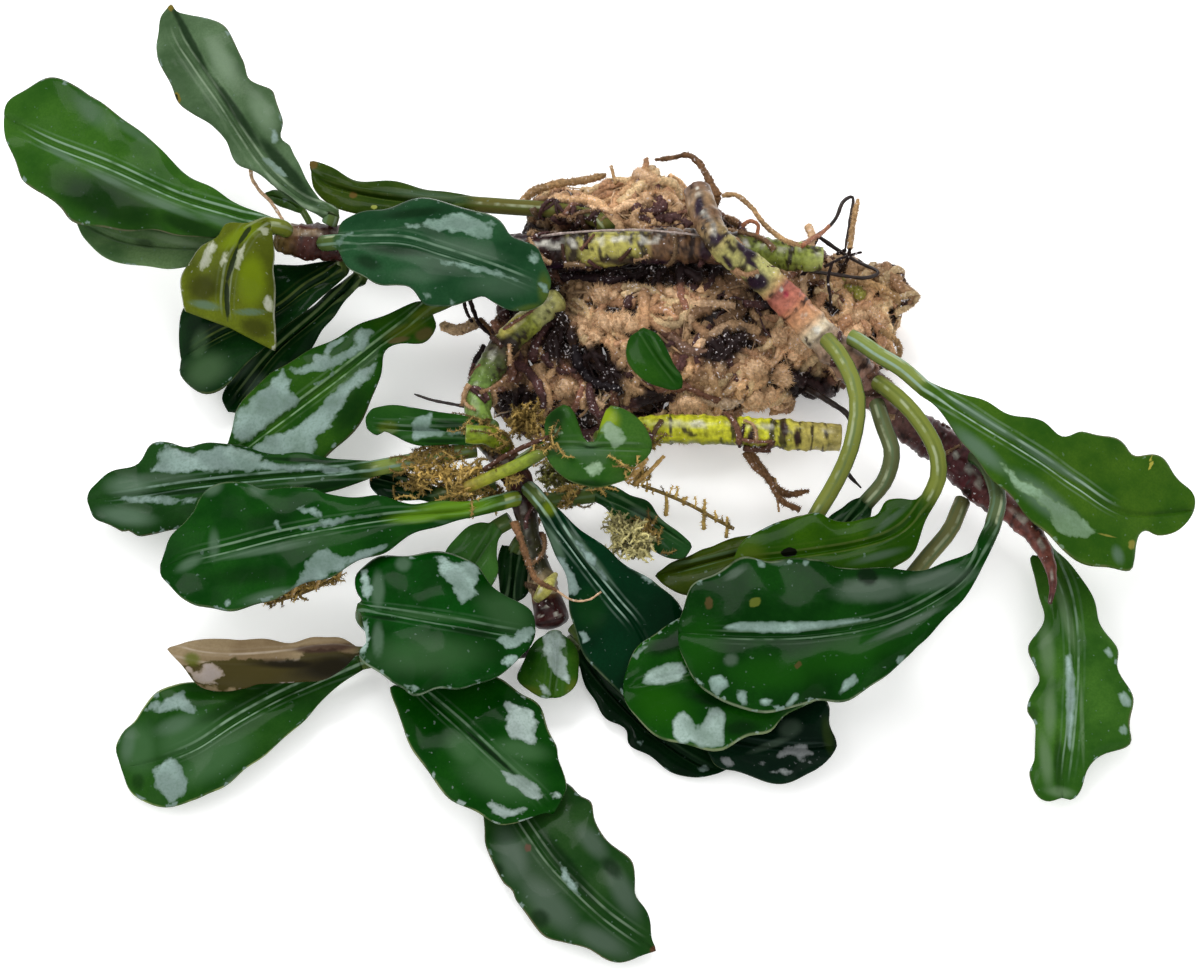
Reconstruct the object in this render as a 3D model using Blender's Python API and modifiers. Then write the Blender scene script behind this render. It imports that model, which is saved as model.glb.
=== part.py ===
"""A bare-root Bucephalandra, lying as it was lifted out of the water.

Blender 4.5, metres, +Z up. The plant lies on its root mass and its lowest leaves, with its bottom at z = 0.
Its pieces are placed as they are seen from the front and above: spot() turns a place in that view and a
height over the ground into a point in space. Heights, radii, lifts and thicknesses are in millimetres.
"""

import math

import bmesh
import bpy
import numpy as np

MM = 0.001

# The view that places are given in: its size in pixels, and the real width that it spans at its centre
VIEW_PIXELS = (1200, 977)
VIEW_SPAN = 150.0
VIEW_DISTANCE = 600.0
VIEW_ELEVATION = math.radians(60)
VIEW_CENTRE = np.array([1.3, -2.9, 8.0])
PIXELS_PER_MM = VIEW_PIXELS[0] / VIEW_SPAN

STALK_RADIUS = 1.05
BLADE_THICKNESS = 0.8
BLADE_ROWS = 8
STALK_ROWS = 4
STALK_STEP = 1.2
SECTION_PLACES = np.array([-1.0, -0.6, 0.0, 0.6, 1.0])
GAP = 0.3
GROUND_SIZE = 300.0

LEAF_GREEN = (0.035, 0.13, 0.03)
DEEP_GREEN = (0.012, 0.06, 0.03)
OLIVE = (0.15, 0.17, 0.02)
DEAD_BROWN = (0.13, 0.08, 0.035)


def spot(place):
    """The point, in mm, where the view's ray through (x, y) pixels meets the level at a height."""
    x, y, height = place
    across = (x - VIEW_PIXELS[0] / 2) / PIXELS_PER_MM
    up = (VIEW_PIXELS[1] / 2 - y) / PIXELS_PER_MM
    sine, cosine = math.sin(VIEW_ELEVATION), math.cos(VIEW_ELEVATION)
    eye = VIEW_CENTRE + VIEW_DISTANCE * np.array([0, -cosine, sine])
    ray = VIEW_CENTRE + np.array([across, up * sine, up * cosine]) - eye
    return eye + ray * (height - eye[2]) / ray[2]


def smooth(points, steps=12):
    """Closely spaced points along a Catmull-Rom curve through the given ones."""
    knots = np.array(points, float)
    knots = np.vstack([2 * knots[0] - knots[1], knots, 2 * knots[-1] - knots[-2]])
    u = (np.arange(steps) / steps)[:, None]
    spans = [
        (2 * b + (c - a) * u + (2 * a - 5 * b + 4 * c - d) * u**2 + (3 * b - 3 * c + d - a) * u**3) / 2
        for a, b, c, d in zip(knots[:-3], knots[1:-2], knots[2:-1], knots[3:])
    ]
    return np.vstack([*spans, knots[-2]])


def along(points, fractions):
    """Points at these fractions of the length, in the view, of the smooth curve through the given points."""
    curve = smooth(points)
    steps = np.linalg.norm(np.diff(curve[:, :2], axis=0), axis=1)
    travelled = np.concatenate([[0], np.cumsum(steps)]) / steps.sum()
    return np.column_stack([np.interp(fractions, travelled, column) for column in curve.T])

# The stems: places along each one's middle, and its radius there
STEMS = {
    "rhizome_upper": (
        [(822, 259, 17.2), (790, 256, 17.6), (740, 249, 18), (690, 246, 18), (640, 247, 17.6),
         (590, 250, 16.6), (545, 252, 14.8), (500, 250, 13.9), (440, 246, 13), (380, 243, 12.6),
         (335, 243, 12.8), (300, 241, 13.4), (280, 239, 13.8)],
        [1.5, 1.8, 2.0, 2.2, 2.2, 2.2, 2.2, 2.1, 2.0, 2.0, 2.3, 2.2, 1.7],
    ),
    "rhizome_right": (
        [(697, 190, 23.2), (704, 213, 23.6), (717, 238, 23.4), (736, 258, 22), (760, 274, 20.2),
         (790, 303, 18), (820, 335, 16), (860, 375, 13.6), (892, 412, 11.4), (922, 434, 9.6),
         (945, 448, 8.6), (966, 473, 7.6), (991, 498, 7), (1011, 511, 6.8), (1031, 531, 7),
         (1047, 557, 7.2), (1053, 583, 7.2), (1050, 603, 7)],
        [1.7, 1.8, 1.7, 1.8, 1.9, 2.0, 2.1, 2.2, 2.0, 2.3, 2.4, 2.2, 1.8, 1.6, 1.3, 0.9, 0.5, 0.25],
    ),
    "rhizome_front": (
        [(600, 443, 9.6), (653, 430, 10), (717, 430, 10.4), (765, 433, 10.4), (812, 436, 10),
         (840, 438, 9.6)],
        [1.6, 1.8, 1.8, 1.8, 1.8, 1.7],
    ),
    "rhizome_left": (
        [(556, 300, 12.4), (530, 320, 12.6), (505, 345, 12.4), (487, 375, 12), (478, 400, 11.5),
         (482, 430, 11), (500, 452, 10.5), (518, 480, 9.9), (525, 510, 9), (532, 545, 7.8),
         (543, 585, 6.2), (552, 620, 4.6)],
        [1.6, 1.7, 1.7, 1.8, 1.7, 1.7, 1.8, 1.8, 1.5, 1.2, 1.8, 2.2],
    ),
    "rhizome_low": (
        [(524, 646, 3.4), (480, 654, 3), (430, 660, 3), (388, 655, 3.4)],
        [1.5, 1.5, 1.6, 1.6],
    ),
    "stalk_cut": (
        [(466, 434, 16.4), (484, 435, 16.2), (497, 440, 14.8), (503, 447, 13.2)],
        [1.2, 1.2, 1.1, 1.0],
    ),
    "bud_young": (
        [(536, 600, 8.8), (546, 588, 9.4), (556, 574, 9.2)],
        [0.5, 0.9, 0.3],
    ),
}
STEM_COLOURS = {
    "rhizome_upper": (0.22, 0.2, 0.05),
    "rhizome_right": (0.25, 0.18, 0.08),
    "rhizome_front": (0.42, 0.42, 0.03),
    "rhizome_left": (0.2, 0.24, 0.05),
    "rhizome_low": (0.06, 0.03, 0.02),
    "stalk_cut": (0.25, 0.35, 0.05),
    "bud_young": (0.5, 0.45, 0.1),
}

TAN, BROWN, BLACK = (0.36, 0.22, 0.1), (0.16, 0.08, 0.035), (0.02, 0.012, 0.01)
MOSS_GOLD, MOSS_PALE = (0.4, 0.26, 0.05), (0.42, 0.42, 0.16)

# Roots that stand clear of the mass: places along each one, its radius at both ends, and its colour
ROOTS = {
    "root_top_left": ([(517, 211, 10.6), (530, 194, 12), (552, 185, 12.4), (580, 181, 12), (606, 175, 11)],
                      (0.9, 0.8), TAN),
    "root_top_hook": ([(718, 196, 15.4), (709, 180, 16), (700, 164, 16), (687, 155, 15), (672, 158, 14),
                       (655, 160, 13)], (0.9, 0.4), BROWN),
    "root_arc": ([(722, 196, 18.6), (736, 195, 19), (751, 207, 19.4), (766, 226, 20), (783, 239, 21),
                  (801, 246, 21)], (0.5, 0.5), TAN),
    "root_black_loop": ([(806, 242, 14), (825, 230, 14), (836, 218, 14.5), (843, 202, 15), (853, 198, 15),
                         (850, 222, 14), (845, 250, 12.8)], (0.4, 0.35), BLACK),
    "root_black_out": ([(818, 236, 12), (838, 250, 11.5), (858, 262, 11), (878, 272, 11), (864, 278, 11),
                        (832, 274, 11.5), (806, 271, 12)], (0.4, 0.35), BLACK),
    "root_tan_stick": ([(850, 248, 16.4), (853, 225, 17), (858, 199, 17.4)], (0.6, 0.5), TAN),
    "root_right_fork": ([(846, 280, 10), (872, 284, 9.6), (901, 300, 9)], (0.9, 0.6), TAN),
    "root_right_curl": ([(880, 330, 9), (893, 338, 8.4), (900, 350, 7.6), (893, 370, 6)], (0.7, 0.5), TAN),
    "root_black_front": ([(806, 388, 6), (830, 402, 7), (850, 418, 8), (853, 445, 7.5), (847, 470, 5.5),
                          (861, 488, 4)], (0.7, 0.35), BLACK),
    "root_front_down": ([(748, 450, 6.8), (757, 463, 5.8), (770, 480, 4.5), (786, 494, 3.5),
                         (809, 491, 3)],
                        (1.0, 0.6), BROWN),
    "root_black_thin": ([(467, 407, 10), (452, 404, 9), (432, 400, 8), (414, 394, 8)], (0.35, 0.25), BLACK),
    "root_left_stub": ([(478, 322, 6), (458, 330, 5.6), (441, 325, 5)], (1.3, 1.1), BROWN),
    "root_lower": ([(514, 522, 12), (521, 540, 11.6), (529, 564, 11.2), (537, 580, 11.6),
                    (557, 591, 11.8)],
                   (0.8, 0.4), BROWN),
}

# Balls that the root mass is fused from: each one's middle, and its radius
ROOT_CLUMPS = [
    (560, 362, 6, 7.5), (640, 355, 7, 8.5), (720, 352, 7, 8.5), (785, 345, 6, 7.5), (600, 305, 8, 7),
    (680, 298, 8, 7.5), (750, 305, 7.5, 7), (535, 318, 6, 6), (845, 318, 5.5, 6), (510, 372, 4, 5),
    (600, 405, 4.5, 5), (690, 402, 4.5, 5), (616, 207, 6.5, 4.2), (658, 204, 6, 4), (560, 225, 6.5, 5),
    (640, 240, 6.5, 6.5), (590, 262, 7, 7), (700, 262, 7, 7), (800, 285, 6.5, 6),
    (870, 305, 5.5, 5), (862, 340, 4.5, 4), (775, 385, 4.5, 5), (535, 398, 4, 4.5), (820, 372, 4, 3.5),
]
# Strands that wander over the root mass: how many, their steps, radius and lowest and highest middle
ROOT_STRANDS = 90
STRAND_STEPS = 9
STRAND_STEP = 1.7
STRAND_RADIUS = 1.35
STRAND_REACH = 0.8
STRAND_LEVELS = (0.5, 17.5)
STRAND_WANDER = 0.35
STRAND_PULL = 0.3

# Fused lumps: the smallest ball, the size of the grid that fuses them, and the triangles left
SMALLEST_BALL = 0.45
ROOT_GRID, ROOT_TRIANGLES = 0.9, 1000
MOSS_GRID, MOSS_TRIANGLES = 0.4, 90

WET, MOIST, FUZZY = 0.2, 0.4, 0.8

# Moss: the middles of its lumps, their radius, and its colour
MOSS = {
    "moss_gold": ([(418, 477, 10.6), (436, 475, 11.4), (455, 474, 12.2), (475, 471, 13.4),
                   (497, 470, 14.2), (512, 476, 14.2)], 1.3, MOSS_GOLD),
    "moss_tuft": ([(610, 522, 10), (622, 528, 10.2), (636, 536, 10.2), (644, 545, 10), (632, 550, 10),
                   (618, 540, 10)], 1.7, MOSS_PALE),
    "moss_comb": ([(642, 486, 10.4), (660, 492, 9.8), (690, 505, 9.2), (715, 519, 8.8), (734, 529, 8.5)],
                  1.0, MOSS_GOLD),
    "moss_fringe": ([(267, 604, 7.2), (290, 597, 7.8), (315, 588, 8.2), (341, 575, 8.8)], 0.9, MOSS_GOLD),
}


def stem_axis(name, count=60):
    """Points in mm along a stem's middle, and its radius at each."""
    places, radii = STEMS[name]
    fractions = np.linspace(0, 1, count)
    seen = along([(*place, radius) for place, radius in zip(places, radii)], fractions)
    return np.array([spot(place[:3]) for place in seen]), seen[:, 3]


STEM_AXES = {name: stem_axis(name) for name in STEMS}


def clearance(points):
    """How far these points in mm keep from the nearest stem."""
    gaps = [
        np.linalg.norm(points[:, None] - axis[None], axis=2) - radii
        for axis, radii in STEM_AXES.values()
    ]
    return min(gap.min() for gap in gaps)


class Leaf:
    """A leaf: where its stalk and midrib run, where its margins are seen, and how far they rise or droop.

    stalk and midrib are (x, y, height) places from the stem to the tip. left and right are the (x, y) places
    of the margins from the blade's base on, on the left and right hand of someone who walks to the tip. lift
    is how far each margin stands above the midrib where the blade is widest, and crown is how far the middle
    of each half bulges. A cut leaf has no tip: its margins end where they are cut.
    """

    def __init__(self, stalk, midrib, left, right, lift=(0, 0), crown=0.5, colour=LEAF_GREEN, cut=False,
                 rows=BLADE_ROWS, stalk_radius=STALK_RADIUS):
        self.stalk, self.midrib, self.left, self.right = stalk, midrib, left, right
        self.lift, self.crown, self.colour, self.cut = lift, crown, colour, cut
        self.rows, self.stalk_radius = rows, stalk_radius

    def margin(self, places, hand, fractions, middle):
        """Places of one margin, with heights, for rows whose middles are given."""
        start, ahead = np.array(self.midrib[0][:2]), np.array(self.midrib[1][:2])
        sideways = np.array([ahead[1] - start[1], start[0] - ahead[0]]) * hand
        first = start + sideways / np.linalg.norm(sideways) * self.stalk_radius * PIXELS_PER_MM
        last = [] if self.cut else [self.midrib[-1][:2]]
        edge = along([first, *places, *last], fractions)
        reach = np.linalg.norm(edge - middle[:, :2], axis=1)
        lift = self.lift[0 if hand > 0 else 1] * (reach / reach.max()) ** 1.5
        return np.column_stack([edge, middle[:, 2] + lift])

    def blade(self, fractions):
        """Rows of places on the blade: left margin, middle and right margin."""
        middle = along(self.midrib, fractions)
        return (self.margin(self.left, 1, fractions, middle), middle,
                self.margin(self.right, -1, fractions, middle))

    def stalk_line(self, start, count=STALK_ROWS):
        """Places in mm along the stalk, from this fraction of its length to the blade, and the way ahead."""
        fractions = np.linspace(start, 1, count + 1)[:-1]
        path = [*self.stalk, self.midrib[0]]
        centres = np.array([spot(place) for place in along(path, fractions)])
        ahead = np.array([spot(place) for place in along(path, fractions + 0.02)]) - centres
        return centres, ahead / np.linalg.norm(ahead, axis=1)[:, None]

    def stalk_start(self):
        """The fraction of the stalk's length at which it clears the stem that it grows from."""
        for start in np.linspace(0, 0.8, 41):
            centres, ahead = self.stalk_line(start)
            if clearance(centres[:1]) >= GAP + self.stalk_radius * 1.2:
                return start
        return 0.8

    def surface(self):
        """The middle layer of the leaf as rows of points in mm, and the half thickness at each row."""
        rows, halves = [], []
        fractions = np.linspace(0, 1, self.rows + 1)
        for fraction, left, middle, right in zip(fractions, *self.blade(fractions)):
            row = []
            for place in SECTION_PLACES:
                edge = left if place < 0 else right
                seen = middle + (edge - middle) * abs(place)
                bulge = self.crown * 4 * abs(place) * (1 - abs(place)) * math.sin(math.pi * fraction)
                row.append(spot((*seen[:2], seen[2] + bulge)))
            rows.append(row)
            thickening = max(0, 1 - fraction * 4) * (self.stalk_radius - BLADE_THICKNESS / 2)
            halves.append(BLADE_THICKNESS / 2 + thickening)
        if self.stalk:
            side = rows[0][0] - rows[0][-1]
            for centre, ahead in list(zip(*self.stalk_line(self.stalk_start())))[::-1]:
                side = side - ahead * (side @ ahead)
                side *= self.stalk_radius / np.linalg.norm(side)
                row = centre - side * SECTION_PLACES[:, None]
                steps = rows[0] - row
                step = np.linalg.norm(steps[2])
                if step > STALK_STEP * self.stalk_radius and (steps @ steps[2]).min() > step**2 / 4:
                    rows.insert(0, row)
                    halves.insert(0, self.stalk_radius)
        return np.array(rows), np.array(halves)


def lofted(name, rows, halves, pointed):
    """A closed mesh round a middle layer, thick along the midrib and thin at the margins."""
    down, across = np.gradient(rows, axis=0), np.gradient(rows, axis=1)
    normal = np.cross(across, down)
    length = np.linalg.norm(normal, axis=2, keepdims=True)
    normal = normal / np.maximum(length, 1e-9)
    profile = np.sqrt(1 - SECTION_PLACES**2)
    offset = normal * (halves[:, None] * profile)[:, :, None]
    upper, lower = rows + offset, rows - offset
    rings = [[*top, *bottom[-2:0:-1]] for top, bottom in zip(upper, lower)]
    mesh = bmesh.new()
    if pointed:
        rings.pop()
    corners = [[mesh.verts.new(point * MM) for point in ring] for ring in rings]
    for ring, following in zip(corners, corners[1:]):
        for i in range(len(ring)):
            j = (i + 1) % len(ring)
            mesh.faces.new((ring[i], ring[j], following[j], following[i]))
    mesh.faces.new(corners[0][::-1])
    if pointed:
        tip = mesh.verts.new(rows[-1, 2] * MM)
        for i in range(len(corners[-1])):
            mesh.faces.new((corners[-1][i], corners[-1][(i + 1) % len(corners[-1])], tip))
    else:
        mesh.faces.new(corners[-1])
    bmesh.ops.recalc_face_normals(mesh, faces=mesh.faces)
    data = bpy.data.meshes.new(name)
    mesh.to_mesh(data)
    mesh.free()
    return data


LEAVES = {
    # Left crown
    "leaf_far_left": Leaf(
        stalk=[(292, 240, 13.4), (282, 233, 14.6)],
        midrib=[(272, 226, 15.6), (230, 213, 16.5), (178, 197, 17), (112, 167, 17), (51, 143, 16),
                (4, 117, 14.5)],
        left=[(240, 236), (204, 238), (153, 231), (107, 229), (74, 221), (59, 207), (33, 188), (18, 172),
              (6, 135)],
        right=[(230, 201), (179, 166), (143, 132), (97, 100), (79, 86), (59, 80), (41, 81), (20, 90),
               (8, 102)],
        lift=(-1.2, 1.0),
    ),
    "leaf_behind_far_left": Leaf(
        stalk=[(294, 244, 13.2), (280, 247, 12)],
        midrib=[(264, 249, 11.4), (200, 249, 10.4), (130, 243, 9.4), (76, 221, 8.6)],
        left=[(236, 263), (189, 268), (158, 268), (127, 264), (102, 256), (85, 240)],
        right=[(240, 236), (190, 222), (150, 214), (110, 208), (86, 210)],
    ),
    "leaf_pointing_up": Leaf(
        stalk=[(318, 240, 13), (328, 226, 15.5)],
        midrib=[(332, 214, 16.4), (301, 199, 17), (270, 173, 17.6), (242, 135, 18.4), (222, 102, 19),
                (199, 69, 19), (179, 38, 18.4), (171, 4, 17.4)],
        left=[(303, 206), (283, 189), (257, 174), (237, 163), (226, 140), (212, 126), (193, 115),
              (177, 100), (169, 84), (163, 68), (158, 54), (155, 40), (160, 18)],
        right=[(324, 205), (306, 179), (297, 158), (291, 144), (281, 137), (282, 120), (276, 100),
               (270, 88), (249, 79), (243, 59), (236, 43), (222, 26), (204, 15), (180, 13)],
        lift=(-1.0, 1.2), rows=10,
    ),
    "leaf_tiny": Leaf(
        stalk=[(314, 240, 13), (310, 224, 12.4)],
        midrib=[(303, 211, 12.2), (285, 201, 12), (264, 194, 12)],
        left=[(290, 208), (276, 203)],
        right=[(292, 198), (278, 191)],
        rows=4, stalk_radius=0.45,
    ),
    "leaf_dark_glossy": Leaf(
        stalk=[(318, 243, 13), (327, 243, 16.4)],
        midrib=[(338, 242, 17.6), (398, 241, 19), (440, 252, 19.6), (483, 266, 19.6), (518, 279, 19.2),
                (549, 292, 18)],
        left=[(342, 222), (360, 213), (394, 205), (428, 202), (457, 204), (483, 212), (500, 222),
              (512, 237), (535, 246), (544, 260), (551, 279)],
        right=[(348, 268), (365, 277), (378, 283), (398, 287), (411, 290), (428, 304), (450, 308),
               (470, 300), (483, 296), (495, 304), (508, 311), (525, 310), (544, 303)],
        lift=(-1.6, -1.6), crown=0.9, colour=DEEP_GREEN, rows=9,
    ),
    "leaf_bent_olive": Leaf(
        stalk=[(292, 236, 13.6), (282, 228, 17.4)],
        midrib=[(266, 225, 18.8), (251, 231, 19.2), (242, 243, 18.6), (231, 264, 16.5), (227, 287, 13.4),
                (226, 306, 11.4), (229, 327, 9.8)],
        left=[(272, 231), (274, 250), (274, 268), (276, 287), (274, 313), (277, 330), (275, 351)],
        right=[(247, 224), (227, 225), (216, 235), (199, 246), (189, 264), (182, 278), (180, 296),
               (185, 311)],
        lift=(-0.4, -1.6), crown=0.4, colour=OLIVE, cut=True,
    ),
    "leaf_shaded_left": Leaf(
        stalk=[(332, 244, 12.8), (341, 257, 11)],
        midrib=[(343, 268, 10.4), (309, 287, 9.6), (277, 311, 8), (224, 333, 5.4), (181, 359, 3)],
        left=[(322, 297), (282, 330), (250, 362), (225, 385), (206, 393), (190, 387), (180, 375)],
        right=[(318, 262), (280, 266), (240, 277), (200, 292), (183, 309), (179, 330), (179, 348)],
        colour=DEEP_GREEN,
    ),
    "leaf_shaded_right": Leaf(
        stalk=[(357, 244, 12.6), (364, 262, 9.4)],
        midrib=[(360, 278, 8.4), (322, 312, 6.8), (277, 350, 4.6), (246, 388, 2.6), (228, 412, 1.6)],
        left=[(357, 288), (341, 304), (327, 325), (313, 346), (292, 370), (270, 395), (245, 412)],
        right=[(335, 288), (290, 322), (250, 355), (228, 383), (222, 398)],
        colour=DEEP_GREEN,
    ),
    # Back and left middle
    "leaf_olive_torn": Leaf(
        stalk=[(612, 248, 17.4), (602, 222, 16.6), (560, 211, 15), (510, 207, 12.6)],
        midrib=[(470, 204, 11), (430, 203, 10), (380, 198, 9.4), (330, 186, 9), (311, 172, 9)],
        left=[(440, 212), (400, 216), (360, 214), (335, 208), (315, 190)],
        right=[(440, 191), (400, 184), (370, 182), (349, 178), (322, 163), (310, 161)],
        colour=OLIVE,
    ),
    "leaf_wet_left": Leaf(
        stalk=[(474, 248, 14), (470, 280, 10.6), (450, 298, 9.6)],
        midrib=[(428, 308, 9.2), (366, 355, 8.6), (331, 382, 8), (295, 409, 6.6), (247, 445, 4.6),
                (225, 465, 3.6)],
        left=[(436, 328), (424, 343), (400, 344), (383, 354), (379, 378), (374, 396), (362, 420),
              (338, 448), (310, 470), (270, 480), (240, 478)],
        right=[(412, 303), (372, 321), (345, 332), (318, 346), (286, 364), (268, 374), (250, 393),
               (236, 411), (231, 429), (228, 447)],
        lift=(-0.6, 0.4),
    ),
    "leaf_middle_left": Leaf(
        stalk=[(496, 448, 10.7), (470, 450, 11.6), (420, 460, 11.2)],
        midrib=[(371, 469, 10.4), (300, 475, 9), (264, 478, 8), (190, 486, 6.4), (113, 498, 4.6),
                (87, 499, 4)],
        left=[(364, 481), (331, 492), (280, 505), (230, 515), (190, 524), (172, 529), (156, 536),
              (141, 536), (129, 529), (120, 531), (98, 521), (89, 506)],
        right=[(350, 460), (325, 458), (294, 454), (264, 452), (239, 446), (211, 443), (187, 446),
               (169, 443), (150, 446), (135, 462), (110, 475), (92, 487)],
        lift=(-0.8, 0.6),
    ),
    "leaf_wavy_left": Leaf(
        stalk=[(523, 500, 9.3), (513, 499, 11.6)],
        midrib=[(502, 502, 12.2), (462, 511, 13), (386, 518, 13.4), (294, 533, 12.6), (233, 548, 11),
                (184, 560, 9.6), (160, 569, 8.6)],
        left=[(470, 518), (447, 523), (417, 533), (386, 551), (355, 564), (325, 578), (288, 591),
              (264, 604), (233, 610), (202, 608), (187, 600), (172, 588), (162, 578)],
        right=[(463, 503), (417, 502), (371, 498), (340, 496), (322, 493), (306, 487), (264, 488),
               (245, 483), (215, 486), (199, 495), (192, 512), (184, 527), (168, 540), (162, 553)],
        lift=(-0.8, 0.4), rows=9,
    ),
    "leaf_strip": Leaf(
        stalk=[(481, 424, 11.1), (491, 427, 13.2)],
        midrib=[(487, 431, 14), (440, 431, 13.8), (400, 430, 13.2), (366, 425, 12.4)],
        left=[(486, 444), (462, 446), (432, 444), (407, 442), (386, 431), (377, 435), (368, 430)],
        right=[(478, 420), (441, 412), (404, 407), (374, 406), (366, 415)],
        rows=7,
    ),
    "leaf_shaded_small": Leaf(
        stalk=[(514, 476, 10.1), (470, 489, 9)],
        midrib=[(434, 495, 8.6), (400, 483, 8.2), (371, 475, 8)],
        left=[(418, 500), (386, 499), (370, 488)],
        right=[(416, 480), (398, 469), (380, 466)],
        rows=4, colour=DEEP_GREEN,
    ),
    # Lower crown
    "leaf_notched": Leaf(
        stalk=[(512, 468, 10.2), (528, 459, 14)],
        midrib=[(546, 447, 16.8), (580, 447, 17.6), (620, 448, 17.8), (652, 449, 17)],
        left=[(545, 420), (552, 411), (567, 407), (577, 425), (584, 440), (594, 440), (599, 420),
              (608, 404), (622, 408), (640, 423), (650, 438)],
        right=[(548, 460), (557, 472), (573, 484), (602, 486), (627, 481), (635, 468), (646, 458)],
        lift=(0.8, -0.8), rows=10,
    ),
    "leaf_broad": Leaf(
        stalk=[(404, 660, 3.2), (384, 640, 4.6), (363, 620, 7)],
        midrib=[(363, 607, 10.4), (378, 610, 11.6), (420, 618, 13), (467, 626, 12.6),
                (500, 632, 11), (535, 636, 9)],
        left=[(356, 588), (356, 573), (372, 561), (396, 554), (423, 553), (442, 554),
              (464, 559), (478, 565), (487, 576), (496, 588), (509, 599), (530, 609), (535, 620)],
        right=[(366, 644), (360, 654), (366, 664), (378, 675), (391, 683), (404, 687), (416, 694),
               (436, 689), (458, 692), (477, 684), (499, 674), (517, 661), (530, 647)],
        lift=(-1.4, -1.4), crown=1.0, rows=10, stalk_radius=0.8,
    ),
    "leaf_pale": Leaf(
        stalk=[(524, 513, 9), (510, 520, 7.8)],
        midrib=[(496, 528, 7.4), (475, 560, 7), (450, 598, 6.4), (440, 612, 6.2)],
        left=[(497, 545), (496, 575), (480, 600)],
        right=[(478, 523), (462, 530), (450, 546), (438, 575), (432, 598)],
        rows=5,
    ),
    "leaf_dark_small": Leaf(
        stalk=[(528, 535, 8.2), (521, 542, 6.4)],
        midrib=[(516, 550, 5.2), (513, 578, 4.2), (510, 606, 3.9)],
        left=[(525, 552), (531, 572), (526, 595)],
        right=[(502, 545), (498, 565), (500, 590)],
        rows=4, colour=DEEP_GREEN,
    ),
    "leaf_deep_green": Leaf(
        stalk=[(519, 484, 10), (531, 491, 12)],
        midrib=[(544, 506, 12.4), (579, 556, 11.2), (612, 597, 9.4), (639, 631, 7.6), (664, 690, 6)],
        left=[(573, 523), (596, 543), (618, 558), (639, 572), (656, 584), (678, 602), (690, 640),
              (684, 675)],
        right=[(546, 533), (558, 559), (569, 592), (571, 619), (581, 649), (596, 669), (612, 687),
               (632, 698)],
        lift=(0.6, -0.8), colour=DEEP_GREEN, rows=9,
    ),
    "leaf_behind_moss": Leaf(
        stalk=[(524, 508, 9), (556, 500, 8.2)],
        midrib=[(598, 494, 7.8), (642, 515, 7.8), (692, 547, 7.4)],
        left=[(612, 486), (629, 494), (646, 503), (660, 517), (680, 534)],
        right=[(608, 510), (630, 535), (655, 552), (682, 560)],
        rows=6, colour=DEEP_GREEN,
    ),
    # Below the lower crown
    "leaf_front_left": Leaf(
        stalk=[(390, 656, 3.4), (374, 659, 3.4)],
        midrib=[(360, 662, 3.2), (286, 694, 3.4), (238, 720, 3.6), (196, 747, 3.2), (155, 762, 2.4),
                (121, 768, 1.6)],
        left=[(341, 684), (320, 703), (298, 727), (272, 749), (248, 768), (231, 782), (212, 792),
              (196, 801), (172, 806), (150, 804), (131, 794)],
        right=[(330, 664), (290, 672), (246, 680), (215, 681), (190, 681), (174, 684), (157, 692),
               (143, 708), (134, 720), (122, 731), (116, 748)],
        lift=(-0.6, 0.6),
    ),
    "leaf_dead": Leaf(
        stalk=[(394, 653, 3.6), (377, 652, 6.2)],
        midrib=[(356, 651, 7.8), (330, 650, 8.8), (300, 654, 9.2), (265, 658, 9.2), (235, 659, 9.2),
                (205, 657, 9), (185, 653, 8.6), (167, 649, 8)],
        left=[(342, 670), (325, 679), (300, 685), (275, 682), (258, 683), (246, 688), (228, 692),
              (210, 690), (196, 682), (184, 667)],
        right=[(340, 638), (325, 638), (305, 640), (281, 641), (245, 640), (225, 638), (205, 639),
               (190, 642), (178, 646)],
        lift=(-4, -1), crown=0.3, colour=DEAD_BROWN, rows=8, stalk_radius=0.6,
    ),
    "leaf_front_upper": Leaf(
        stalk=[(408, 662, 3.2), (409, 672, 5)],
        midrib=[(412, 685, 5.8), (455, 721, 6.4), (483, 747, 6.4), (511, 773, 5.8), (536, 794, 5),
                (553, 814, 4.2)],
        left=[(450, 675), (500, 680), (526, 694), (538, 706), (548, 727), (557, 745), (558, 761),
              (567, 785), (564, 797)],
        right=[(390, 686), (396, 710), (408, 737), (418, 757), (431, 779), (445, 793), (465, 808),
               (495, 822), (512, 823), (528, 820), (544, 813)],
        lift=(-0.4, -0.6), rows=9,
    ),
    "leaf_front_tip": Leaf(
        stalk=[(440, 663, 2.9), (470, 720, 1.9), (500, 780, 1.9)],
        midrib=[(506, 796, 2.0), (548, 858, 3), (572, 884, 3.4), (602, 913, 3.2), (629, 933, 2.6),
                (656, 951, 1.8)],
        left=[(540, 782), (569, 784), (582, 793), (590, 802), (593, 820), (605, 834), (619, 848),
              (631, 862), (635, 878), (636, 893), (645, 909), (650, 925), (652, 942)],
        right=[(484, 806), (485, 834), (489, 852), (493, 870), (503, 882), (514, 889), (518, 903),
               (528, 921), (544, 935), (564, 941), (584, 949), (602, 959), (617, 961), (635, 958)],
        lift=(0.2, -0.9), colour=DEEP_GREEN, rows=9,
    ),
    "leaf_light_wet": Leaf(
        stalk=[(553, 629, 4.5)],
        midrib=[(554, 636, 4.6), (556, 662, 4.5), (551, 698, 3.6)],
        left=[(567, 638), (576, 648), (581, 661), (579, 676), (572, 688), (562, 695)],
        right=[(538, 639), (528, 651), (520, 665), (518, 679), (530, 690), (542, 697)],
        rows=7,
    ),
    # Under the arch
    "leaf_round": Leaf(
        stalk=[(975, 484, 6.8), (962, 502, 6.2), (950, 530, 6.8), (925, 560, 7.2), (895, 598, 7.6)],
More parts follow.
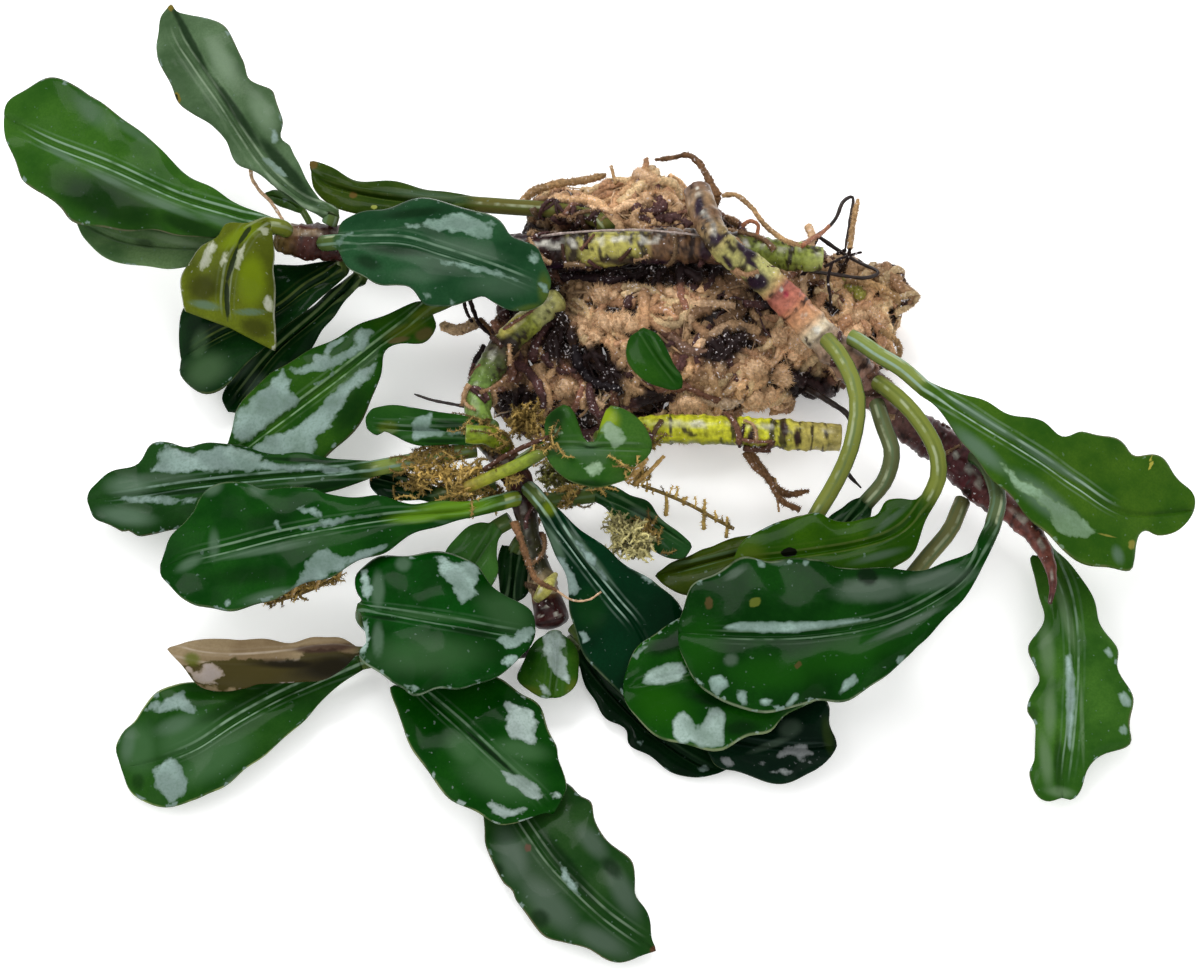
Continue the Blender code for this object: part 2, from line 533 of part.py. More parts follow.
        midrib=[(872, 628, 8), (800, 652, 8.6), (740, 662, 8.8), (700, 669, 8.6), (645, 683, 8.2),
                (623, 690, 7.8)],
        left=[(860, 672), (830, 692), (804, 708), (784, 717), (770, 730), (750, 737), (730, 747),
              (716, 749), (683, 746), (656, 734), (632, 714), (624, 698)],
        right=[(840, 620), (800, 614), (750, 612), (700, 613), (678, 619), (662, 626), (639, 647),
               (625, 668)],
        lift=(-1.2, 0.2), rows=9,
    ),
    "leaf_arching": Leaf(
        stalk=[(958, 462, 7.6), (976, 457, 11), (990, 472, 12.6), (998, 500, 14.4)],
        midrib=[(992, 528, 15.2), (970, 572, 14.6), (936, 599, 13.8), (886, 622, 13), (818, 634, 12.4),
                (750, 636, 12), (678, 633, 11.2)],
        left=[(990, 552), (972, 585), (953, 612), (919, 643), (906, 660), (879, 680), (852, 700),
              (821, 700), (798, 708), (760, 711), (730, 707), (710, 693), (690, 673), (680, 653)],
        right=[(984, 535), (975, 550), (953, 560), (929, 568), (902, 568), (869, 567), (838, 567),
               (818, 558), (784, 560), (750, 558), (730, 565), (713, 572), (696, 585), (686, 602),
               (679, 618)],
        lift=(-1.6, 0.2), crown=0.8, rows=10,
    ),
    "leaf_olive_arching": Leaf(
        stalk=[(862, 372, 14), (895, 395, 17.6), (918, 419, 18), (936, 450, 17), (938, 478, 14.8)],
        midrib=[(928, 500, 12.8), (900, 530, 11.4), (860, 545, 10.8), (800, 555, 10.2), (733, 562, 9.6)],
        left=[(926, 520), (908, 560), (860, 580), (800, 588), (760, 584)],
        right=[(914, 500), (898, 498), (885, 501), (876, 517), (852, 521), (831, 519), (815, 514),
               (784, 519), (760, 529), (743, 541)],
        lift=(-0.4, 0.4), colour=OLIVE, rows=9,
    ),
    "leaf_olive_low": Leaf(
        stalk=[(806, 322, 16.6), (838, 352, 19), (857, 395, 19.4), (853, 440, 16.6), (838, 478, 12)],
        midrib=[(812, 522, 7.4), (770, 545, 6.8), (710, 562, 6.2), (655, 576, 5.6)],
        left=[(800, 550), (760, 575), (720, 592), (690, 595), (667, 588)],
        right=[(792, 518), (750, 534), (716, 546), (700, 549), (685, 559), (668, 567)],
        colour=OLIVE, rows=7,
    ),
    "leaf_short_arching": Leaf(
        stalk=[(872, 388, 13), (883, 424, 15.6), (892, 452, 14.6), (885, 480, 11.8)],
        midrib=[(866, 503, 9.4), (846, 525, 8.6), (826, 547, 8.2)],
        left=[(869, 520), (856, 540), (838, 552)],
        right=[(848, 503), (832, 515), (822, 532)],
        colour=DEEP_GREEN, rows=4,
    ),
    "leaf_black_green": Leaf(
        stalk=[(552, 626, 4.4), (566, 640, 3.2)],
        midrib=[(578, 652, 2.2), (610, 692, 1.5), (650, 732, 1.3), (700, 765, 1.2), (726, 770, 1.2)],
        left=[(620, 670), (655, 695), (700, 728), (724, 750)],
        right=[(579, 664), (585, 687), (598, 703), (607, 720), (625, 730), (631, 745), (649, 756),
               (669, 771), (696, 778), (714, 775)],
        colour=DEEP_GREEN,
    ),
    "leaf_crumpled": Leaf(
        stalk=[(562, 612, 5), (586, 640, 5), (622, 682, 4.2), (665, 714, 3.8)],
        midrib=[(705, 735, 3.4), (760, 745, 4), (800, 748, 4), (837, 746, 3.2)],
        left=[(735, 712), (775, 702), (822, 701), (832, 722)],
        right=[(716, 766), (737, 774), (767, 781), (794, 781), (815, 771), (831, 755)],
        lift=(0.6, -1.4), colour=DEEP_GREEN, rows=7,
    ),
    # Far right
    "leaf_far_right": Leaf(
        stalk=[(830, 342, 15.8), (850, 337, 17.4), (879, 355, 18.2), (902, 369, 18)],
        midrib=[(924, 388, 17.4), (984, 425, 17.6), (1037, 458, 16.2), (1076, 485, 13.6), (1126, 514, 10),
                (1194, 511, 6)],
        left=[(945, 389), (978, 399), (1011, 412), (1043, 422), (1063, 437), (1083, 432), (1109, 437),
              (1126, 445), (1136, 453), (1152, 455), (1169, 465), (1182, 478), (1192, 496)],
        right=[(938, 409), (964, 445), (997, 484), (1024, 511), (1050, 540), (1070, 554), (1090, 567),
               (1109, 570), (1128, 570), (1139, 560), (1141, 548), (1150, 540),
               (1169, 534), (1186, 523)],
        lift=(0.4, -0.8), rows=11,
    ),
    "leaf_hanging_right": Leaf(
        stalk=[(1018, 520, 6.6), (1036, 538, 5)],
        midrib=[(1047, 553, 4.4), (1062, 580, 4.8), (1071, 613, 5), (1074, 662, 5), (1070, 728, 4),
                (1062, 798, 2.4)],
        left=[(1070, 564), (1086, 587), (1100, 616), (1115, 645), (1119, 669), (1131, 695), (1131, 728),
              (1129, 744), (1103, 755), (1090, 770), (1074, 798)],
        right=[(1030, 557), (1035, 580), (1043, 613), (1030, 649), (1032, 666), (1038, 679), (1033, 692),
               (1026, 712), (1035, 728), (1035, 755), (1027, 774), (1034, 791), (1048, 801)],
        lift=(-0.6, -1.0), rows=10,
    ),
    "leaf_on_roots": Leaf(
        stalk=[],
        midrib=[(642, 330, 21.6), (660, 360, 21.6), (682, 388, 20.6)],
        left=[(657, 336), (669, 353), (679, 372)],
        right=[(628, 340), (629, 363), (646, 382), (668, 390)],
        rows=5, stalk_radius=0.4,
    ),
}


def new_object(name, data, colour, roughness, collection):
    """An object in the collection, with a plain material of its own."""
    thing = bpy.data.objects.new(name, data)
    collection.objects.link(thing)
    material = bpy.data.materials.new(name)
    material.use_nodes = True
    shader = material.node_tree.nodes["Principled BSDF"]
    shader.inputs["Base Color"].default_value = (*colour, 1)
    shader.inputs["Roughness"].default_value = roughness
    shader.inputs["Metallic"].default_value = 0
    data.materials.append(material)
    return thing


def tube(name, points, radii, sides_level):
    """A curve along points in mm, whose radius changes from point to point."""
    data = bpy.data.curves.new(name, "CURVE")
    data.dimensions = "3D"
    data.bevel_depth = MM
    data.bevel_resolution = sides_level
    data.use_fill_caps = True
    spline = data.splines.new("POLY")
    spline.points.add(len(points) - 1)
    for corner, point, radius in zip(spline.points, points, radii):
        corner.co = (*(point * MM), 1)
        corner.radius = radius
    return data


def fused(name, balls, grid, triangles, collection, colour, cutter):
    """One closed lump from many balls: (point, radius) pairs in mm, cut off flat at the ground."""
    mesh = bmesh.new()
    for point, radius in balls:
        made = bmesh.ops.create_icosphere(mesh, subdivisions=2 if radius > 3 else 1, radius=radius * MM)
        bmesh.ops.translate(mesh, verts=made["verts"], vec=point * MM)
    data = bpy.data.meshes.new(name)
    mesh.to_mesh(data)
    mesh.free()
    lump = new_object(name, data, colour, FUZZY, collection)
    skin = lump.modifiers.new("Fuse", "REMESH")
    skin.mode = "VOXEL"
    skin.voxel_size = grid * MM
    graph = bpy.context.evaluated_depsgraph_get()
    whole = lump.evaluated_get(graph).to_mesh()
    whole.calc_loop_triangles()
    share = triangles / len(whole.loop_triangles)
    lump.evaluated_get(graph).to_mesh_clear()
    thin = lump.modifiers.new("Thin", "DECIMATE")
    thin.ratio = min(1.0, share)
    flat = lump.modifiers.new("Ground", "BOOLEAN")
    flat.operation = "DIFFERENCE"
    flat.object = cutter
    return lump


def room(point, obstacles):
    """How large a ball at this point in mm can be and still keep the gap to all obstacles."""
    points, radii = obstacles
    return (np.linalg.norm(points - point, axis=1) - radii).min() - 2 * GAP


def root_balls(obstacles):
    """The balls of the root mass: its clumps, and strands that wander over and out of them."""
    rng = np.random.default_rng(11)
    middles = np.array([spot(clump[:3]) for clump in ROOT_CLUMPS])
    sizes = np.array([clump[3] for clump in ROOT_CLUMPS])
    balls = [(middle, min(size, room(middle, obstacles))) for middle, size in zip(middles, sizes)]
    for _ in range(ROOT_STRANDS):
        start = rng.integers(len(middles))
        heading = rng.normal(size=3)
        heading /= np.linalg.norm(heading)
        heading[2] = abs(heading[2])
        point = middles[start] + heading * sizes[start] * 0.8
        course = np.cross(heading, rng.normal(size=3))
        for _ in range(STRAND_STEPS):
            course = course / np.linalg.norm(course) + rng.normal(size=3) * STRAND_WANDER
            nearest = np.argmin(np.linalg.norm(middles - point, axis=1) - sizes)
            course += (middles[nearest] - point) / sizes[nearest] * STRAND_PULL
            point = point + course / np.linalg.norm(course) * STRAND_STEP
            point[2] = min(max(point[2], STRAND_LEVELS[0]), STRAND_LEVELS[1])
            radius = min(STRAND_RADIUS, room(point, obstacles))
            outside = (np.linalg.norm(middles - point, axis=1) - sizes).min()
            if radius < STRAND_RADIUS / 2 or outside > STRAND_REACH:
                break
            balls.append((point.copy(), radius))
    return [(point, radius) for point, radius in balls if radius > SMALLEST_BALL]


def moss_balls(places, radius, obstacles):
    """Balls along a line of moss, each as large as its room allows."""
    count = 4 * len(places)
    points = [spot(place) for place in along(places, np.linspace(0, 1, count))]
    return [(point, max(SMALLEST_BALL, min(radius, room(point, obstacles)))) for point in points]


def obstacles_from(surfaces):
    """Points that balls keep clear of, with radii: leaf surfaces, stems and loose roots."""
    points, radii = [], []
    for rows, halves in surfaces.values():
        quarters = np.arange(4)[:, None, None, None] / 4
        fine = (rows[:-1] + (rows[1:] - rows[:-1]) * quarters).reshape(-1, *rows.shape[1:])
        middles = (fine[:, 1:] + fine[:, :-1]) / 2
        for part in (fine, middles):
            points.append(part.reshape(-1, 3))
            radii.append(np.full(part.size // 3, halves.max()))
    for axis, thickness in [*STEM_AXES.values(), *(root_line(name, 3) for name in ROOTS)]:
        points.append(axis)
        radii.append(thickness)
    return np.vstack(points), np.concatenate(radii)


def root_line(name, parts=1):
    """Points in mm along a loose root, and its radius at each."""
    places, ends, _ = ROOTS[name]
    fractions = np.linspace(0, 1, parts * (2 * len(places) - 3) + 1)
    points = np.array([spot(place) for place in along(places, fractions)])
    return points, np.interp(fractions, (0, 1), ends)


def ground_cutter():
    """A block below the ground, whose top is at z = 0."""
    cutters = bpy.data.collections.new("cutters")
    bpy.context.scene.collection.children.link(cutters)
    mesh = bmesh.new()
    bmesh.ops.create_cube(mesh, size=GROUND_SIZE * MM)
    bmesh.ops.translate(mesh, verts=mesh.verts, vec=(0, 0, -GROUND_SIZE / 2 * MM))
    data = bpy.data.meshes.new("ground")
    mesh.to_mesh(data)
    mesh.free()
    block = bpy.data.objects.new("ground", data)
    cutters.objects.link(block)
    block.hide_render = True
    block.display_type = "WIRE"
    return block


def main():
    for thing in list(bpy.data.objects):
        bpy.data.objects.remove(thing)
    plant = bpy.data.collections.new("bucephalandra")
    bpy.context.scene.collection.children.link(plant)
    surfaces = {name: leaf.surface() for name, leaf in LEAVES.items()}
    for name, leaf in LEAVES.items():
        rows, halves = surfaces[name]
        new_object(name, lofted(name, rows, halves, not leaf.cut), leaf.colour, WET, plant)
    for name in STEMS:
        points, radii = stem_axis(name, len(STEMS[name][0]) + 1)
        new_object(name, tube(name, points, radii, 2), STEM_COLOURS[name], MOIST, plant)
    for name in ROOTS:
        points, radii = root_line(name)
        new_object(name, tube(name, points, radii, 0), ROOTS[name][2], FUZZY, plant)
    obstacles = obstacles_from(surfaces)
    ground = ground_cutter()
    fused("root_mass", root_balls(obstacles), ROOT_GRID, ROOT_TRIANGLES, plant, TAN, ground)
    for name, (places, radius, colour) in MOSS.items():
        fused(name, moss_balls(places, radius, obstacles), MOSS_GRID, MOSS_TRIANGLES, plant, colour, ground)


main()
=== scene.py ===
"""The dressed look of a bare-root Bucephalandra: wet, wavy leaves, ringed rhizomes, fuzzy roots and moss.

Places are given as they are seen in the main view: (x, y) in pixels of a 1200 x 977 frame, with a height
over the floor in millimetres. spots() turns them into points in space.
"""

import math

import bmesh
import bpy
import numpy as np
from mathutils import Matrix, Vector
from mathutils.bvhtree import BVHTree


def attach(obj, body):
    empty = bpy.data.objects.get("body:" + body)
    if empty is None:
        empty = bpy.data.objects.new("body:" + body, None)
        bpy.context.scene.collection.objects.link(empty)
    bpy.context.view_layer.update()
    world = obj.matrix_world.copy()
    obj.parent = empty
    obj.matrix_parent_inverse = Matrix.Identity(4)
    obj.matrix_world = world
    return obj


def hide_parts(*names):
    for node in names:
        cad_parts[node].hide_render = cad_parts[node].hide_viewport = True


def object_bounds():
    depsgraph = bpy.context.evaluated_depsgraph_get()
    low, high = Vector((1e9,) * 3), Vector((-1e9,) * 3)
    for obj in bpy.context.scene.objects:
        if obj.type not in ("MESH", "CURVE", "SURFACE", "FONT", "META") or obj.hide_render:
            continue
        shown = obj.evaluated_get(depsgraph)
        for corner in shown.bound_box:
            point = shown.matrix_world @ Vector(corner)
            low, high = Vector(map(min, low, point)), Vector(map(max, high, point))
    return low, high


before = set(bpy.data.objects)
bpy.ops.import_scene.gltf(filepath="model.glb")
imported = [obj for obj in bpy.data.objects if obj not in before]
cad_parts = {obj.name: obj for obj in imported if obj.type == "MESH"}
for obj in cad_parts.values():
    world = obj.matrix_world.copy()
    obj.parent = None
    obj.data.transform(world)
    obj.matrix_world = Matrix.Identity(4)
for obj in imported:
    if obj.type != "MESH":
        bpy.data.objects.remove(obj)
cad_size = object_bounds()

MM = 0.001
TINY = 1e-9
TOP_LEVEL = cad_size[1][2] / MM

# The main view, in mm but for its pixels
VIEW_PIXELS = (1200, 977)
VIEW_SPAN = 150.0
VIEW_DISTANCE = 600.0
VIEW_ELEVATION = math.radians(60)
VIEW_CENTRE = np.array([1.3, -2.9, 8.0])
PIXELS_PER_MM = VIEW_PIXELS[0] / VIEW_SPAN
SENSOR_WIDTH = 36.0
SINE, COSINE = math.sin(VIEW_ELEVATION), math.cos(VIEW_ELEVATION)
EYE = VIEW_CENTRE + VIEW_DISTANCE * np.array([0, -COSINE, SINE])

# Steps between two given points of a smooth curve, and the waves that a ripple is made of
CURVE_STEPS = 12
RIPPLE_WAVES = 9

# Leaves: a stalk's radius and half a blade's thickness in mm, the rows of points of a blade and of a stalk,
# the last share of its length at which a stalk may start, and how far from a stem it does, in its radii
STALK_RADIUS = 1.05
HALF_THICKNESS = 0.2
ROWS_PER_MM = 2.2
FEWEST_ROWS = 20
STALK_ROWS = 12
LATEST_START = 0.8
ROOTED_SHARE = 0.7

# Where the points of a row are, from the left margin at -1 over the midrib at 0 to the right margin at 1
HALF_SECTION = np.array([0, 0.03, 0.06, 0.1, 0.15, 0.21, 0.28, 0.35, 0.42, 0.49, 0.56, 0.63, 0.7, 0.77, 0.84,
                         0.9,
                         0.94, 0.97, 1.0])
SECTION = np.concatenate([-HALF_SECTION[:0:-1], HALF_SECTION])


def spots(places):
    """The points, in mm, where the view's rays through (x, y) pixels meet the levels at their heights."""
    places = np.asarray(places, float)
    across = (places[..., 0] - VIEW_PIXELS[0] / 2) / PIXELS_PER_MM
    up = (VIEW_PIXELS[1] / 2 - places[..., 1]) / PIXELS_PER_MM
    ray = np.stack([across, up * SINE, up * COSINE], -1) + VIEW_CENTRE - EYE
    return EYE + ray * ((places[..., 2] - EYE[2]) / ray[..., 2])[..., None]


def seen(points):
    """Where points in mm are seen in the main view, in pixels."""
    away = np.asarray(points) - EYE
    depth = away @ np.array([0, COSINE, -SINE])
    scale = VIEW_DISTANCE * PIXELS_PER_MM / depth
    return np.stack([VIEW_PIXELS[0] / 2 + away[..., 0] * scale,
                     VIEW_PIXELS[1] / 2 - (away @ np.array([0, SINE, COSINE])) * scale], -1)


def smooth(points):
    """Closely spaced points along a Catmull-Rom curve through the given ones."""
    knots = np.array(points, float)
    knots = np.vstack([2 * knots[0] - knots[1], knots, 2 * knots[-1] - knots[-2]])
    u = (np.arange(CURVE_STEPS) / CURVE_STEPS)[:, None]
    spans = [
        (2 * b + (c - a) * u + (2 * a - 5 * b + 4 * c - d) * u**2 + (3 * b - 3 * c + d - a) * u**3) / 2
        for a, b, c, d in zip(knots[:-3], knots[1:-2], knots[2:-1], knots[3:])
    ]
    return np.vstack([*spans, knots[-2]])


def travelled(points):
    """How far along a line of points each one is."""
    return np.concatenate([[0], np.cumsum(np.linalg.norm(np.diff(points, axis=0), axis=1))])


def along(points, fractions):
    """Points at these fractions of the length, in the view, of the smooth curve through the given points."""
    curve = smooth(points)
    reached = travelled(curve[:, :2])
    return np.column_stack([np.interp(fractions, reached / reached[-1], column) for column in curve.T])


def seen_line(places, count):
    """Evenly spaced points in mm along the smooth curve through these places."""
    return spots(along(places, np.linspace(0, 1, count)))


def ramp(value, low, high):
    """0 below low, 1 above high, and smooth between."""
    t = np.clip((value - low) / (high - low), 0, 1)
    return t * t * (3 - 2 * t)


def bell(value, middle, width):
    """1 where the value is in the middle, and near 0 where it is twice the width away."""
    return np.exp(-(((value - middle) / width) ** 2))


def ripple(points, size, seed):
    """Smooth random waves in space, about -1 to 1, whose length is about size."""
    rng = np.random.default_rng(seed)
    total = 0
    for _ in range(RIPPLE_WAVES):
        heading = rng.normal(size=points.shape[-1])
        heading *= 2 * math.pi / size / np.linalg.norm(heading) * rng.uniform(0.6, 1.5)
        total = total + np.sin(points @ heading + rng.uniform(0, 2 * math.pi))
    return total / 4


STEMS = {
    "rhizome_upper": (
        [(822, 259, 17.2), (790, 256, 17.6), (740, 249, 18), (690, 246, 18), (640, 247, 17.6),
         (590, 250, 16.6), (545, 252, 14.8), (500, 250, 13.9), (440, 246, 13), (380, 243, 12.6),
         (335, 243, 12.8), (300, 241, 13.4), (280, 239, 13.8)],
        [1.5, 1.8, 2.0, 2.2, 2.2, 2.2, 2.2, 2.1, 2.0, 2.0, 2.3, 2.2, 1.7],
    ),
    "rhizome_right": (
        [(697, 190, 23.2), (704, 213, 23.6), (717, 238, 23.4), (736, 258, 22), (760, 274, 20.2),
         (790, 303, 18), (820, 335, 16), (860, 375, 13.6), (892, 412, 11.4), (922, 434, 9.6),
         (945, 448, 8.6), (966, 473, 7.6), (991, 498, 7), (1011, 511, 6.8), (1031, 531, 7),
         (1047, 557, 7.2), (1053, 583, 7.2), (1050, 603, 7)],
        [1.7, 1.8, 1.7, 1.8, 1.9, 2.0, 2.1, 2.2, 2.0, 2.3, 2.4, 2.2, 1.8, 1.6, 1.3, 0.9, 0.5, 0.25],
    ),
    "rhizome_front": (
        [(600, 443, 9.6), (653, 430, 10), (717, 430, 10.4), (765, 433, 10.4), (812, 436, 10),
         (840, 438, 9.6)],
        [1.6, 1.8, 1.8, 1.8, 1.8, 1.7],
    ),
    "rhizome_left": (
        [(556, 300, 12.4), (530, 320, 12.6), (505, 345, 12.4), (487, 375, 12), (478, 400, 11.5),
         (482, 430, 11), (500, 452, 10.5), (518, 480, 9.9), (525, 510, 9), (532, 545, 7.8),
         (543, 585, 6.2), (552, 620, 4.6)],
        [1.6, 1.7, 1.7, 1.8, 1.7, 1.7, 1.8, 1.8, 1.5, 1.2, 1.8, 2.2],
    ),
    "rhizome_low": (
        [(524, 646, 3.4), (480, 654, 3), (430, 660, 3), (388, 655, 3.4)],
        [1.5, 1.5, 1.6, 1.6],
    ),
    "stalk_cut": (
        [(466, 434, 16.4), (484, 435, 16.2), (497, 440, 14.8), (503, 447, 13.2)],
        [1.2, 1.2, 1.1, 1.0],
    ),
    "bud_young": (
        [(536, 600, 8.8), (546, 588, 9.4), (556, 574, 9.2)],
        [0.5, 0.9, 0.3],
    ),
}
TAN, BROWN, BLACK = (0.36, 0.22, 0.1), (0.16, 0.08, 0.035), (0.02, 0.012, 0.01)
MOSS_GOLD, MOSS_PALE = (0.28, 0.19, 0.055), (0.3, 0.27, 0.12)

# Roots that stand clear of the mass: places along each one, its radius at both ends, and its colour
ROOTS = {
    "root_top_left": ([(517, 211, 10.6), (530, 194, 12), (552, 185, 12.4), (580, 181, 12), (606, 175, 11)],
                      (0.9, 0.8), TAN),
    "root_top_hook": ([(718, 196, 15.4), (709, 180, 16), (700, 164, 16), (687, 155, 15), (672, 158, 14),
                       (655, 160, 13)], (0.9, 0.4), BROWN),
    "root_arc": ([(722, 196, 18.6), (736, 195, 19), (751, 207, 19.4), (766, 226, 20), (783, 239, 21),
                  (801, 246, 21)], (0.5, 0.5), TAN),
    "root_black_loop": ([(806, 242, 14), (825, 230, 14), (836, 218, 14.5), (843, 202, 15), (853, 198, 15),
                         (850, 222, 14), (845, 250, 12.8)], (0.4, 0.35), BLACK),
    "root_black_out": ([(818, 236, 12), (838, 250, 11.5), (858, 262, 11), (878, 272, 11), (864, 278, 11),
                        (832, 274, 11.5), (806, 271, 12)], (0.4, 0.35), BLACK),
    "root_tan_stick": ([(850, 248, 16.4), (853, 225, 17), (858, 199, 17.4)], (0.6, 0.5), TAN),
    "root_right_fork": ([(846, 280, 10), (872, 284, 9.6), (901, 300, 9)], (0.9, 0.6), TAN),
    "root_right_curl": ([(880, 330, 9), (893, 338, 8.4), (900, 350, 7.6), (893, 370, 6)], (0.7, 0.5), TAN),
    "root_black_front": ([(806, 388, 6), (830, 402, 7), (850, 418, 8), (853, 445, 7.5), (847, 470, 5.5),
                          (861, 488, 4)], (0.7, 0.35), BLACK),
    "root_front_down": ([(748, 450, 6.8), (757, 463, 5.8), (770, 480, 4.5), (786, 494, 3.5),
                         (809, 491, 3)],
                        (1.0, 0.6), BROWN),
    "root_black_thin": ([(467, 407, 10), (452, 404, 9), (432, 400, 8), (414, 394, 8)], (0.35, 0.25), BLACK),
    "root_left_stub": ([(478, 322, 6), (458, 330, 5.6), (441, 325, 5)], (1.3, 1.1), (0.52, 0.35, 0.2)),
    "root_lower": ([(514, 522, 12), (521, 540, 11.6), (529, 564, 11.2), (537, 580, 11.6),
                    (557, 591, 11.8)],
                   (0.8, 0.4), BROWN),
}

# Moss: the middles of its lumps, their radius, and its colour
MOSS = {
    "moss_gold": ([(418, 477, 10.6), (436, 475, 11.4), (455, 474, 12.2), (475, 471, 13.4),
                   (497, 470, 14.2), (512, 476, 14.2)], 1.3, MOSS_GOLD),
    "moss_tuft": ([(610, 522, 10), (622, 528, 10.2), (636, 536, 10.2), (644, 545, 10), (632, 550, 10),
                   (618, 540, 10)], 1.7, MOSS_PALE),
    "moss_comb": ([(642, 486, 10.4), (660, 492, 9.8), (690, 505, 9.2), (715, 519, 8.8), (734, 529, 8.5)],
                  1.0, MOSS_GOLD),
    "moss_fringe": ([(267, 604, 7.2), (290, 597, 7.8), (315, 588, 8.2), (341, 575, 8.8)], 0.9, MOSS_GOLD),
}


def stem_axis(name, count=60):
    """Points in mm along a stem's middle, and its radius at each."""
    places, radii = STEMS[name]
    fractions = np.linspace(0, 1, count)
    seen_at = along([(*place, radius) for place, radius in zip(places, radii)], fractions)
    return spots(seen_at[:, :3]), seen_at[:, 3]


STEM_AXES = {name: stem_axis(name) for name in STEMS}


def clearance(points):
    """How far these points in mm keep from the nearest stem."""
    gaps = [
        np.linalg.norm(points[:, None] - axis[None], axis=2) - radii
        for axis, radii in STEM_AXES.values()
    ]
    return min(gap.min() for gap in gaps)


class Leaf:
    """A leaf: where its stalk and midrib run, where its margins are seen, and how far they rise or droop.

    stalk and midrib are (x, y, height) places from the stem to the tip. left and right are the (x, y) places
    of the margins from the blade's base on, on the left and right hand of someone who walks to the tip. lift
    is how far each margin stands above the midrib where the blade is widest, and crown is how far the middle
    of each half bulges. A cut leaf has no tip: its margins end where they are cut.
    """

    def __init__(self, stalk, midrib, left, right, lift=(0, 0), crown=0.5, cut=False,
                 stalk_radius=STALK_RADIUS):
        self.stalk, self.midrib, self.left, self.right = stalk, midrib, left, right
        self.lift, self.crown, self.cut, self.stalk_radius = lift, crown, cut, stalk_radius

    def margin(self, places, hand, fractions, middle):
        """Places of one margin, with heights, for rows whose middles are given."""
        start, ahead = np.array(self.midrib[0][:2]), np.array(self.midrib[1][:2])
        sideways = np.array([ahead[1] - start[1], start[0] - ahead[0]]) * hand
        first = start + sideways / np.linalg.norm(sideways) * self.stalk_radius * PIXELS_PER_MM
        last = [] if self.cut else [self.midrib[-1][:2]]
        edge = along([first, *places, *last], fractions)
        reach = np.linalg.norm(edge - middle[:, :2], axis=1)
        lift = self.lift[0 if hand > 0 else 1] * (reach / reach.max()) ** 1.5
        return np.column_stack([edge, middle[:, 2] + lift])

    def stalk_line(self, start, count):
        """Points in mm along the stalk, from this fraction of its length to the blade, and the way ahead."""
        fractions = np.linspace(start, 1, count + 1)[:-1]
        path = [*self.stalk, self.midrib[0]]
        centres = spots(along(path, fractions))
        ahead = spots(along(path, fractions + 0.02)) - centres
        return centres, ahead / np.linalg.norm(ahead, axis=1)[:, None]

    def stalk_start(self):
        """The fraction of the stalk's length at which it clears the stem that it grows from."""
        for start in np.linspace(0, LATEST_START, 41):
            if clearance(self.stalk_line(start, STALK_ROWS)[0][:1]) >= self.stalk_radius * ROOTED_SHARE:
                return start
        return LATEST_START

    def stalk_rows(self, first_row):
        """Rows of points in mm across the stalk, turned as the blade's first row is."""
        rows = []
        side = first_row[0] - first_row[-1]
        for centre, ahead in list(zip(*self.stalk_line(self.stalk_start(), STALK_ROWS)))[::-1]:
            side = side - ahead * (side @ ahead)
            side *= self.stalk_radius / np.linalg.norm(side)
            rows.insert(0, centre - side * SECTION[:, None])
        return np.array(rows)

    def length(self):
        """The midrib's length in mm."""
        return travelled(spots(smooth(self.midrib)))[-1]

    def blade(self):
        """The blade's middle layer as rows of points in mm, before it is made wavy."""
        fractions = np.linspace(0, 1, max(FEWEST_ROWS, round(self.length() * ROWS_PER_MM)))
        middle = along(self.midrib, fractions)
        left = self.margin(self.left, 1, fractions, middle)
        right = self.margin(self.right, -1, fractions, middle)
        share = np.abs(SECTION)[None, :, None]
        edge = np.where(SECTION[None, :, None] < 0, left[:, None], right[:, None])
        places = middle[:, None] + (edge - middle[:, None]) * share
        bulge = self.crown * 4 * share[..., 0] * (1 - share[..., 0]) * np.sin(math.pi * fractions)[:, None]
        places[..., 2] += bulge
        return spots(places)


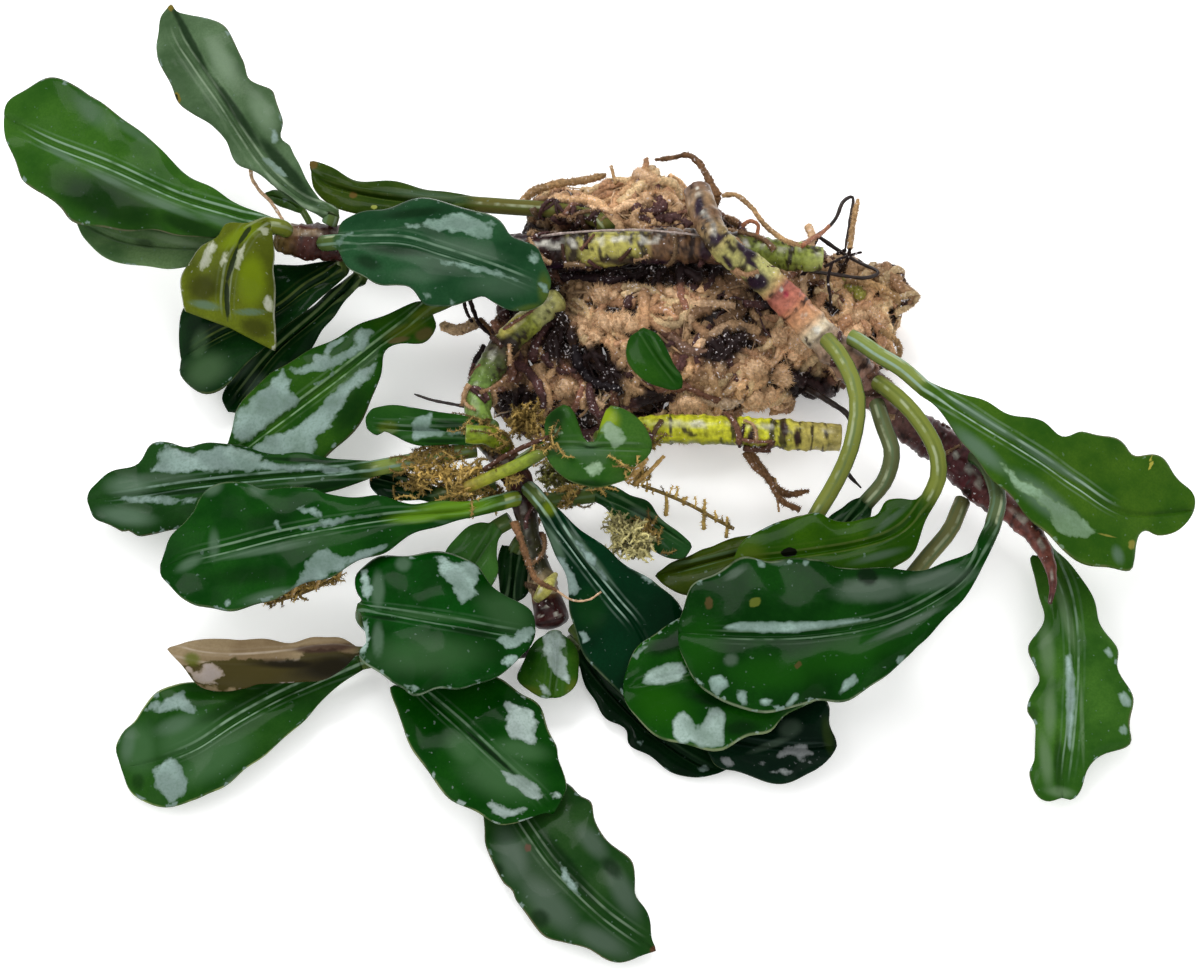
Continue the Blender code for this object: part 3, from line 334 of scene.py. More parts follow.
LEAVES = {
    # Left crown
    "leaf_far_left": Leaf(
        stalk=[(292, 240, 13.4), (282, 233, 14.6)],
        midrib=[(272, 226, 15.6), (230, 213, 16.5), (178, 197, 17), (112, 167, 17), (51, 143, 16),
                (4, 117, 14.5)],
        left=[(240, 236), (204, 238), (153, 231), (107, 229), (74, 221), (59, 207), (33, 188), (18, 172),
              (6, 135)],
        right=[(230, 201), (179, 166), (143, 132), (97, 100), (79, 86), (59, 80), (41, 81), (20, 90),
               (8, 102)],
        lift=(-1.2, 1.0),
    ),
    "leaf_behind_far_left": Leaf(
        stalk=[(294, 244, 13.2), (280, 247, 12)],
        midrib=[(264, 249, 11.4), (200, 249, 10.4), (130, 243, 9.4), (76, 221, 8.6)],
        left=[(236, 263), (189, 268), (158, 268), (127, 264), (102, 256), (85, 240)],
        right=[(240, 236), (190, 222), (150, 214), (110, 208), (86, 210)],
    ),
    "leaf_pointing_up": Leaf(
        stalk=[(318, 240, 13), (328, 226, 15.5)],
        midrib=[(332, 214, 16.4), (301, 199, 17), (270, 173, 17.6), (242, 135, 18.4), (222, 102, 19),
                (199, 69, 19), (179, 38, 18.4), (171, 4, 17.4)],
        left=[(303, 206), (283, 189), (257, 174), (237, 163), (226, 140), (212, 126), (193, 115),
              (177, 100), (169, 84), (163, 68), (158, 54), (155, 40), (160, 18)],
        right=[(324, 205), (306, 179), (297, 158), (291, 144), (281, 137), (282, 120), (276, 100),
               (270, 88), (249, 79), (243, 59), (236, 43), (222, 26), (204, 15), (180, 13)],
        lift=(-1.0, 1.2),
    ),
    "leaf_tiny": Leaf(
        stalk=[(314, 240, 13), (310, 224, 12.4)],
        midrib=[(303, 211, 12.2), (285, 201, 12), (264, 194, 12)],
        left=[(290, 208), (276, 203)],
        right=[(292, 198), (278, 191)], stalk_radius=0.45,
    ),
    "leaf_dark_glossy": Leaf(
        stalk=[(318, 243, 13), (327, 243, 16.4)],
        midrib=[(338, 242, 17.6), (398, 241, 19), (440, 252, 19.6), (483, 266, 19.6), (518, 279, 19.2),
                (549, 292, 18)],
        left=[(342, 222), (360, 213), (394, 205), (428, 202), (457, 204), (483, 212), (500, 222),
              (512, 237), (535, 246), (544, 260), (551, 279)],
        right=[(348, 268), (365, 277), (378, 283), (398, 287), (411, 290), (428, 304), (450, 308),
               (470, 300), (483, 296), (495, 304), (508, 311), (525, 310), (544, 303)],
        lift=(-1.6, -1.6), crown=0.9,
    ),
    "leaf_bent_olive": Leaf(
        stalk=[(292, 236, 13.6), (282, 228, 17.4)],
        midrib=[(266, 225, 18.8), (251, 231, 19.2), (242, 243, 18.6), (231, 264, 16.5), (227, 287, 13.4),
                (226, 306, 11.4), (229, 327, 9.8)],
        left=[(272, 231), (274, 250), (274, 268), (276, 287), (274, 313), (277, 330), (275, 351)],
        right=[(247, 224), (227, 225), (216, 235), (199, 246), (189, 264), (182, 278), (180, 296),
               (185, 311)],
        lift=(-0.4, -1.6), crown=0.4, cut=True,
    ),
    "leaf_shaded_left": Leaf(
        stalk=[(332, 244, 12.8), (341, 257, 11)],
        midrib=[(343, 268, 10.4), (309, 287, 9.6), (277, 311, 8), (224, 333, 5.4), (181, 359, 3)],
        left=[(322, 297), (282, 330), (250, 362), (225, 385), (206, 393), (190, 387), (180, 375)],
        right=[(318, 262), (280, 266), (240, 277), (200, 292), (183, 309), (179, 330), (179, 348)],
    ),
    "leaf_shaded_right": Leaf(
        stalk=[(357, 244, 12.6), (364, 262, 9.4)],
        midrib=[(360, 278, 8.4), (322, 312, 6.8), (277, 350, 4.6), (246, 388, 2.6), (228, 412, 1.6)],
        left=[(357, 288), (341, 304), (327, 325), (313, 346), (292, 370), (270, 395), (245, 412)],
        right=[(335, 288), (290, 322), (250, 355), (228, 383), (222, 398)],
    ),
    # Back and left middle
    "leaf_olive_torn": Leaf(
        stalk=[(612, 248, 17.4), (602, 222, 16.6), (560, 211, 15), (510, 207, 12.6)],
        midrib=[(470, 204, 11), (430, 203, 10), (380, 198, 9.4), (330, 186, 9), (311, 172, 9)],
        left=[(440, 212), (400, 216), (360, 214), (335, 208), (315, 190)],
        right=[(440, 191), (400, 184), (370, 182), (349, 178), (322, 163), (310, 161)],
    ),
    "leaf_wet_left": Leaf(
        stalk=[(474, 248, 14), (470, 280, 10.6), (450, 298, 9.6)],
        midrib=[(428, 308, 9.2), (366, 355, 8.6), (331, 382, 8), (295, 409, 6.6), (247, 445, 4.6),
                (225, 465, 3.6)],
        left=[(436, 328), (424, 343), (400, 344), (383, 354), (379, 378), (374, 396), (362, 420),
              (338, 448), (310, 470), (270, 480), (240, 478)],
        right=[(412, 303), (372, 321), (345, 332), (318, 346), (286, 364), (268, 374), (250, 393),
               (236, 411), (231, 429), (228, 447)],
        lift=(-0.6, 0.4),
    ),
    "leaf_middle_left": Leaf(
        stalk=[(496, 448, 10.7), (470, 450, 11.6), (420, 460, 11.2)],
        midrib=[(371, 469, 10.4), (300, 475, 9), (264, 478, 8), (190, 486, 6.4), (113, 498, 4.6),
                (87, 499, 4)],
        left=[(364, 481), (331, 492), (280, 505), (230, 515), (190, 524), (172, 529), (156, 536),
              (141, 536), (129, 529), (120, 531), (98, 521), (89, 506)],
        right=[(350, 460), (325, 458), (294, 454), (264, 452), (239, 446), (211, 443), (187, 446),
               (169, 443), (150, 446), (135, 462), (110, 475), (92, 487)],
        lift=(-0.8, 0.6),
    ),
    "leaf_wavy_left": Leaf(
        stalk=[(523, 500, 9.3), (513, 499, 11.6)],
        midrib=[(502, 502, 12.2), (462, 511, 13), (386, 518, 13.4), (294, 533, 12.6), (233, 548, 11),
                (184, 560, 9.6), (160, 569, 8.6)],
        left=[(470, 518), (447, 523), (417, 533), (386, 551), (355, 564), (325, 578), (288, 591),
              (264, 604), (233, 610), (202, 608), (187, 600), (172, 588), (162, 578)],
        right=[(463, 503), (417, 502), (371, 498), (340, 496), (322, 493), (306, 487), (264, 488),
               (245, 483), (215, 486), (199, 495), (192, 512), (184, 527), (168, 540), (162, 553)],
        lift=(-0.8, 0.4),
    ),
    "leaf_strip": Leaf(
        stalk=[(481, 424, 11.1), (491, 427, 13.2)],
        midrib=[(487, 431, 14), (440, 431, 13.8), (400, 430, 13.2), (366, 425, 12.4)],
        left=[(486, 444), (462, 446), (432, 444), (407, 442), (386, 431), (377, 435), (368, 430)],
        right=[(478, 420), (441, 412), (404, 407), (374, 406), (366, 415)],
    ),
    "leaf_shaded_small": Leaf(
        stalk=[(514, 476, 10.1), (470, 489, 9)],
        midrib=[(434, 495, 8.6), (400, 483, 8.2), (371, 475, 8)],
        left=[(418, 500), (386, 499), (370, 488)],
        right=[(416, 480), (398, 469), (380, 466)],
    ),
    # Lower crown
    "leaf_notched": Leaf(
        stalk=[(512, 468, 10.2), (528, 459, 14)],
        midrib=[(546, 447, 16.8), (580, 447, 17.6), (620, 448, 17.8), (652, 449, 17)],
        left=[(545, 420), (552, 411), (567, 407), (577, 425), (584, 440), (594, 440), (599, 420),
              (608, 404), (622, 408), (640, 423), (650, 438)],
        right=[(548, 460), (557, 472), (573, 484), (602, 486), (627, 481), (635, 468), (646, 458)],
        lift=(0.8, -0.8),
    ),
    "leaf_broad": Leaf(
        stalk=[(404, 660, 3.2), (384, 640, 4.6), (363, 620, 7)],
        midrib=[(363, 607, 10.4), (378, 610, 11.6), (420, 618, 13), (467, 626, 12.6),
                (500, 632, 11), (535, 636, 9)],
        left=[(356, 588), (356, 573), (372, 561), (396, 554), (423, 553), (442, 554),
              (464, 559), (478, 565), (487, 576), (496, 588), (509, 599), (530, 609), (535, 620)],
        right=[(366, 644), (360, 654), (366, 664), (378, 675), (391, 683), (404, 687), (416, 694),
               (436, 689), (458, 692), (477, 684), (499, 674), (517, 661), (530, 647)],
        lift=(-1.4, -1.4), crown=1.0, stalk_radius=0.8,
    ),
    "leaf_pale": Leaf(
        stalk=[(524, 513, 9), (510, 520, 7.8)],
        midrib=[(496, 528, 7.4), (475, 560, 7), (450, 598, 6.4), (440, 612, 6.2)],
        left=[(497, 545), (496, 575), (480, 600)],
        right=[(478, 523), (462, 530), (450, 546), (438, 575), (432, 598)],
    ),
    "leaf_dark_small": Leaf(
        stalk=[(528, 535, 8.2), (521, 542, 6.4)],
        midrib=[(516, 550, 5.2), (513, 578, 4.2), (510, 606, 3.9)],
        left=[(525, 552), (531, 572), (526, 595)],
        right=[(502, 545), (498, 565), (500, 590)],
    ),
    "leaf_deep_green": Leaf(
        stalk=[(519, 484, 10), (531, 491, 12)],
        midrib=[(544, 506, 12.4), (579, 556, 11.2), (612, 597, 9.4), (639, 631, 7.6), (664, 690, 6)],
        left=[(573, 523), (596, 543), (618, 558), (639, 572), (656, 584), (678, 602), (690, 640),
              (684, 675)],
        right=[(546, 533), (558, 559), (569, 592), (571, 619), (581, 649), (596, 669), (612, 687),
               (632, 698)],
        lift=(0.6, -0.8),
    ),
    "leaf_behind_moss": Leaf(
        stalk=[(524, 508, 9), (556, 500, 8.2)],
        midrib=[(598, 494, 7.8), (642, 515, 7.8), (692, 547, 7.4)],
        left=[(612, 486), (629, 494), (646, 503), (660, 517), (680, 534)],
        right=[(608, 510), (630, 535), (655, 552), (682, 560)],
    ),
    # Below the lower crown
    "leaf_front_left": Leaf(
        stalk=[(390, 656, 3.4), (374, 659, 3.4)],
        midrib=[(360, 662, 3.2), (286, 694, 3.4), (238, 720, 3.6), (196, 747, 3.2), (155, 762, 2.4),
                (121, 768, 1.6)],
        left=[(341, 684), (320, 703), (298, 727), (272, 749), (248, 768), (231, 782), (212, 792),
              (196, 801), (172, 806), (150, 804), (131, 794)],
        right=[(330, 664), (290, 672), (246, 680), (215, 681), (190, 681), (174, 684), (157, 692),
               (143, 708), (134, 720), (122, 731), (116, 748)],
        lift=(-0.6, 0.6),
    ),
    "leaf_dead": Leaf(
        stalk=[(394, 653, 3.6), (377, 652, 6.2)],
        midrib=[(356, 651, 7.8), (330, 650, 8.8), (300, 654, 9.2), (265, 658, 9.2), (235, 659, 9.2),
                (205, 657, 9), (185, 653, 8.6), (167, 649, 8)],
        left=[(342, 670), (325, 679), (300, 685), (275, 682), (258, 683), (246, 688), (228, 692),
              (210, 690), (196, 682), (184, 667)],
        right=[(340, 638), (325, 638), (305, 640), (281, 641), (245, 640), (225, 638), (205, 639),
               (190, 642), (178, 646)],
        lift=(-4, -1), crown=0.3, stalk_radius=0.6,
    ),
    "leaf_front_upper": Leaf(
        stalk=[(408, 662, 3.2), (409, 672, 5)],
        midrib=[(412, 685, 5.8), (455, 721, 6.4), (483, 747, 6.4), (511, 773, 5.8), (536, 794, 5),
                (553, 814, 4.2)],
        left=[(450, 675), (500, 680), (526, 694), (538, 706), (548, 727), (557, 745), (558, 761),
              (567, 785), (564, 797)],
        right=[(390, 686), (396, 710), (408, 737), (418, 757), (431, 779), (445, 793), (465, 808),
               (495, 822), (512, 823), (528, 820), (544, 813)],
        lift=(-0.4, -0.6),
    ),
    "leaf_front_tip": Leaf(
        stalk=[(440, 663, 2.9), (470, 720, 1.9), (500, 780, 1.9)],
        midrib=[(506, 796, 2.0), (548, 858, 3), (572, 884, 3.4), (602, 913, 3.2), (629, 933, 2.6),
                (656, 951, 1.8)],
        left=[(540, 782), (569, 784), (582, 793), (590, 802), (593, 820), (605, 834), (619, 848),
              (631, 862), (635, 878), (636, 893), (645, 909), (650, 925), (652, 942)],
        right=[(484, 806), (485, 834), (489, 852), (493, 870), (503, 882), (514, 889), (518, 903),
               (528, 921), (544, 935), (564, 941), (584, 949), (602, 959), (617, 961), (635, 958)],
        lift=(0.2, -0.9),
    ),
    "leaf_light_wet": Leaf(
        stalk=[(553, 629, 4.5)],
        midrib=[(554, 636, 4.6), (556, 662, 4.5), (551, 698, 3.6)],
        left=[(567, 638), (576, 648), (581, 661), (579, 676), (572, 688), (562, 695)],
        right=[(538, 639), (528, 651), (520, 665), (518, 679), (530, 690), (542, 697)],
    ),
    # Under the arch
    "leaf_round": Leaf(
        stalk=[(975, 484, 6.8), (962, 502, 6.2), (950, 530, 6.8), (925, 560, 7.2), (895, 598, 7.6)],
        midrib=[(872, 628, 8), (800, 652, 8.6), (740, 662, 8.8), (700, 669, 8.6), (645, 683, 8.2),
                (623, 690, 7.8)],
        left=[(860, 672), (830, 692), (804, 708), (784, 717), (770, 730), (750, 737), (730, 747),
              (716, 749), (683, 746), (656, 734), (632, 714), (624, 698)],
        right=[(840, 620), (800, 614), (750, 612), (700, 613), (678, 619), (662, 626), (639, 647),
               (625, 668)],
        lift=(-1.2, 0.2),
    ),
    "leaf_arching": Leaf(
        stalk=[(958, 462, 7.6), (976, 457, 11), (990, 472, 12.6), (998, 500, 14.4)],
        midrib=[(992, 528, 15.2), (970, 572, 14.6), (936, 599, 13.8), (886, 622, 13), (818, 634, 12.4),
                (750, 636, 12), (678, 633, 11.2)],
        left=[(990, 552), (972, 585), (953, 612), (919, 643), (906, 660), (879, 680), (852, 700),
              (821, 700), (798, 708), (760, 711), (730, 707), (710, 693), (690, 673), (680, 653)],
        right=[(984, 535), (975, 550), (953, 560), (929, 568), (902, 568), (869, 567), (838, 567),
               (818, 558), (784, 560), (750, 558), (730, 565), (713, 572), (696, 585), (686, 602),
               (679, 618)],
        lift=(-1.6, 0.2), crown=0.8,
    ),
    "leaf_olive_arching": Leaf(
        stalk=[(862, 372, 14), (895, 395, 17.6), (918, 419, 18), (936, 450, 17), (938, 478, 14.8)],
        midrib=[(928, 500, 12.8), (900, 530, 11.4), (860, 545, 10.8), (800, 555, 10.2), (733, 562, 9.6)],
        left=[(926, 520), (908, 560), (860, 580), (800, 588), (760, 584)],
        right=[(914, 500), (898, 498), (885, 501), (876, 517), (852, 521), (831, 519), (815, 514),
               (784, 519), (760, 529), (743, 541)],
        lift=(-0.4, 0.4),
    ),
    "leaf_olive_low": Leaf(
        stalk=[(806, 322, 16.6), (838, 352, 19), (857, 395, 19.4), (853, 440, 16.6), (838, 478, 12)],
        midrib=[(812, 522, 7.4), (770, 545, 6.8), (710, 562, 6.2), (655, 576, 5.6)],
        left=[(800, 550), (760, 575), (720, 592), (690, 595), (667, 588)],
        right=[(792, 518), (750, 534), (716, 546), (700, 549), (685, 559), (668, 567)],
    ),
    "leaf_short_arching": Leaf(
        stalk=[(872, 388, 13), (883, 424, 15.6), (892, 452, 14.6), (885, 480, 11.8)],
        midrib=[(866, 503, 9.4), (846, 525, 8.6), (826, 547, 8.2)],
        left=[(869, 520), (856, 540), (838, 552)],
        right=[(848, 503), (832, 515), (822, 532)],
    ),
    "leaf_black_green": Leaf(
        stalk=[(552, 626, 4.4), (566, 640, 3.2)],
        midrib=[(578, 652, 2.2), (610, 692, 1.5), (650, 732, 1.3), (700, 765, 1.2), (726, 770, 1.2)],
        left=[(620, 670), (655, 695), (700, 728), (724, 750)],
        right=[(579, 664), (585, 687), (598, 703), (607, 720), (625, 730), (631, 745), (649, 756),
               (669, 771), (696, 778), (714, 775)],
    ),
    "leaf_crumpled": Leaf(
        stalk=[(562, 612, 5), (586, 640, 5), (622, 682, 4.2), (665, 714, 3.8)],
        midrib=[(705, 735, 3.4), (760, 745, 4), (800, 748, 4), (837, 746, 3.2)],
        left=[(735, 712), (775, 702), (822, 701), (832, 722)],
        right=[(716, 766), (737, 774), (767, 781), (794, 781), (815, 771), (831, 755)],
        lift=(0.6, -1.4),
    ),
    # Far right
    "leaf_far_right": Leaf(
        stalk=[(830, 342, 15.8), (850, 337, 17.4), (879, 355, 18.2), (902, 369, 18)],
        midrib=[(924, 388, 17.4), (984, 425, 17.6), (1037, 458, 16.2), (1076, 485, 13.6), (1126, 514, 10),
                (1194, 511, 6)],
        left=[(945, 389), (978, 399), (1011, 412), (1043, 422), (1063, 437), (1083, 432), (1109, 437),
              (1126, 445), (1136, 453), (1152, 455), (1169, 465), (1182, 478), (1192, 496)],
        right=[(938, 409), (964, 445), (997, 484), (1024, 511), (1050, 540), (1070, 554), (1090, 567),
               (1109, 570), (1128, 570), (1139, 560), (1141, 548), (1150, 540),
               (1169, 534), (1186, 523)],
        lift=(0.4, -0.8),
    ),
    "leaf_hanging_right": Leaf(
        stalk=[(1018, 520, 6.6), (1036, 538, 5)],
        midrib=[(1047, 553, 4.4), (1062, 580, 4.8), (1071, 613, 5), (1074, 662, 5), (1070, 728, 4),
                (1062, 798, 2.4)],
        left=[(1070, 564), (1086, 587), (1100, 616), (1115, 645), (1119, 669), (1131, 695), (1131, 728),
              (1129, 744), (1103, 755), (1090, 770), (1074, 798)],
        right=[(1030, 557), (1035, 580), (1043, 613), (1030, 649), (1032, 666), (1038, 679), (1033, 692),
               (1026, 712), (1035, 728), (1035, 755), (1027, 774), (1034, 791), (1048, 801)],
        lift=(-0.6, -1.0),
    ),
    "leaf_on_roots": Leaf(
        stalk=[],
        midrib=[(642, 330, 21.6), (660, 360, 21.6), (682, 388, 20.6)],
        left=[(657, 336), (669, 353), (679, 372)],
        right=[(628, 340), (629, 363), (646, 382), (668, 390)], stalk_radius=0.4,
    ),
}


def smooth_mesh(name, points, faces, shades=None, **values):
    """A smooth-shaded object from points in mm and faces, with a colour or numbers at each point."""
    data = bpy.data.meshes.new(name)
    data.from_pydata((np.asarray(points) * MM).tolist(), [], faces)
    data.polygons.foreach_set("use_smooth", np.ones(len(data.polygons), bool))
    for label, numbers in values.items():
        field = data.attributes.new(label, "FLOAT", "POINT")
        field.data.foreach_set("value", np.asarray(numbers, np.float32))
    if shades is not None:
        field = data.attributes.new("shade", "FLOAT_COLOR", "POINT")
        opaque = np.column_stack([shades, np.ones(len(shades))])
        field.data.foreach_set("color", opaque.astype(np.float32).ravel())
    data.update()
    thing = bpy.data.objects.new(name, data)
    bpy.context.scene.collection.objects.link(thing)
    return thing


def ring_faces(rows, ring, first=0):
    """The quads between rows of points that each go round once, counted from the first point."""
    here = first + ring * np.arange(rows - 1)[:, None] + np.arange(ring)
    following = first + ring * np.arange(rows - 1)[:, None] + (np.arange(ring) + 1) % ring
    return np.stack([here, following, following + ring, here + ring], -1).reshape(-1, 4).tolist()


def settle(thing, node):
    """Lets a piece stand for its CAD node, if it has one."""
    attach(thing, "root")
    if node:
        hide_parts(node)


def dressed(thing, material, node):
    """Gives a piece its material and settles it."""
    thing.data.materials.append(material)
    settle(thing, node)


# Where a Mix node that mixes colours takes its two colours and gives its result
MIX_FIRST, MIX_SECOND, MIX_RESULT = 6, 7, 2


class Surface:
    """A Principled material whose patterns are put together step by step."""

    def __init__(self, name, roughness, coat=0.0, coat_roughness=0.05, specular=0.5):
        self.material = bpy.data.materials.new(name)
        self.material.use_nodes = True
        self.tree = self.material.node_tree
        self.shader = self.tree.nodes["Principled BSDF"]
        self.normal = None
        self.shine(roughness)
        self.shader.inputs["Coat Weight"].default_value = coat
        self.shader.inputs["Coat Roughness"].default_value = coat_roughness
        self.shader.inputs["Specular IOR Level"].default_value = specular

    def give(self, value, socket):
        """Links a socket's output, or sets a plain number or colour."""
        if isinstance(value, bpy.types.NodeSocket):
            self.tree.links.new(value, socket)
        elif isinstance(value, tuple):
            socket.default_value = (*value, 1) if len(value) == 3 and socket.type == "RGBA" else value
        else:
            socket.default_value = value

    def node(self, kind, **settings):
        """A new node with these settings."""
        made = self.tree.nodes.new(kind)
        for label, value in settings.items():
            setattr(made, label, value)
        return made

    def attribute(self, name, output="Fac"):
        """The numbers that the mesh holds under this name, or its colours."""
        return self.node("ShaderNodeAttribute", attribute_name=name).outputs[output]

    def noise(self, size, detail=3.0, contrast=0.5):
        """Noise from 0 to 1 in space, whose features are about this size in mm."""
        made = self.node("ShaderNodeTexNoise")
        self.tree.links.new(self.node("ShaderNodeTexCoord").outputs["Object"], made.inputs["Vector"])
        made.inputs["Scale"].default_value = 1 / (size * MM)
        made.inputs["Detail"].default_value = detail
        made.inputs["Roughness"].default_value = contrast
        return made.outputs["Fac"]

    def step(self, value, low, high, bottom=0.0, top=1.0):
        """Goes smoothly from bottom, where the value is low, to top, where it is high."""
        made = self.node("ShaderNodeMapRange", interpolation_type="SMOOTHSTEP")
        for label, number in (("Value", value), ("From Min", low), ("From Max", high), ("To Min", bottom),
                              ("To Max", top)):
            self.give(number, made.inputs[label])
        return made.outputs["Result"]

    def math(self, operation, first, second=0.0):
        """The outcome of a Math node."""
        made = self.node("ShaderNodeMath", operation=operation)
        self.give(first, made.inputs[0])
        self.give(second, made.inputs[1])
        return made.outputs["Value"]

    def product(self, first, *others):
        """All these values multiplied."""
        for other in others:
            first = self.math("MULTIPLY", first, other)
        return first

    def total(self, first, *others):
        """All these values added up."""
        for other in others:
            first = self.math("ADD", first, other)
        return first

    def band(self, value, start, full, fading, end):
        """1 between full and fading, 0 before start and after end, and smooth between."""
        return self.product(self.step(value, start, full), self.step(value, fading, end, 1, 0))

    def mix(self, share, first, second):
        """The first colour where the share is 0 and the second where it is 1."""
        made = self.node("ShaderNodeMix", data_type="RGBA")
        self.give(share, made.inputs["Factor"])
        self.give(first, made.inputs[MIX_FIRST])
        self.give(second, made.inputs[MIX_SECOND])
        return made.outputs[MIX_RESULT]

    def colour(self, value):
        """Gives the shader its colour."""
        self.give(value, self.shader.inputs["Base Color"])

    def shine(self, roughness):
        """Gives the shader its roughness."""
        self.give(roughness, self.shader.inputs["Roughness"])

    def bump(self, height, depth):
        """Bumps of this depth in mm where height goes from 0 to 1, over any earlier ones."""
        made = self.node("ShaderNodeBump")
        made.inputs["Distance"].default_value = depth * MM
        self.give(height, made.inputs["Height"])
        if self.normal:
            self.give(self.normal, made.inputs["Normal"])
        self.normal = made.outputs["Normal"]
        self.give(self.normal, self.shader.inputs["Normal"])


# The tone that colours take under the studio's bright light, the painted highlight on a stalk and the
# underside's green, and a distance in pixels at which no outline matters any more
TONE = 0.66
STALK_SHINE = (0.55, 0.62, 0.4)
UNDERSIDE = (0.06, 0.11, 0.04)
FAR_OUTSIDE = 12.0


def blobs(points, shapes):
    """For each point, 1 at the middle of the nearest patch, 0 at its edge, and down to -1 further off.

    Each patch is an ellipse as seen in the main view: (x, y, half length, half width, turn in degrees).
    """
    value = np.full(len(points), -1.0)
    places = seen(points)
    for x, y, long, short, turn in shapes:
        angle = math.radians(turn)
        ahead = (places[:, 0] - x) * math.cos(angle) + (places[:, 1] - y) * math.sin(angle)
        aside = (places[:, 1] - y) * math.cos(angle) - (places[:, 0] - x) * math.sin(angle)
        value = np.maximum(value, 1 - np.sqrt((ahead / long) ** 2 + (aside / short) ** 2))
    return value


def insides(points, outlines):
    """For each point, how far inside the nearest outline it is seen, in pixels, or less than 0 outside."""
    places = seen(points)[:, None]
    value = np.full(len(points), -FAR_OUTSIDE)
    for outline in outlines:
        corners = np.array(outline, float)
        edges = np.roll(corners, -1, axis=0) - corners
        away = places - corners
        share = np.clip((away * edges).sum(2) / (edges**2).sum(1), 0, 1)
        gap = np.linalg.norm(away - share[..., None] * edges, axis=2).min(1)
        above = away[..., 1] > 0
        crossing = above != np.roll(above, -1, axis=1)
        rise = np.where(edges[:, 1] == 0, 1, edges[:, 1])
        beside = away[..., 0] < away[..., 1] / rise * edges[:, 0]
        inside = (crossing & beside).sum(1) % 2 == 1
        value = np.maximum(value, np.where(inside, gap, -gap))
    return value


def toned(colour):
    """The colour as it is under the studio's bright light."""
    return tuple(TONE * part for part in colour)


def between(first, second, share):
    """The colour this share of the way from the first to the second."""
    return tuple((1 - share) * one + share * other for one, other in zip(first, second))


class Look:
    """How a leaf's surface looks: its greens, its waves, its damage, and reflections painted on it, as seen.

    The outlines of wet patches mark where reflections are painted. zones holds tinted patches: (colour,
    strength, softness from 0 to 1, ellipses); among them are painted shade and painted sheen. bites holds
    notches in the margin: (x, y, half width in mm, depth as a share of the blade).
    """

    def __init__(self, dark=(0.003, 0.03, 0.003), light=(0.012, 0.066, 0.006), vein=(0.12, 0.2, 0.1),
                 rim=(0.12, 0.15, 0.06), ruffle=0.3, scallop=0.16, film=(), zones=(), bites=(),
                 vein_share=0.55, vein_end=0.9, groove=1.0, rim_share=0.6, sheen=(0.23, 0.32, 0.29),
                 ragged=0.6, stalk=(0.1, 0.15, 0.035)):
        self.dark, self.light, self.vein, self.rim = map(toned, (dark, light, vein, rim))
        self.sheen, self.stalk = map(toned, (sheen, stalk))
        self.zones = [(toned(colour), strength, softness, shapes)
                      for colour, strength, softness, shapes in zones]
        self.ruffle, self.scallop, self.film, self.bites = ruffle, scallop, film, bites
        self.vein_share, self.vein_end, self.groove = vein_share, vein_end, groove
        self.rim_share, self.ragged = rim_share, ragged


# Lengths in mm: the waves and notches of a margin, the half width from which a blade has them in full, and
# the ridges beside the midrib's groove
WAVE_LENGTH = 8.0
NOTCH_LENGTH = 6.5
FULLY_WAVY = 6.0
RIDGE_HEIGHT = 0.09
RIB_TAPER = 0.72


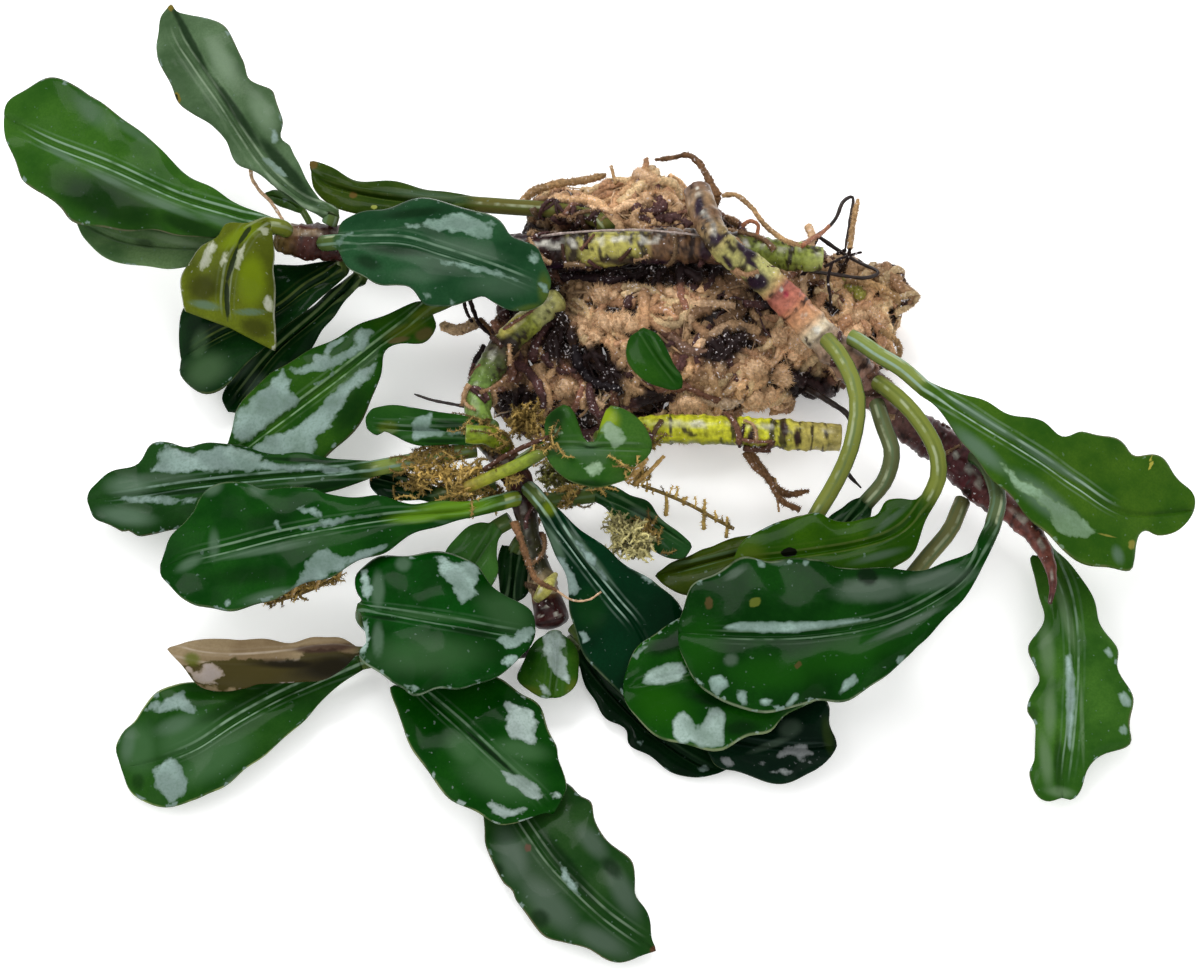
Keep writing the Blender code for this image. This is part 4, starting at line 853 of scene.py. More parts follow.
class LeafGrid:
    """A leaf's middle layer as rows of points in mm, from the stalk's foot to the tip.

    along goes from -1 to 0 over the stalk and from 0 to 1 over the blade. across goes from -1 at the left
    margin to 1 at the right one. aside is how far each point is from the midrib, and out is the way there.
    """

    def __init__(self, leaf):
        blade = leaf.blade()
        stalk = leaf.stalk_rows(blade[0]) if leaf.stalk else np.zeros((0, len(SECTION), 3))
        self.rows = np.vstack([stalk, blade])
        on_stalk, on_blade = np.linspace(-1, 0, len(stalk), endpoint=False), np.linspace(0, 1, len(blade))
        self.along, self.across = np.meshgrid(np.append(on_stalk, on_blade), SECTION, indexing="ij")
        self.middle = self.rows[:, len(HALF_SECTION) - 1][:, None]
        self.aside = np.linalg.norm(self.rows - self.middle, axis=2)
        self.out = (self.rows - self.middle) / np.maximum(self.aside, TINY)[..., None]
        self.normal = np.cross(np.gradient(self.rows, axis=1), np.gradient(self.rows, axis=0))
        self.normal /= np.maximum(np.linalg.norm(self.normal, axis=2, keepdims=True), TINY)
        self.length = leaf.length()

    def wave(self, ruffle, scallop, seed):
        """Makes the margins wavy up and down by the ruffle, and in and out by the scallop, both in mm."""
        rng = np.random.default_rng(seed)
        outward = np.abs(self.across)
        envelope = ramp(self.along, 0.06, 0.3) * (1 - ramp(self.along, 0.9, 1.0))
        side = np.where(self.across < 0, rng.uniform(0, 1), rng.uniform(0, 1))
        drift = 0.6 * np.sin(2 * math.pi * (1.3 * self.along + side))
        calm = min(1, self.aside.max() / FULLY_WAVY)
        waves = np.sin(2 * math.pi * (self.length / WAVE_LENGTH * self.along + side) + drift)
        lift = ruffle * calm * outward**2.4 * envelope * waves
        uneven = ripple(self.rows, 9.0, seed) * ramp(outward, 0.05, 0.4) * ramp(self.along, 0, 0.2)
        lift = lift + 0.2 * calm * uneven
        notches = np.sin(2 * math.pi * self.length / NOTCH_LENGTH * self.along + 5 * side + drift)
        reach = scallop * calm * ramp(outward, 0.4, 1.0) * envelope * notches
        fade = 1 - ramp(self.along, 0.97, 1.0)
        self.rows = self.rows + self.normal * (lift * fade)[..., None] + self.out * (reach * fade)[..., None]

    def bite(self, x, y, width, depth):
        """Draws the margin in where it is seen nearest to (x, y)."""
        gaps = np.linalg.norm(seen(self.rows[:, [0, -1]]) - (x, y), axis=2)
        row, end = np.unravel_index(gaps.argmin(), gaps.shape)
        away = (self.along - self.along[row, 0]) * self.length / width
        share = depth * np.exp(-(away**4)) * ramp(self.across * (2 * end - 1), 0.3, 1.0)
        self.rows = self.rows - (self.rows - self.middle) * share[..., None]

    def sides(self, radius, groove):
        """The points of the upper and the lower side. The round stalk runs out into the midrib."""
        rib = radius * (1 - RIB_TAPER * ramp(self.along, 0.0, 1.0))
        round_rib = np.sqrt(np.maximum(0, rib**2 - self.aside**2))
        edge = np.sqrt(1 - np.clip((np.abs(self.across) - 0.9) / 0.1, 0, 1) ** 2)
        thin = HALF_THICKNESS * edge * ramp(self.along, -0.02, 0.05)
        ridge = bell(self.aside, 0.75, 0.28) + 0.5 * bell(self.aside, 1.5, 0.3)
        ridge = ridge - 1.5 * bell(self.aside, 0, 0.38)
        ridge = ridge * RIDGE_HEIGHT * groove * ramp(self.along, 0.0, 0.12)
        ridge = ridge * (1 - ramp(self.along, 0.85, 0.98)) * edge
        above = np.maximum(thin, round_rib * (1 - ramp(self.along, 0.0, 0.16))) + ridge
        below = np.maximum(thin, round_rib * 0.95)
        return self.rows + self.normal * above[..., None], self.rows - self.normal * below[..., None]


def around(upper, lower):
    """Rings that go over the upper side of each row and back under the lower side."""
    return np.concatenate([upper, lower[:, -2:0:-2]], axis=1)


def closed(rings, cut):
    """The points and faces of rings, closed at the first one and, in a tip or a cut, at the last one.

    A point is its place in three numbers with its values after them. The tip has the values of the ring
    before it.
    """
    ring, tip = rings.shape[1], len(SECTION) // 2
    count = len(rings) if cut else len(rings) - 1
    points = rings[:count].reshape(-1, rings.shape[2])
    faces = ring_faces(count, ring) + [list(range(ring))[::-1]]
    last = (count - 1) * ring
    if cut:
        faces.append([last + j for j in range(ring)])
    else:
        points = np.vstack([points, [*rings[-1, tip, :3], *rings[-2, tip, 3:]]])
        faces += [[last + j, last + (j + 1) % ring, len(points) - 1] for j in range(ring)]
    return points, [face[::-1] for face in faces]


def leaf_object(name, leaf, look, seed):
    """A leaf with its stalk as one closed piece, with the numbers that its patterns need at each point."""
    grid = LeafGrid(leaf)
    grid.wave(look.ruffle, look.scallop, seed)
    for bite in look.bites:
        grid.bite(*bite)
    upper, lower = grid.sides(leaf.stalk_radius, look.groove)
    on_top = np.ones_like(grid.along)
    values = [around(upper_values, lower_values)[..., None] for upper_values, lower_values in (
        (grid.along, grid.along), (grid.across, grid.across), (grid.aside, grid.aside),
        (on_top, 0 * on_top))]
    table, faces = closed(np.concatenate([around(upper, lower), *values], axis=2), leaf.cut)
    points, (along_leaf, across, midway, top) = table[:, :3], table[:, 3:].T
    # Where reflections are painted: inside their outlines, on the upper side only.
    film = np.where(top > 0.5, insides(points, look.film), -FAR_OUTSIDE)
    zones = {f"zone{number}": blobs(points, zone[3]) for number, zone in enumerate(look.zones)}
    thing = smooth_mesh(name + "_blade", points, faces, along=along_leaf, across=across, midway=midway,
                        top=top, film=film, **zones)
    thing.data.materials.append(leaf_material(name, look))
    return thing


# Bands beside the midrib, in mm from its middle: where they start, are full, fade and end. The first is its
# bright line, partly its own pale colour and partly painted highlight, and the second a fainter one. The
# third, as a share of the half width, is the band of painted glints of water droplets. The fourth, across
# the stalk, is the stripe of the stalk's painted highlight.
VEIN_AND_GLEAM_BAND = (0.4, 0.56, 0.68, 0.84)
OUTER_BAND = (1.15, 1.3, 1.4, 1.6)
GLINT_BAND = (0.9, 0.94, 0.985, 1.0)
STALK_HIGHLIGHT_BAND = (-0.6, -0.4, -0.25, -0.05)


def mottled(face, look, fine):
    """The greens of the blade and the stalk, with the stalk's painted highlight and specks of painted glint,
    before anything lies on them.
    """
    along_leaf = face.attribute("along")
    greens = face.mix(face.step(face.noise(7.0, 3), 0.35, 0.68), look.dark, look.light)
    greens = face.mix(face.step(fine, 0.35, 0.8, 0, 0.3), greens, look.light)
    greens = face.mix(face.step(face.noise(0.3, 2), 0.35, 0.65, 0, 0.3), greens, look.dark)
    greens = face.mix(face.step(along_leaf, -0.12, 0.06, 0.8, 0), greens, look.stalk)
    # A painted highlight along one side of the stalk.
    shine = face.product(face.band(face.attribute("across"), *STALK_HIGHLIGHT_BAND),
                         face.step(along_leaf, -0.05, 0.02, 1, 0),
                         face.step(face.noise(2.2, 3), 0.42, 0.6, 0.05, 0.6))
    greens = face.mix(shine, greens, toned(STALK_SHINE))
    # Sparse specks of painted glint, as of water droplets.
    return face.mix(face.step(face.noise(0.6, 1), 0.72, 0.77, 0, 0.3), greens, look.sheen)


def veined(face, look, greens):
    """The pale lines beside the midrib, partly their own colour and partly painted highlight, which break up
    and end before the tip.
    """
    midway = face.attribute("midway")
    strands = face.total(face.band(midway, *VEIN_AND_GLEAM_BAND), face.product(face.band(midway, *OUTER_BAND), 0.18))
    strands = face.product(strands,
                           face.step(face.attribute("along"), look.vein_end - 0.12, look.vein_end + 0.04, 1,
                                     0),
                           face.step(face.noise(2.2, 2), 0.3, 0.55, 0.25, look.vein_share))
    return face.mix(strands, greens, look.vein)


def patched(face, look, greens, speckle):
    """The tinted patches, painted shade and painted sheen among them, whose edges are ragged unless
    they are soft.
    """
    for number, (colour, strength, softness, _) in enumerate(look.zones):
        uneven = 0.22 * (1 - softness)
        zone = face.total(face.attribute(f"zone{number}"), face.step(speckle, 0.25, 0.75, -uneven, uneven))
        greens = face.mix(face.step(zone, 0.0, 0.08 + 0.7 * softness, 0, strength), greens, colour)
    return greens


def rimmed(face, look, greens):
    """The pale rim of the blade, and painted glints of water droplets just inside it."""
    along_leaf, margin = face.attribute("along"), face.math("ABSOLUTE", face.attribute("across"))
    rim = face.product(face.step(margin, 0.955, 0.985), face.step(along_leaf, 0.02, 0.1),
                       face.step(face.noise(2.5, 3), 0.35, 0.6, 0.15, look.rim_share))
    greens = face.mix(rim, greens, look.rim)
    glint_spots = face.product(face.band(margin, *GLINT_BAND), face.step(face.noise(1.5, 3), 0.6, 0.66),
                         face.step(along_leaf, 0.15, 0.3, 0, 0.75))
    return face.mix(glint_spots, greens, look.sheen)


def filmed(face, look, greens, fine, speckle):
    """The reflections painted on the patches of water: ragged at the edge, brighter and fainter inside."""
    coarse_rag, fine_rag = 3.4 * look.ragged, 1.6 * look.ragged
    # How far inside a painted reflection each point lies, with ragged edges.
    wet = face.total(face.attribute("film"), face.step(speckle, 0.25, 0.75, -coarse_rag, coarse_rag),
                     face.step(fine, 0.25, 0.75, -fine_rag, fine_rag))
    bright = tuple(1.45 * part for part in look.sheen)
    faint = face.mix(0.5, look.light, look.sheen)
    sheen = face.mix(face.step(face.noise(4.0, 1), 0.38, 0.62), look.sheen, bright)
    sheen = face.mix(face.step(wet, 0.0, 3.2), faint, sheen)
    sheen = face.mix(face.step(face.noise(5.0, 3, 0.6), 0.42, 0.68, 0, 0.6), sheen, faint)
    sheen = face.mix(face.step(face.noise(0.35, 2), 0.4, 0.7, 0, 0.35), sheen, faint)
    return face.mix(face.step(wet, -1.0, 1.0, 0, 0.94), greens, sheen)


def leaf_material(name, look):
    """A leaf's surface: mottled greens under the midrib's pale lines and their painted gleam, tinted
    patches, the rim, and reflections painted on the wet surface.
    """
    face = Surface(name + "_wet", 0.2, coat=0.03, coat_roughness=0.04, specular=0.02)
    fine, speckle = face.noise(0.9, 4, 0.6), face.noise(1.3, 3)
    greens = veined(face, look, mottled(face, look, fine))
    greens = rimmed(face, look, patched(face, look, greens, speckle))
    greens = face.mix(face.attribute("top"), between(look.light, UNDERSIDE, 0.4), greens)
    if look.film:
        greens = filmed(face, look, greens, fine, speckle)
    face.colour(greens)
    face.shine(face.step(fine, 0.3, 0.75, 0.12, 0.24))
    face.bump(face.noise(0.35, 2), 0.012)
    face.bump(face.noise(3.0, 2), 0.07)
    return face.material


# Colours of painted reflection, painted sheen, glow and painted shade on the leaves, and the greens of the
# dark and the olive ones
WHITE = (0.4, 0.49, 0.46)
PAINTED_SHEEN, GREEN_PAINTED_SHEEN, GREY_PAINTED_SHEEN = (0.12, 0.2, 0.13), (0.055, 0.14, 0.05), (0.085, 0.13, 0.09)
PAINTED_SHADE, GLOW, LIME_GLOW = (0.0015, 0.014, 0.002), (0.1, 0.14, 0.012), (0.17, 0.24, 0.006)
SHADED = dict(dark=(0.0015, 0.014, 0.003), light=(0.006, 0.036, 0.006))
OLIVE = dict(dark=(0.018, 0.05, 0.003), light=(0.055, 0.095, 0.007), vein=(0.1, 0.14, 0.03),
             rim=(0.22, 0.15, 0.06))

# Patches as seen in the main view: outlines are lists of (x, y), and ellipses are (x, y, half length, half
# width, turn in degrees)
LOOKS = {
    "leaf_far_left": Look(
        dark=(0.02, 0.085, 0.007), light=(0.045, 0.14, 0.014), vein=(0.24, 0.38, 0.25), vein_share=1.0,
        rim=(0.17, 0.14, 0.09),
        zones=[(PAINTED_SHADE, 0.75, 0.9, [(110, 203, 96, 30, 22), (195, 228, 70, 14, 20)]),
               (PAINTED_SHEEN, 0.6, 0.9,
                [(62, 155, 30, 5, 28), (110, 180, 40, 5, 26), (165, 205, 56, 6, 22), (225, 222, 44, 7, 18)]),
               (PAINTED_SHEEN, 0.4, 1.0, [(92, 112, 34, 14, 45), (130, 130, 40, 7, 32)])]),
    "leaf_behind_far_left": Look(
        dark=(0.06, 0.13, 0.045), light=(0.15, 0.25, 0.1), rim=(0.2, 0.26, 0.12),
        zones=[(PAINTED_SHADE, 0.6, 0.8, [(145, 243, 14, 6, 10), (180, 232, 40, 5, 5)]),
               ((0.25, 0.36, 0.2), 0.7, 0.9, [(175, 240, 40, 6, 14)])]),
    "leaf_pointing_up": Look(
        dark=(0.05, 0.1, 0.04), light=(0.12, 0.2, 0.1), vein=(0.24, 0.33, 0.21), vein_share=0.9,
        rim=(0.2, 0.16, 0.1),
        film=[[(272, 130), (276, 127), (278, 138), (273, 143)],
              [(262, 158), (275, 162), (290, 178), (284, 178)]],
        zones=[(PAINTED_SHADE, 0.8, 0.7, [(236, 112, 60, 6, 55), (285, 168, 60, 9, 50), (190, 40, 60, 5, 62)]),
               # A pale grey-green painted sheen.
               ((0.22, 0.32, 0.2), 0.6, 1.0,
                [(262, 112, 36, 15, 62), (228, 165, 20, 14, 60), (222, 60, 40, 14, 60)]),
               ((0.2, 0.15, 0.02), 0.9, 0.2, [(176, 99, 5, 7, 0), (171, 6, 4, 6, 0)]),
               ((0.01, 0.02, 0.005), 1.0, 0.1, [(176, 98, 2.4, 4, 0)])]),
    "leaf_tiny": Look(
        dark=(0.02, 0.07, 0.008), light=(0.06, 0.13, 0.02),
        film=[[(282, 196), (290, 200), (284, 203)]]),
    "leaf_dark_glossy": Look(
        dark=(0.007, 0.045, 0.014), light=(0.022, 0.088, 0.032), vein=(0.2, 0.32, 0.22), vein_share=0.8,
        rim=(0.24, 0.31, 0.2), rim_share=0.95, scallop=0.24, sheen=(0.2, 0.3, 0.25),
        film=[[(403, 223), (410, 228), (428, 227), (440, 231), (465, 233), (480, 239), (491, 238),
               (493, 231), (487, 226), (497, 224), (494, 220), (478, 221), (470, 216), (462, 212),
               (455, 213), (440, 217), (425, 221), (415, 225)],
              [(424, 257), (440, 258), (470, 264), (500, 270), (520, 280), (505, 278), (480, 272),
               (450, 266)],
              [(423, 293), (429, 293), (429, 299), (424, 299)],
              [(450, 300), (456, 301), (454, 306), (449, 305)],
              [(526, 255), (534, 252), (540, 257), (536, 267), (530, 262)],
              [(538, 283), (547, 285), (550, 294), (543, 292)],
              [(338, 242), (345, 234), (354, 232), (344, 240), (340, 246)]],
        zones=[(PAINTED_SHADE, 0.7, 0.9, [(400, 250, 50, 8, 6), (415, 213, 46, 7, -6), (368, 262, 20, 10, 20)]),
               (PAINTED_SHEEN, 0.3, 1.0,
                [(432, 262, 50, 12, 10), (465, 250, 60, 12, 12), (420, 275, 40, 12, 0),
                 (500, 285, 50, 18, 0)]),
               (GLOW, 0.6, 0.9, [(545, 290, 10, 24, -5), (530, 310, 26, 8, -10)])]),
    "leaf_bent_olive": Look(
        dark=(0.07, 0.09, 0.006), light=(0.15, 0.19, 0.012), vein=(0.34, 0.4, 0.26), vein_share=0.5,
        rim=(0.5, 0.52, 0.4), rim_share=0.9, stalk=(0.2, 0.24, 0.03), sheen=(0.5, 0.52, 0.42),
        film=[[(200, 262), (206, 250), (214, 240), (216, 246), (212, 258), (207, 268), (201, 272)],
              [(220, 268), (222, 256), (228, 252), (225, 264)],
              [(235, 265), (238, 250), (244, 240), (247, 244), (244, 256), (238, 270)],
              [(258, 230), (263, 226), (270, 228), (268, 235), (262, 234)],
              [(263, 303), (268, 294), (272, 302), (271, 312), (265, 308)]],
        zones=[(LIME_GLOW, 0.95, 0.8, [(252, 280, 20, 34, 0), (240, 236, 30, 10, -30)]),
               ((0.04, 0.045, 0.006), 0.8, 0.8, [(203, 288, 22, 20, 0), (256, 328, 22, 14, 20)]),
               # Painted shade in the midrib's groove.
               ((0.012, 0.022, 0.01), 0.9, 0.4,
                [(244, 236, 16, 3, -55), (232, 264, 24, 3, -72), (227, 300, 26, 3, 88)]),
               (PAINTED_SHEEN, 0.8, 0.8, [(205, 305, 22, 6, 10), (250, 312, 22, 5, 0)])]),
    "leaf_shaded_left": Look(
        **SHADED, vein=(0.16, 0.22, 0.05), vein_share=0.6,
        # A pale painted sheen.
        zones=[((0.06, 0.12, 0.05), 0.8, 1.0, [(206, 370, 34, 24, -30), (200, 345, 12, 24, 10)])]),
    "leaf_shaded_right": Look(
        **SHADED, vein=(0.16, 0.24, 0.08), vein_share=0.7,
        zones=[(GREY_PAINTED_SHEEN, 0.7, 1.0,
                [(300, 300, 60, 5, -30), (240, 370, 30, 10, -40), (255, 385, 14, 20, 30)])]),
    "leaf_shaded_small": Look(**SHADED),
    "leaf_olive_torn": Look(
        **OLIVE, rim_share=0.9, stalk=(0.17, 0.15, 0.04),
        zones=[(PAINTED_SHEEN, 0.4, 1.0, [(430, 196, 60, 7, 6)]),
               ((0.2, 0.11, 0.03), 0.7, 0.5, [(313, 163, 6, 8, 0), (353, 195, 5, 4, 0)]),
               ((0.45, 0.5, 0.1), 0.9, 0.4, [(374, 207, 4, 3, 0)])]),
    "leaf_wet_left": Look(
        dark=(0.008, 0.055, 0.003), light=(0.03, 0.1, 0.006), vein=(0.22, 0.36, 0.18), vein_share=0.9,
        rim=(0.16, 0.12, 0.07),
        film=[[(232, 424), (240, 408), (256, 395), (270, 384), (277, 374), (283, 368), (285, 377),
               (291, 381), (287, 391), (296, 394), (300, 400), (290, 409), (278, 418), (262, 430),
               (250, 441), (238, 443), (234, 434)],
              [(290, 369), (312, 364), (311, 358), (316, 353), (322, 355), (328, 344), (340, 338),
               (348, 337), (331, 350), (330, 358), (345, 352), (356, 345), (351, 336), (362, 328),
               (372, 327), (374, 333), (368, 338), (371, 345), (362, 352), (348, 360), (333, 369),
               (322, 372), (312, 372), (295, 376)],
              [(314, 384), (334, 370), (332, 375), (318, 386)],
              [(378, 363), (374, 374), (356, 388), (344, 404), (336, 415), (330, 428), (318, 436),
               (316, 445), (310, 460), (285, 460), (262, 456), (252, 448), (270, 435), (285, 433),
               (305, 420), (325, 400), (345, 380), (360, 370)]],
        zones=[(GLOW, 0.75, 0.9, [(405, 330, 30, 9, -20), (425, 312, 26, 8, -25)]),
               ((0.13, 0.1, 0.035), 0.8, 0.6, [(424, 334, 12, 8, -20), (398, 340, 14, 4, -10)]),
               (PAINTED_SHADE, 0.5, 0.9, [(350, 410, 16, 36, 30)])]),
    "leaf_middle_left": Look(
        scallop=0.26, dark=(0.005, 0.035, 0.004), light=(0.014, 0.065, 0.01), vein=(0.22, 0.34, 0.26),
        vein_share=0.9, rim=(0.14, 0.12, 0.07), stalk=(0.26, 0.34, 0.07),
        film=[[(150, 471), (158, 464), (155, 455), (165, 446), (178, 448), (190, 455), (205, 450),
               (215, 446), (235, 447), (262, 454), (262, 460), (285, 465), (320, 465), (360, 470),
               (355, 474), (310, 472), (260, 471), (200, 471), (165, 473)],
              [(112, 497), (140, 496), (196, 499), (196, 503), (150, 503), (125, 501)]],
        zones=[(PAINTED_SHEEN, 0.75, 1.0, [(130, 486, 34, 16, 0), (126, 516, 40, 13, 8)]),
               (GREY_PAINTED_SHEEN, 0.5, 1.0, [(165, 478, 50, 8, 0)]),
               (PAINTED_SHADE, 0.8, 0.8, [(180, 492, 60, 4, -3), (300, 460, 50, 3, 3), (320, 486, 50, 6, -8)])]),
    "leaf_wavy_left": Look(
        scallop=0.26, dark=(0.002, 0.038, 0.002), light=(0.008, 0.07, 0.005), vein=(0.2, 0.32, 0.2),
        vein_share=0.9, rim=(0.16, 0.22, 0.1), stalk=(0.22, 0.3, 0.03),
        film=[[(298, 508), (312, 507), (318, 509), (321, 516), (312, 514), (304, 513)],
              [(273, 521), (277, 520), (281, 530), (278, 531)],
              [(300, 527), (325, 521), (350, 517), (380, 516), (350, 521), (325, 527), (306, 531)],
              [(300, 578), (306, 560), (318, 550), (326, 548), (332, 554), (350, 556), (372, 548),
               (388, 545), (380, 552), (355, 563), (330, 575), (312, 584), (298, 590), (285, 594),
               (296, 584)],
              [(222, 602), (228, 597), (236, 596), (232, 603), (226, 606)]],
        zones=[(PAINTED_SHEEN, 0.6, 1.0,
                [(214, 545, 8, 22, 0), (190, 563, 22, 8, -30), (213, 488, 10, 15, 60),
                 (258, 488, 14, 12, 40), (265, 550, 70, 6, -10), (270, 596, 40, 9, -12)]),
               ((0.12, 0.26, 0.012), 0.95, 0.9, [(455, 508, 60, 13, -6), (420, 516, 46, 9, -6)]),
               (PAINTED_SHADE, 0.5, 1.0, [(250, 575, 60, 14, -4), (270, 520, 40, 14, -10)])]),
    "leaf_strip": Look(
        dark=(0.01, 0.06, 0.006), light=(0.025, 0.1, 0.01), rim=(0.3, 0.36, 0.2), vein=(0.2, 0.3, 0.2),
        film=[[(411, 423), (418, 416), (432, 414), (434, 421), (429, 428), (440, 431), (474, 431),
               (440, 437), (413, 439), (412, 430)]],
        zones=[(GLOW, 0.6, 0.8, [(388, 428, 14, 10, 0)]),
               (PAINTED_SHADE, 0.7, 0.8, [(450, 424, 24, 5, 4), (440, 441, 34, 3, 0)])]),
    "leaf_notched": Look(
        dark=(0.018, 0.08, 0.008), light=(0.055, 0.15, 0.02), rim=(0.24, 0.32, 0.1), sheen=(0.3, 0.42, 0.28),
        film=[[(600, 428), (609, 421), (620, 428), (626, 441), (616, 449), (607, 441)],
              [(580, 466), (600, 462), (606, 469), (592, 477)],
              [(556, 428), (564, 432), (561, 438), (554, 434)]],
        zones=[((0.3, 0.42, 0.015), 0.85, 0.9, [(604, 418, 22, 18, 30)]),
               (PAINTED_SHADE, 0.7, 0.9, [(556, 418, 14, 18, 20), (585, 485, 40, 8, 0)]),
               (PAINTED_SHEEN, 0.35, 1.0, [(580, 450, 40, 8, 0)])]),
    "leaf_broad": Look(
        scallop=0.3, dark=(0.001, 0.032, 0.001), light=(0.003, 0.062, 0.004), vein=(0.14, 0.24, 0.15),
        vein_share=0.8, rim=(0.28, 0.36, 0.24), rim_share=0.9, sheen=(0.3, 0.41, 0.37),
        film=[[(434, 560), (437, 556), (446, 557), (455, 565), (463, 562), (472, 560), (478, 570),
               (480, 578), (474, 588), (478, 594), (472, 600), (462, 604), (456, 598), (452, 585),
               (443, 578), (440, 570)],
              [(497, 640), (502, 635), (512, 637), (520, 630), (530, 626), (535, 632), (530, 640),
               (518, 646), (506, 648)],
              [(500, 662), (508, 656), (517, 655), (518, 660), (510, 667)],
              [(360, 572), (368, 570), (372, 590), (368, 600), (361, 592)],
              [(359, 645), (362, 624), (368, 620), (370, 640), (366, 655), (361, 660)],
              [(405, 686), (420, 688), (418, 693), (410, 690)],
              [(440, 688), (454, 684), (452, 690)]],
        zones=[(GREEN_PAINTED_SHEEN, 0.55, 1.0,
                [(505, 612, 44, 26, 35), (425, 655, 84, 28, 0), (430, 616, 70, 6, 6)]),
               (PAINTED_SHEEN, 0.6, 0.8, [(403, 564, 11, 10, 0), (378, 590, 9, 26, 0), (378, 640, 8, 24, 0)]),
               (PAINTED_SHADE, 0.75, 0.8, [(470, 632, 36, 5, 10), (385, 618, 26, 3, 6)])]),
    "leaf_pale": Look(dark=(0.03, 0.12, 0.018), light=(0.06, 0.18, 0.03)),
    "leaf_dark_small": Look(**SHADED),
    "leaf_deep_green": Look(
        dark=(0.0005, 0.014, 0.004), light=(0.001, 0.028, 0.008), vein=(0.34, 0.5, 0.4), vein_share=1.0,
        vein_end=0.66, rim=(0.14, 0.2, 0.1), sheen=(0.26, 0.36, 0.33),
        film=[[(556, 556), (564, 556), (572, 572), (578, 586), (582, 588), (575, 596), (568, 594),
               (562, 580)],
              [(573, 538), (583, 545), (597, 562), (608, 582), (600, 574), (588, 564), (580, 552)],
              [(579, 633), (586, 630), (589, 640), (583, 643)],
              [(640, 573), (650, 572), (652, 580), (645, 583)]],
        zones=[(PAINTED_SHEEN, 0.6, 1.0, [(588, 556, 50, 8, 50), (556, 545, 28, 7, 65), (640, 570, 30, 6, 38)]),
               (LIME_GLOW, 0.7, 1.0, [(549, 508, 10, 12, 0)]),
               ((0.004, 0.05, 0.006), 0.6, 1.0, [(590, 610, 26, 30, 0)])]),
    "leaf_behind_moss": Look(
        dark=(0.006, 0.045, 0.008), light=(0.02, 0.08, 0.018),
        zones=[(PAINTED_SHEEN, 0.7, 0.9, [(640, 515, 16, 8, 30)])]),
    "leaf_front_left": Look(
        dark=(0.008, 0.055, 0.004), light=(0.022, 0.09, 0.01), vein=(0.26, 0.4, 0.26), vein_share=1.0,
        vein_end=0.8, rim=(0.3, 0.37, 0.14), rim_share=0.9,
        film=[[(143, 710), (152, 703), (165, 698), (178, 691), (185, 693), (188, 701), (200, 702),
               (192, 706), (197, 714), (186, 712), (180, 709), (170, 709), (160, 713)],
              [(155, 768), (165, 760), (172, 757), (180, 765), (184, 775), (190, 782), (186, 790),
               (180, 800), (172, 803), (165, 797), (157, 790), (153, 778)]],
        zones=[(GREEN_PAINTED_SHEEN, 0.8, 1.0,
                [(140, 748, 26, 36, 0), (185, 735, 50, 26, -28), (215, 760, 60, 24, -32)]),
               (PAINTED_SHEEN, 0.5, 1.0, [(128, 745, 10, 26, 10), (175, 725, 30, 12, -20), (236, 780, 20, 8, -30)]),
               (PAINTED_SHADE, 0.5, 0.8, [(235, 705, 60, 10, -25), (138, 782, 9, 12, 0)])]),
    "leaf_front_upper": Look(
        scallop=0.24, dark=(0.001, 0.036, 0.001), light=(0.006, 0.068, 0.003), vein=(0.16, 0.26, 0.16),
        vein_share=0.8, rim=(0.26, 0.3, 0.14), rim_share=0.9, sheen=WHITE,
        film=[[(503, 703), (510, 700), (517, 706), (527, 708), (532, 712), (538, 722), (534, 733),
               (537, 745), (525, 741), (515, 740), (507, 733), (505, 725), (507, 712)],
              [(498, 768), (505, 772), (520, 777), (535, 784), (545, 797), (540, 801), (530, 798),
               (520, 790), (508, 783)],
              [(487, 802), (500, 806), (515, 809), (527, 808), (520, 816), (505, 818), (492, 814)],
              [(548, 795), (558, 790), (560, 797), (552, 799)]],
        zones=[(GREEN_PAINTED_SHEEN, 0.8, 1.0,
                [(500, 775, 60, 34, 20), (465, 750, 34, 20, 45), (520, 750, 40, 16, 10)]),
               (PAINTED_SHADE, 0.9, 0.6, [(490, 752, 46, 3, 42)])]),
    "leaf_front_tip": Look(
        dark=(0.008, 0.045, 0.006), light=(0.022, 0.07, 0.014), vein=(0.18, 0.26, 0.17), vein_share=0.8,
        rim=(0.24, 0.2, 0.12), scallop=0.3,
        film=[[(558, 858), (568, 872), (580, 890), (581, 896), (570, 889), (561, 875)]],
        zones=[(GREY_PAINTED_SHEEN, 0.8, 1.0,
                [(512, 855, 44, 20, 70), (550, 905, 60, 22, 45), (600, 940, 46, 16, 28),
                 (592, 842, 32, 14, 50), (622, 890, 46, 16, 62)]),
               (PAINTED_SHADE, 0.7, 0.8,
                [(566, 865, 62, 11, 52), (540, 918, 14, 12, 20), (498, 870, 8, 10, 0),
                 (612, 868, 18, 10, 50)]),
               ((0.12, 0.045, 0.025), 0.8, 0.5, [(528, 848, 4, 6, 0), (655, 950, 7, 6, 0)])]),
    "leaf_light_wet": Look(
        dark=(0.012, 0.07, 0.004), light=(0.045, 0.13, 0.01), sheen=WHITE,
        film=[[(541, 635), (550, 630), (560, 632), (567, 636), (562, 650), (568, 665), (570, 685),
               (562, 680), (552, 672), (545, 655)],
              [(537, 679), (545, 688), (550, 695), (545, 694), (538, 686)],
              [(514, 690), (519, 689), (521, 694), (515, 695)],
              [(540, 697), (549, 696), (546, 701)]],
        zones=[(GLOW, 0.8, 0.9, [(574, 690, 12, 16, 0), (525, 692, 26, 9, 0)]),
               (PAINTED_SHADE, 0.6, 0.8, [(530, 650, 10, 20, 0)])]),
    "leaf_round": Look(
        scallop=0.24, dark=(0.002, 0.04, 0.001), light=(0.008, 0.078, 0.003), rim=(0.26, 0.32, 0.16),
